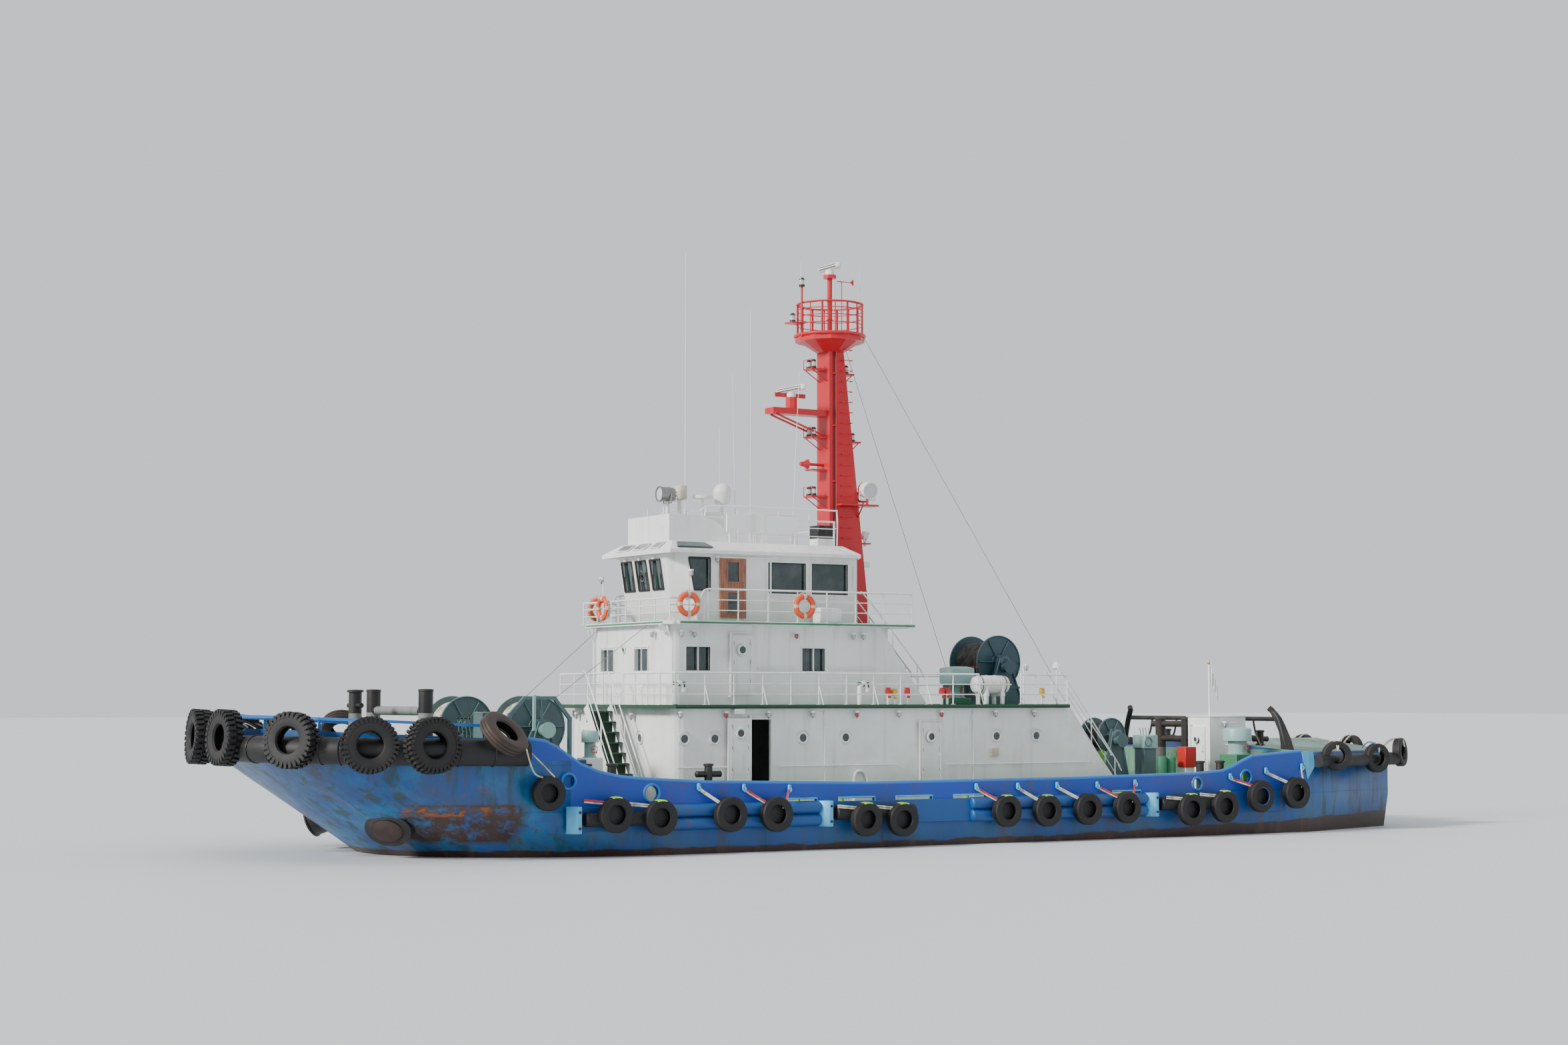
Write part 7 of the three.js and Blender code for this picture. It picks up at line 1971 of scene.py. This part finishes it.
def life_raft():
    """The life raft's two-part shell with its bands, in its cradle."""
    raft = Piece("life_raft_shell", "raft_shell")
    centre = Vector((-3.175, 2.7, 4.33))
    half = [(0.258, 0.2), (0.25, 0.46), (0.225, 0.53), (0.15, 0.57), (0, 0.575)]
    raft.turned([(r, -a) for r, a in reversed(half)] + half, centre, AHEAD, steps=32)
    raft.box(centre - Vector((0.56, 0.272, 0.022)), centre + Vector((0.56, 0.272, 0.022)), bevel=0.01)
    for x in (-0.4, -0.14, 0.14, 0.4):
        look = "black_paint" if abs(x) > 0.3 else "raft_shell"
        raft.ring(centre + AHEAD * x, AHEAD, 0.256, 0.011, look, 32, 6)
    for x in (-0.275, 0.275):
        for side in SIDES:
            # Cradle
            foot = centre + Vector((x, side * 0.2, 0))
            raft.box((foot.x - 0.045, foot.y - 0.055, BOAT_DECK), (foot.x + 0.045, foot.y + 0.055, 4.335),
                     "white_paint", 0.008)
        raft.box((centre.x + x - 0.05, centre.y - 0.28, 4.0), (centre.x + x + 0.05, centre.y + 0.28, 4.09),
                 "white_paint", 0.008)
    raft.done(replaces=("life_raft",))


def aft_deck_gear():
    piece = Piece("aft_deck_gear", "white_paint")
    # Gas cylinders and the bar that holds them
    for x in (-9.45, -9.78):
        piece.turned([(0, 0), (0.16, 0), (0.16, 1.1), (0.14, 1.14), (0, 1.15)], (x, 2.6, MAIN_DECK), UP,
                     "green_paint", 24)
    piece.box((-9.98, 2.5, 1.25), (-9.25, 2.72, 1.31))
    # Red locker on its stand
    piece.box((-10.62, 2.4, 1.9), (-10.2, 2.8, 2.5), "red_paint", 0.015)
    piece.box((-10.58, 2.45, MAIN_DECK), (-10.24, 2.75, 1.9), bevel=0.01)
    # Control box with a handwheel and four levers
    piece.box((-10.4, 0.7, 2.42), (-9.88, 1.3, 2.84), "vent_paint", 0.03)
    piece.box((-10.37, 0.76, MAIN_DECK), (-9.91, 1.24, 2.42), "winch_paint", 0.02)
    piece.ring((-10.02, 1.31, 2.63), PORT, 0.13, 0.016, "winch_paint", 24, 6)
    for i in range(4):
        piece.rod((-10.3 + i * 0.11, 1.0, 2.84), (-10.26 + i * 0.11, 1.0, 3.05), 0.012, "bare_steel", sides=6)
    # Frame round the companionway's door, its roof plate, and rungs up its side
    for y0, y1, z0, z1 in ((1.7, 2.3, 1.6, 1.65), (1.7, 2.3, 3.05, 3.09), (1.68, 1.72, 1.6, 3.09),
                           (2.28, 2.32, 1.6, 3.09)):
        piece.box((-11.4, y0, z0), (-11.376, y1, z1), "white_trim", 0.004)
    piece.plate([(-12.84, 1.44, 3.38), (-11.36, 1.44, 3.38), (-11.36, 2.56, 3.38), (-12.84, 2.56, 3.38)],
                (0, 0, 0.035), bevel=0.01)
    for z in (1.5, 1.85, 2.2, 2.55, 2.9, 3.2):
        piece.tube([(-12.35, 2.5, z), (-12.35, 2.62, z), (-12.0, 2.62, z), (-12.0, 2.5, z)], 0.012, sides=6)
    bulkhead_lamp(piece, (-11.9, 2.5, 3.2), PORT)
    # Flagstaff with its truck
    piece.rod((FLAG["x"], FLAG["y"], 3.4), (FLAG["x"], FLAG["y"], 4.99), 0.029)
    piece.ball((FLAG["x"], FLAG["y"], 5.0), 0.045, "bronze", across=12, down=8)
    piece.done()
    door = Piece("companion_gear")
    porthole(door, (-11.29, 1.98, 2.7), AHEAD, 0.11, False)
    for z in (1.85, 2.35, 2.85):
        door.rod((-11.29, 2.26, z), (-11.262, 2.26, z), 0.016, "white_trim", sides=8)
    door.done("companion_door")
    flag()


def flag():
    """A plain white flag that hangs limp in folds from its staff."""
    mesh = bmesh.new()
    columns, rows = 40, 12
    made = bmesh.ops.create_grid(mesh, x_segments=columns, y_segments=rows, size=0.5)["verts"]
    spots = [(0.0, 0.0)]
    step = FLAG["fly"] / columns
    for i in range(columns):
        # The cloth turns to and fro across its folds
        heading = 1.35 * math.sin(math.tau * (i + 0.5) / columns * 3.2)
        x, y = spots[-1]
        spots.append((x + step * math.cos(heading), y + step * math.sin(heading)))
    for vert in made:
        column = round((vert.co.x + 0.5) * columns)
        share = vert.co.y + 0.5
        ahead, aside = spots[column]
        fall = FLAG["droop"] * (column / columns) ** 1.1
        vert.co = Vector((FLAG["x"] - 0.035 - ahead, FLAG["y"] + aside * (0.75 + 0.25 * share),
                          FLAG["top"] - FLAG["hoist"] * (1 - share) - fall))
    piece = Piece("flag")
    piece.bm.free()
    piece.bm = mesh
    piece.paint(made, "flag_cloth")
    cloth = piece.done()


def bolsters():
    piece = Piece("anchor_bolsters")
    for side in SIDES:
        turn = PORT.rotation_difference(Vector(BOLSTER["out"])).to_matrix().to_4x4()
        roll = Matrix.Rotation(math.radians(BOLSTER["roll"]), 4, "Y")
        place = (Matrix.Translation((BOLSTER["x"], BOLSTER["y"], BOLSTER["z"])) @ turn @ roll
                 @ Matrix.Diagonal((BOLSTER["stretch"], 1, 1, 1)))
        flange = [(0.406, -0.5), (0.406, 0.1), (0.43, 0.13), (0.43, 0.165), (0.4, 0.182), (0.31, 0.182),
                  (0.3, 0.19)]
        dome = [(0.3, 0.19), (0.285, 0.23), (0.2, 0.262), (0.1, 0.275), (0, 0.278)]
        for profile, look in ((flange, "black_paint"), (dome, "tyre_brown")):
            made = piece.turned(profile, (0, 0, 0), PORT, look, 40)
            bmesh.ops.transform(piece.bm, matrix=Matrix.Diagonal((1, side, 1, 1)) @ place, verts=made)
            if side < 0:
                bmesh.ops.reverse_faces(piece.bm, faces=faces_of(made))
    piece.done()


class TUG_OT_deck_gear(bpy.types.Operator):
    """Makes the winches, bitts, tow bow, vents, raft, lockers, flag and bolsters"""

    bl_idname = "tug.deck_gear"
    bl_label = "Deck gear"

    def execute(self, context):
        winch_beds()
        side_bitts()
        end_bitts()
        tow_bow()
        for row in VENTS:
            vent(*row)
        boat_deck_gear()
        life_raft()
        aft_deck_gear()
        bolsters()
        return {"FINISHED"}


# Sizes and colours that a user would change
def colour_property(label, about, start):
    return bpy.props.FloatVectorProperty(name=label, description=about, subtype="COLOR", size=4, min=0.0,
            max=1.0, default=start)


def length_property(label, about, start):
    return bpy.props.FloatProperty(name=label, description=about, default=start, unit="LENGTH",
                                   subtype="DISTANCE")


class TugHull(bpy.types.PropertyGroup):
    """Paints of the hull and its decks."""

    topsides: colour_property("Topsides", "Blue of the ship's side", rgb(10, 78, 144))
    # Blue of the faded blots, which at the bow also paint the sunlit flare as a painted highlight
    faded_and_sunlit: colour_property("Faded blue", "Where the side has weathered", rgb(30, 130, 174))
    bulwark: colour_property("Bulwarks", "Blue of the side bulwarks", rgb(8, 68, 172))
    boot: colour_property("Boot-top", "Antifouling at and below the waterline", rgb(54, 32, 29))
    deck: colour_property("Deck", "Green of the main deck and foredeck", rgb(46, 112, 80))
    stern_deck: colour_property("Stern deck", "Pale green of the raised stern deck", rgb(112, 152, 134))
    inside: colour_property("Inside of bulwarks", "Yellow-green behind the bulwarks", rgb(128, 176, 66))
    rail: colour_property("Bow bulwark", "Blue of the bow bulwark and its rail", rgb(30, 112, 196))
    boot_top: length_property("Boot-top amidships", "Height of the boot-top above the water amidships", 0.17)
    boot_top_aft: length_property("Boot-top aft", "Height of the boot-top above the water at the stern", 0.52)


class TugUpperworks(bpy.types.PropertyGroup):
    """Paints of the houses, decks and mast."""

    white: colour_property("Houses", "White of the deckhouses", rgb(240, 241, 240))
    deck: colour_property("House decks", "Green of the upper decks", rgb(54, 124, 88))
    mast: colour_property("Mast", "Red of the mast", rgb(196, 26, 38))


class TugStage(bpy.types.PropertyGroup):
    """The camera, floor and light around the tug."""

    camera_place: bpy.props.FloatVectorProperty(name="Camera", description="Where the camera stands", size=3,
            default=(38.79, 61.21, 3.95), unit="LENGTH", subtype="TRANSLATION")
    camera_pitch: bpy.props.FloatProperty(name="Pitch", description="How far the camera looks up",
            default=math.radians(3.97), subtype="ANGLE")
    camera_heading: bpy.props.FloatProperty(name="Heading",
            description="Turn of the camera about the vertical", default=math.radians(149.0), subtype="ANGLE")
    lens: bpy.props.FloatProperty(name="Lens", description="Focal length in millimetres", default=58.07)
    floor: length_property("Floor", "Length of the floor's sides", 900.0)
    sun: bpy.props.FloatProperty(name="Key light", description="Strength of the key light", default=4.6)
    sky: bpy.props.FloatProperty(name="Fill light", description="Strength of the even light", default=1.15)


class TUG_OT_stage(bpy.types.Operator):
    """Adds the camera, the pale floor at the waterline and the studio light"""

    bl_idname = "tug.stage"
    bl_label = "Stage"

    def execute(self, context):
        wanted = context.scene.tug_stage
        camera = bpy.data.objects.new("camera", bpy.data.cameras.new("camera"))
        camera.data.lens = wanted.lens
        camera.data.sensor_width = 36.0
        camera.data.clip_end = 2000.0
        camera.location = wanted.camera_place
        camera.rotation_euler = (math.pi / 2 + wanted.camera_pitch, 0.0, wanted.camera_heading)
        context.scene.collection.objects.link(camera)
        context.scene.camera = camera

        bm = bmesh.new()
        bmesh.ops.create_grid(bm, x_segments=1, y_segments=1, size=wanted.floor / 2)
        mesh = bpy.data.meshes.new("floor")
        bm.to_mesh(mesh)
        bm.free()
        floor = bpy.data.objects.new("floor", mesh)
        made, _, shader = material("pale_floor")
        shader.inputs["Base Color"].default_value = rgb(212, 216, 218)
        shader.inputs["Roughness"].default_value = 0.6
        mesh.materials.append(made)
        context.scene.collection.objects.link(floor)

        sun = bpy.data.objects.new("key_light", bpy.data.lights.new("key_light", "SUN"))
        sun.data.energy = wanted.sun
        sun.data.angle = math.radians(12)
        sun.data.color = (1.0, 0.97, 0.92)
        sun.rotation_euler = Vector((1.0, 0.04, 0.55)).to_track_quat("Z", "Y").to_euler()
        context.scene.collection.objects.link(sun)

        world = bpy.data.worlds.new("studio")
        context.scene.world = world
        world.use_nodes = True
        sky = world.node_tree.nodes["Background"]
        sky.inputs[0].default_value = rgb(222, 226, 230)
        sky.inputs[1].default_value = wanted.sky
        return {"FINISHED"}


# Finishes of the CAD nodes that stay as they are
NODE_FINISHES = {
    "side_bulwark": ("bulwark_port", "bulwark_starboard"),
    "strake_paint": ("strake_port", "strake_starboard"),
    "bow_paint": ("bow_bulwark",),
    "white_paint": ("main_house", "upper_house", "wheelhouse", "wheelhouse_roof", "top_screen",
                    "companionway", "companion_door", "fore_door_port", "fore_door_starboard",
                    "aft_door_port", "aft_door_starboard", "upper_door_port", "upper_door_starboard",
                    "radar_mid", "radar_top", "boat_rail_port", "boat_rail_starboard", "boat_rail_front",
                    "bridge_rail_port", "bridge_rail_starboard", "bridge_rail_front", "fore_stair",
                    "aft_stair_port", "bridge_stair"),
    "raft_shell": ("life_raft",),
    "deck_paint": ("boat_deck", "bridge_deck"),
    "rubber": ("side_tyres_port", "side_tyres_starboard", "bow_fender", "stern_fender"),
    "mast_paint": ("mast",),
    "winch_paint": ("fore_winch_bed", "fore_drum_port", "fore_drum_starboard", "aft_winch_bed", "aft_drum"),
    "winch_dark": ("tow_winch_bed", "tow_drum"),
    "black_paint": ("fore_bitts", "aft_bitts", "tow_bow"),
    "vent_paint": ("boat_vent", "aft_vent", "fore_vent"),
    "door_wood": ("sliding_door_port", "sliding_door_starboard"),
    "glass": ("wheelhouse_glass", "upper_house_glass"),
    "antifouling": ("thruster_port", "thruster_starboard"),
    "bronze": ("propeller_port", "propeller_starboard"),
}


class TUG_OT_frame_paint(bpy.types.Operator):
    """Gives each CAD node its finish, and the hull its soft shading"""

    bl_idname = "tug.frame_paint"
    bl_label = "Paint the frame"

    def execute(self, context):
        for look, names in NODE_FINISHES.items():
            for name in names:
                shown = frame["nodes"][name]
                shown.data.materials.clear()
                shown.data.materials.append(finish(look))
        smoothed("hull_shell", "hull", "hull_paint")
        return {"FINISHED"}


CLASSES = [TugHull, TugUpperworks, TugStage, TUG_OT_stage, TUG_OT_frame_paint, TUG_OT_fenders,
           TUG_OT_hull_fittings, TUG_OT_rails, TUG_OT_house, TUG_OT_wheelhouse, TUG_OT_mast, TUG_OT_deck_gear]
STEPS = ["stage", "frame_paint", "fenders", "hull_fittings", "rails", "house", "wheelhouse", "mast",
         "deck_gear"]


class TUG_PT_panel(bpy.types.Panel):
    """Lists the tug's sizes, colours and steps"""

    bl_label = "Tugboat"
    bl_idname = "TUG_PT_panel"
    bl_space_type = "VIEW_3D"
    bl_region_type = "UI"
    bl_category = "Tugboat"

    def draw(self, context):
        for group in ("tug_hull", "tug_upperworks", "tug_stage"):
            values = getattr(context.scene, group)
            column = self.layout.column()
            for name in values.__annotations__:
                column.prop(values, name)
        for step in STEPS:
            self.layout.operator("tug." + step)


def register():
    for made in CLASSES + [TUG_PT_panel]:
        bpy.utils.register_class(made)
    bpy.types.Scene.tug_hull = bpy.props.PointerProperty(type=TugHull)
    bpy.types.Scene.tug_upperworks = bpy.props.PointerProperty(type=TugUpperworks)
    bpy.types.Scene.tug_stage = bpy.props.PointerProperty(type=TugStage)


def unregister():
    del bpy.types.Scene.tug_stage
    del bpy.types.Scene.tug_upperworks
    del bpy.types.Scene.tug_hull
    for made in reversed(CLASSES + [TUG_PT_panel]):
        bpy.utils.unregister_class(made)


def main():
    register()
    for step in STEPS:
        getattr(bpy.ops.tug, step)()
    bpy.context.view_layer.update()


if __name__ == "__main__":
    main()
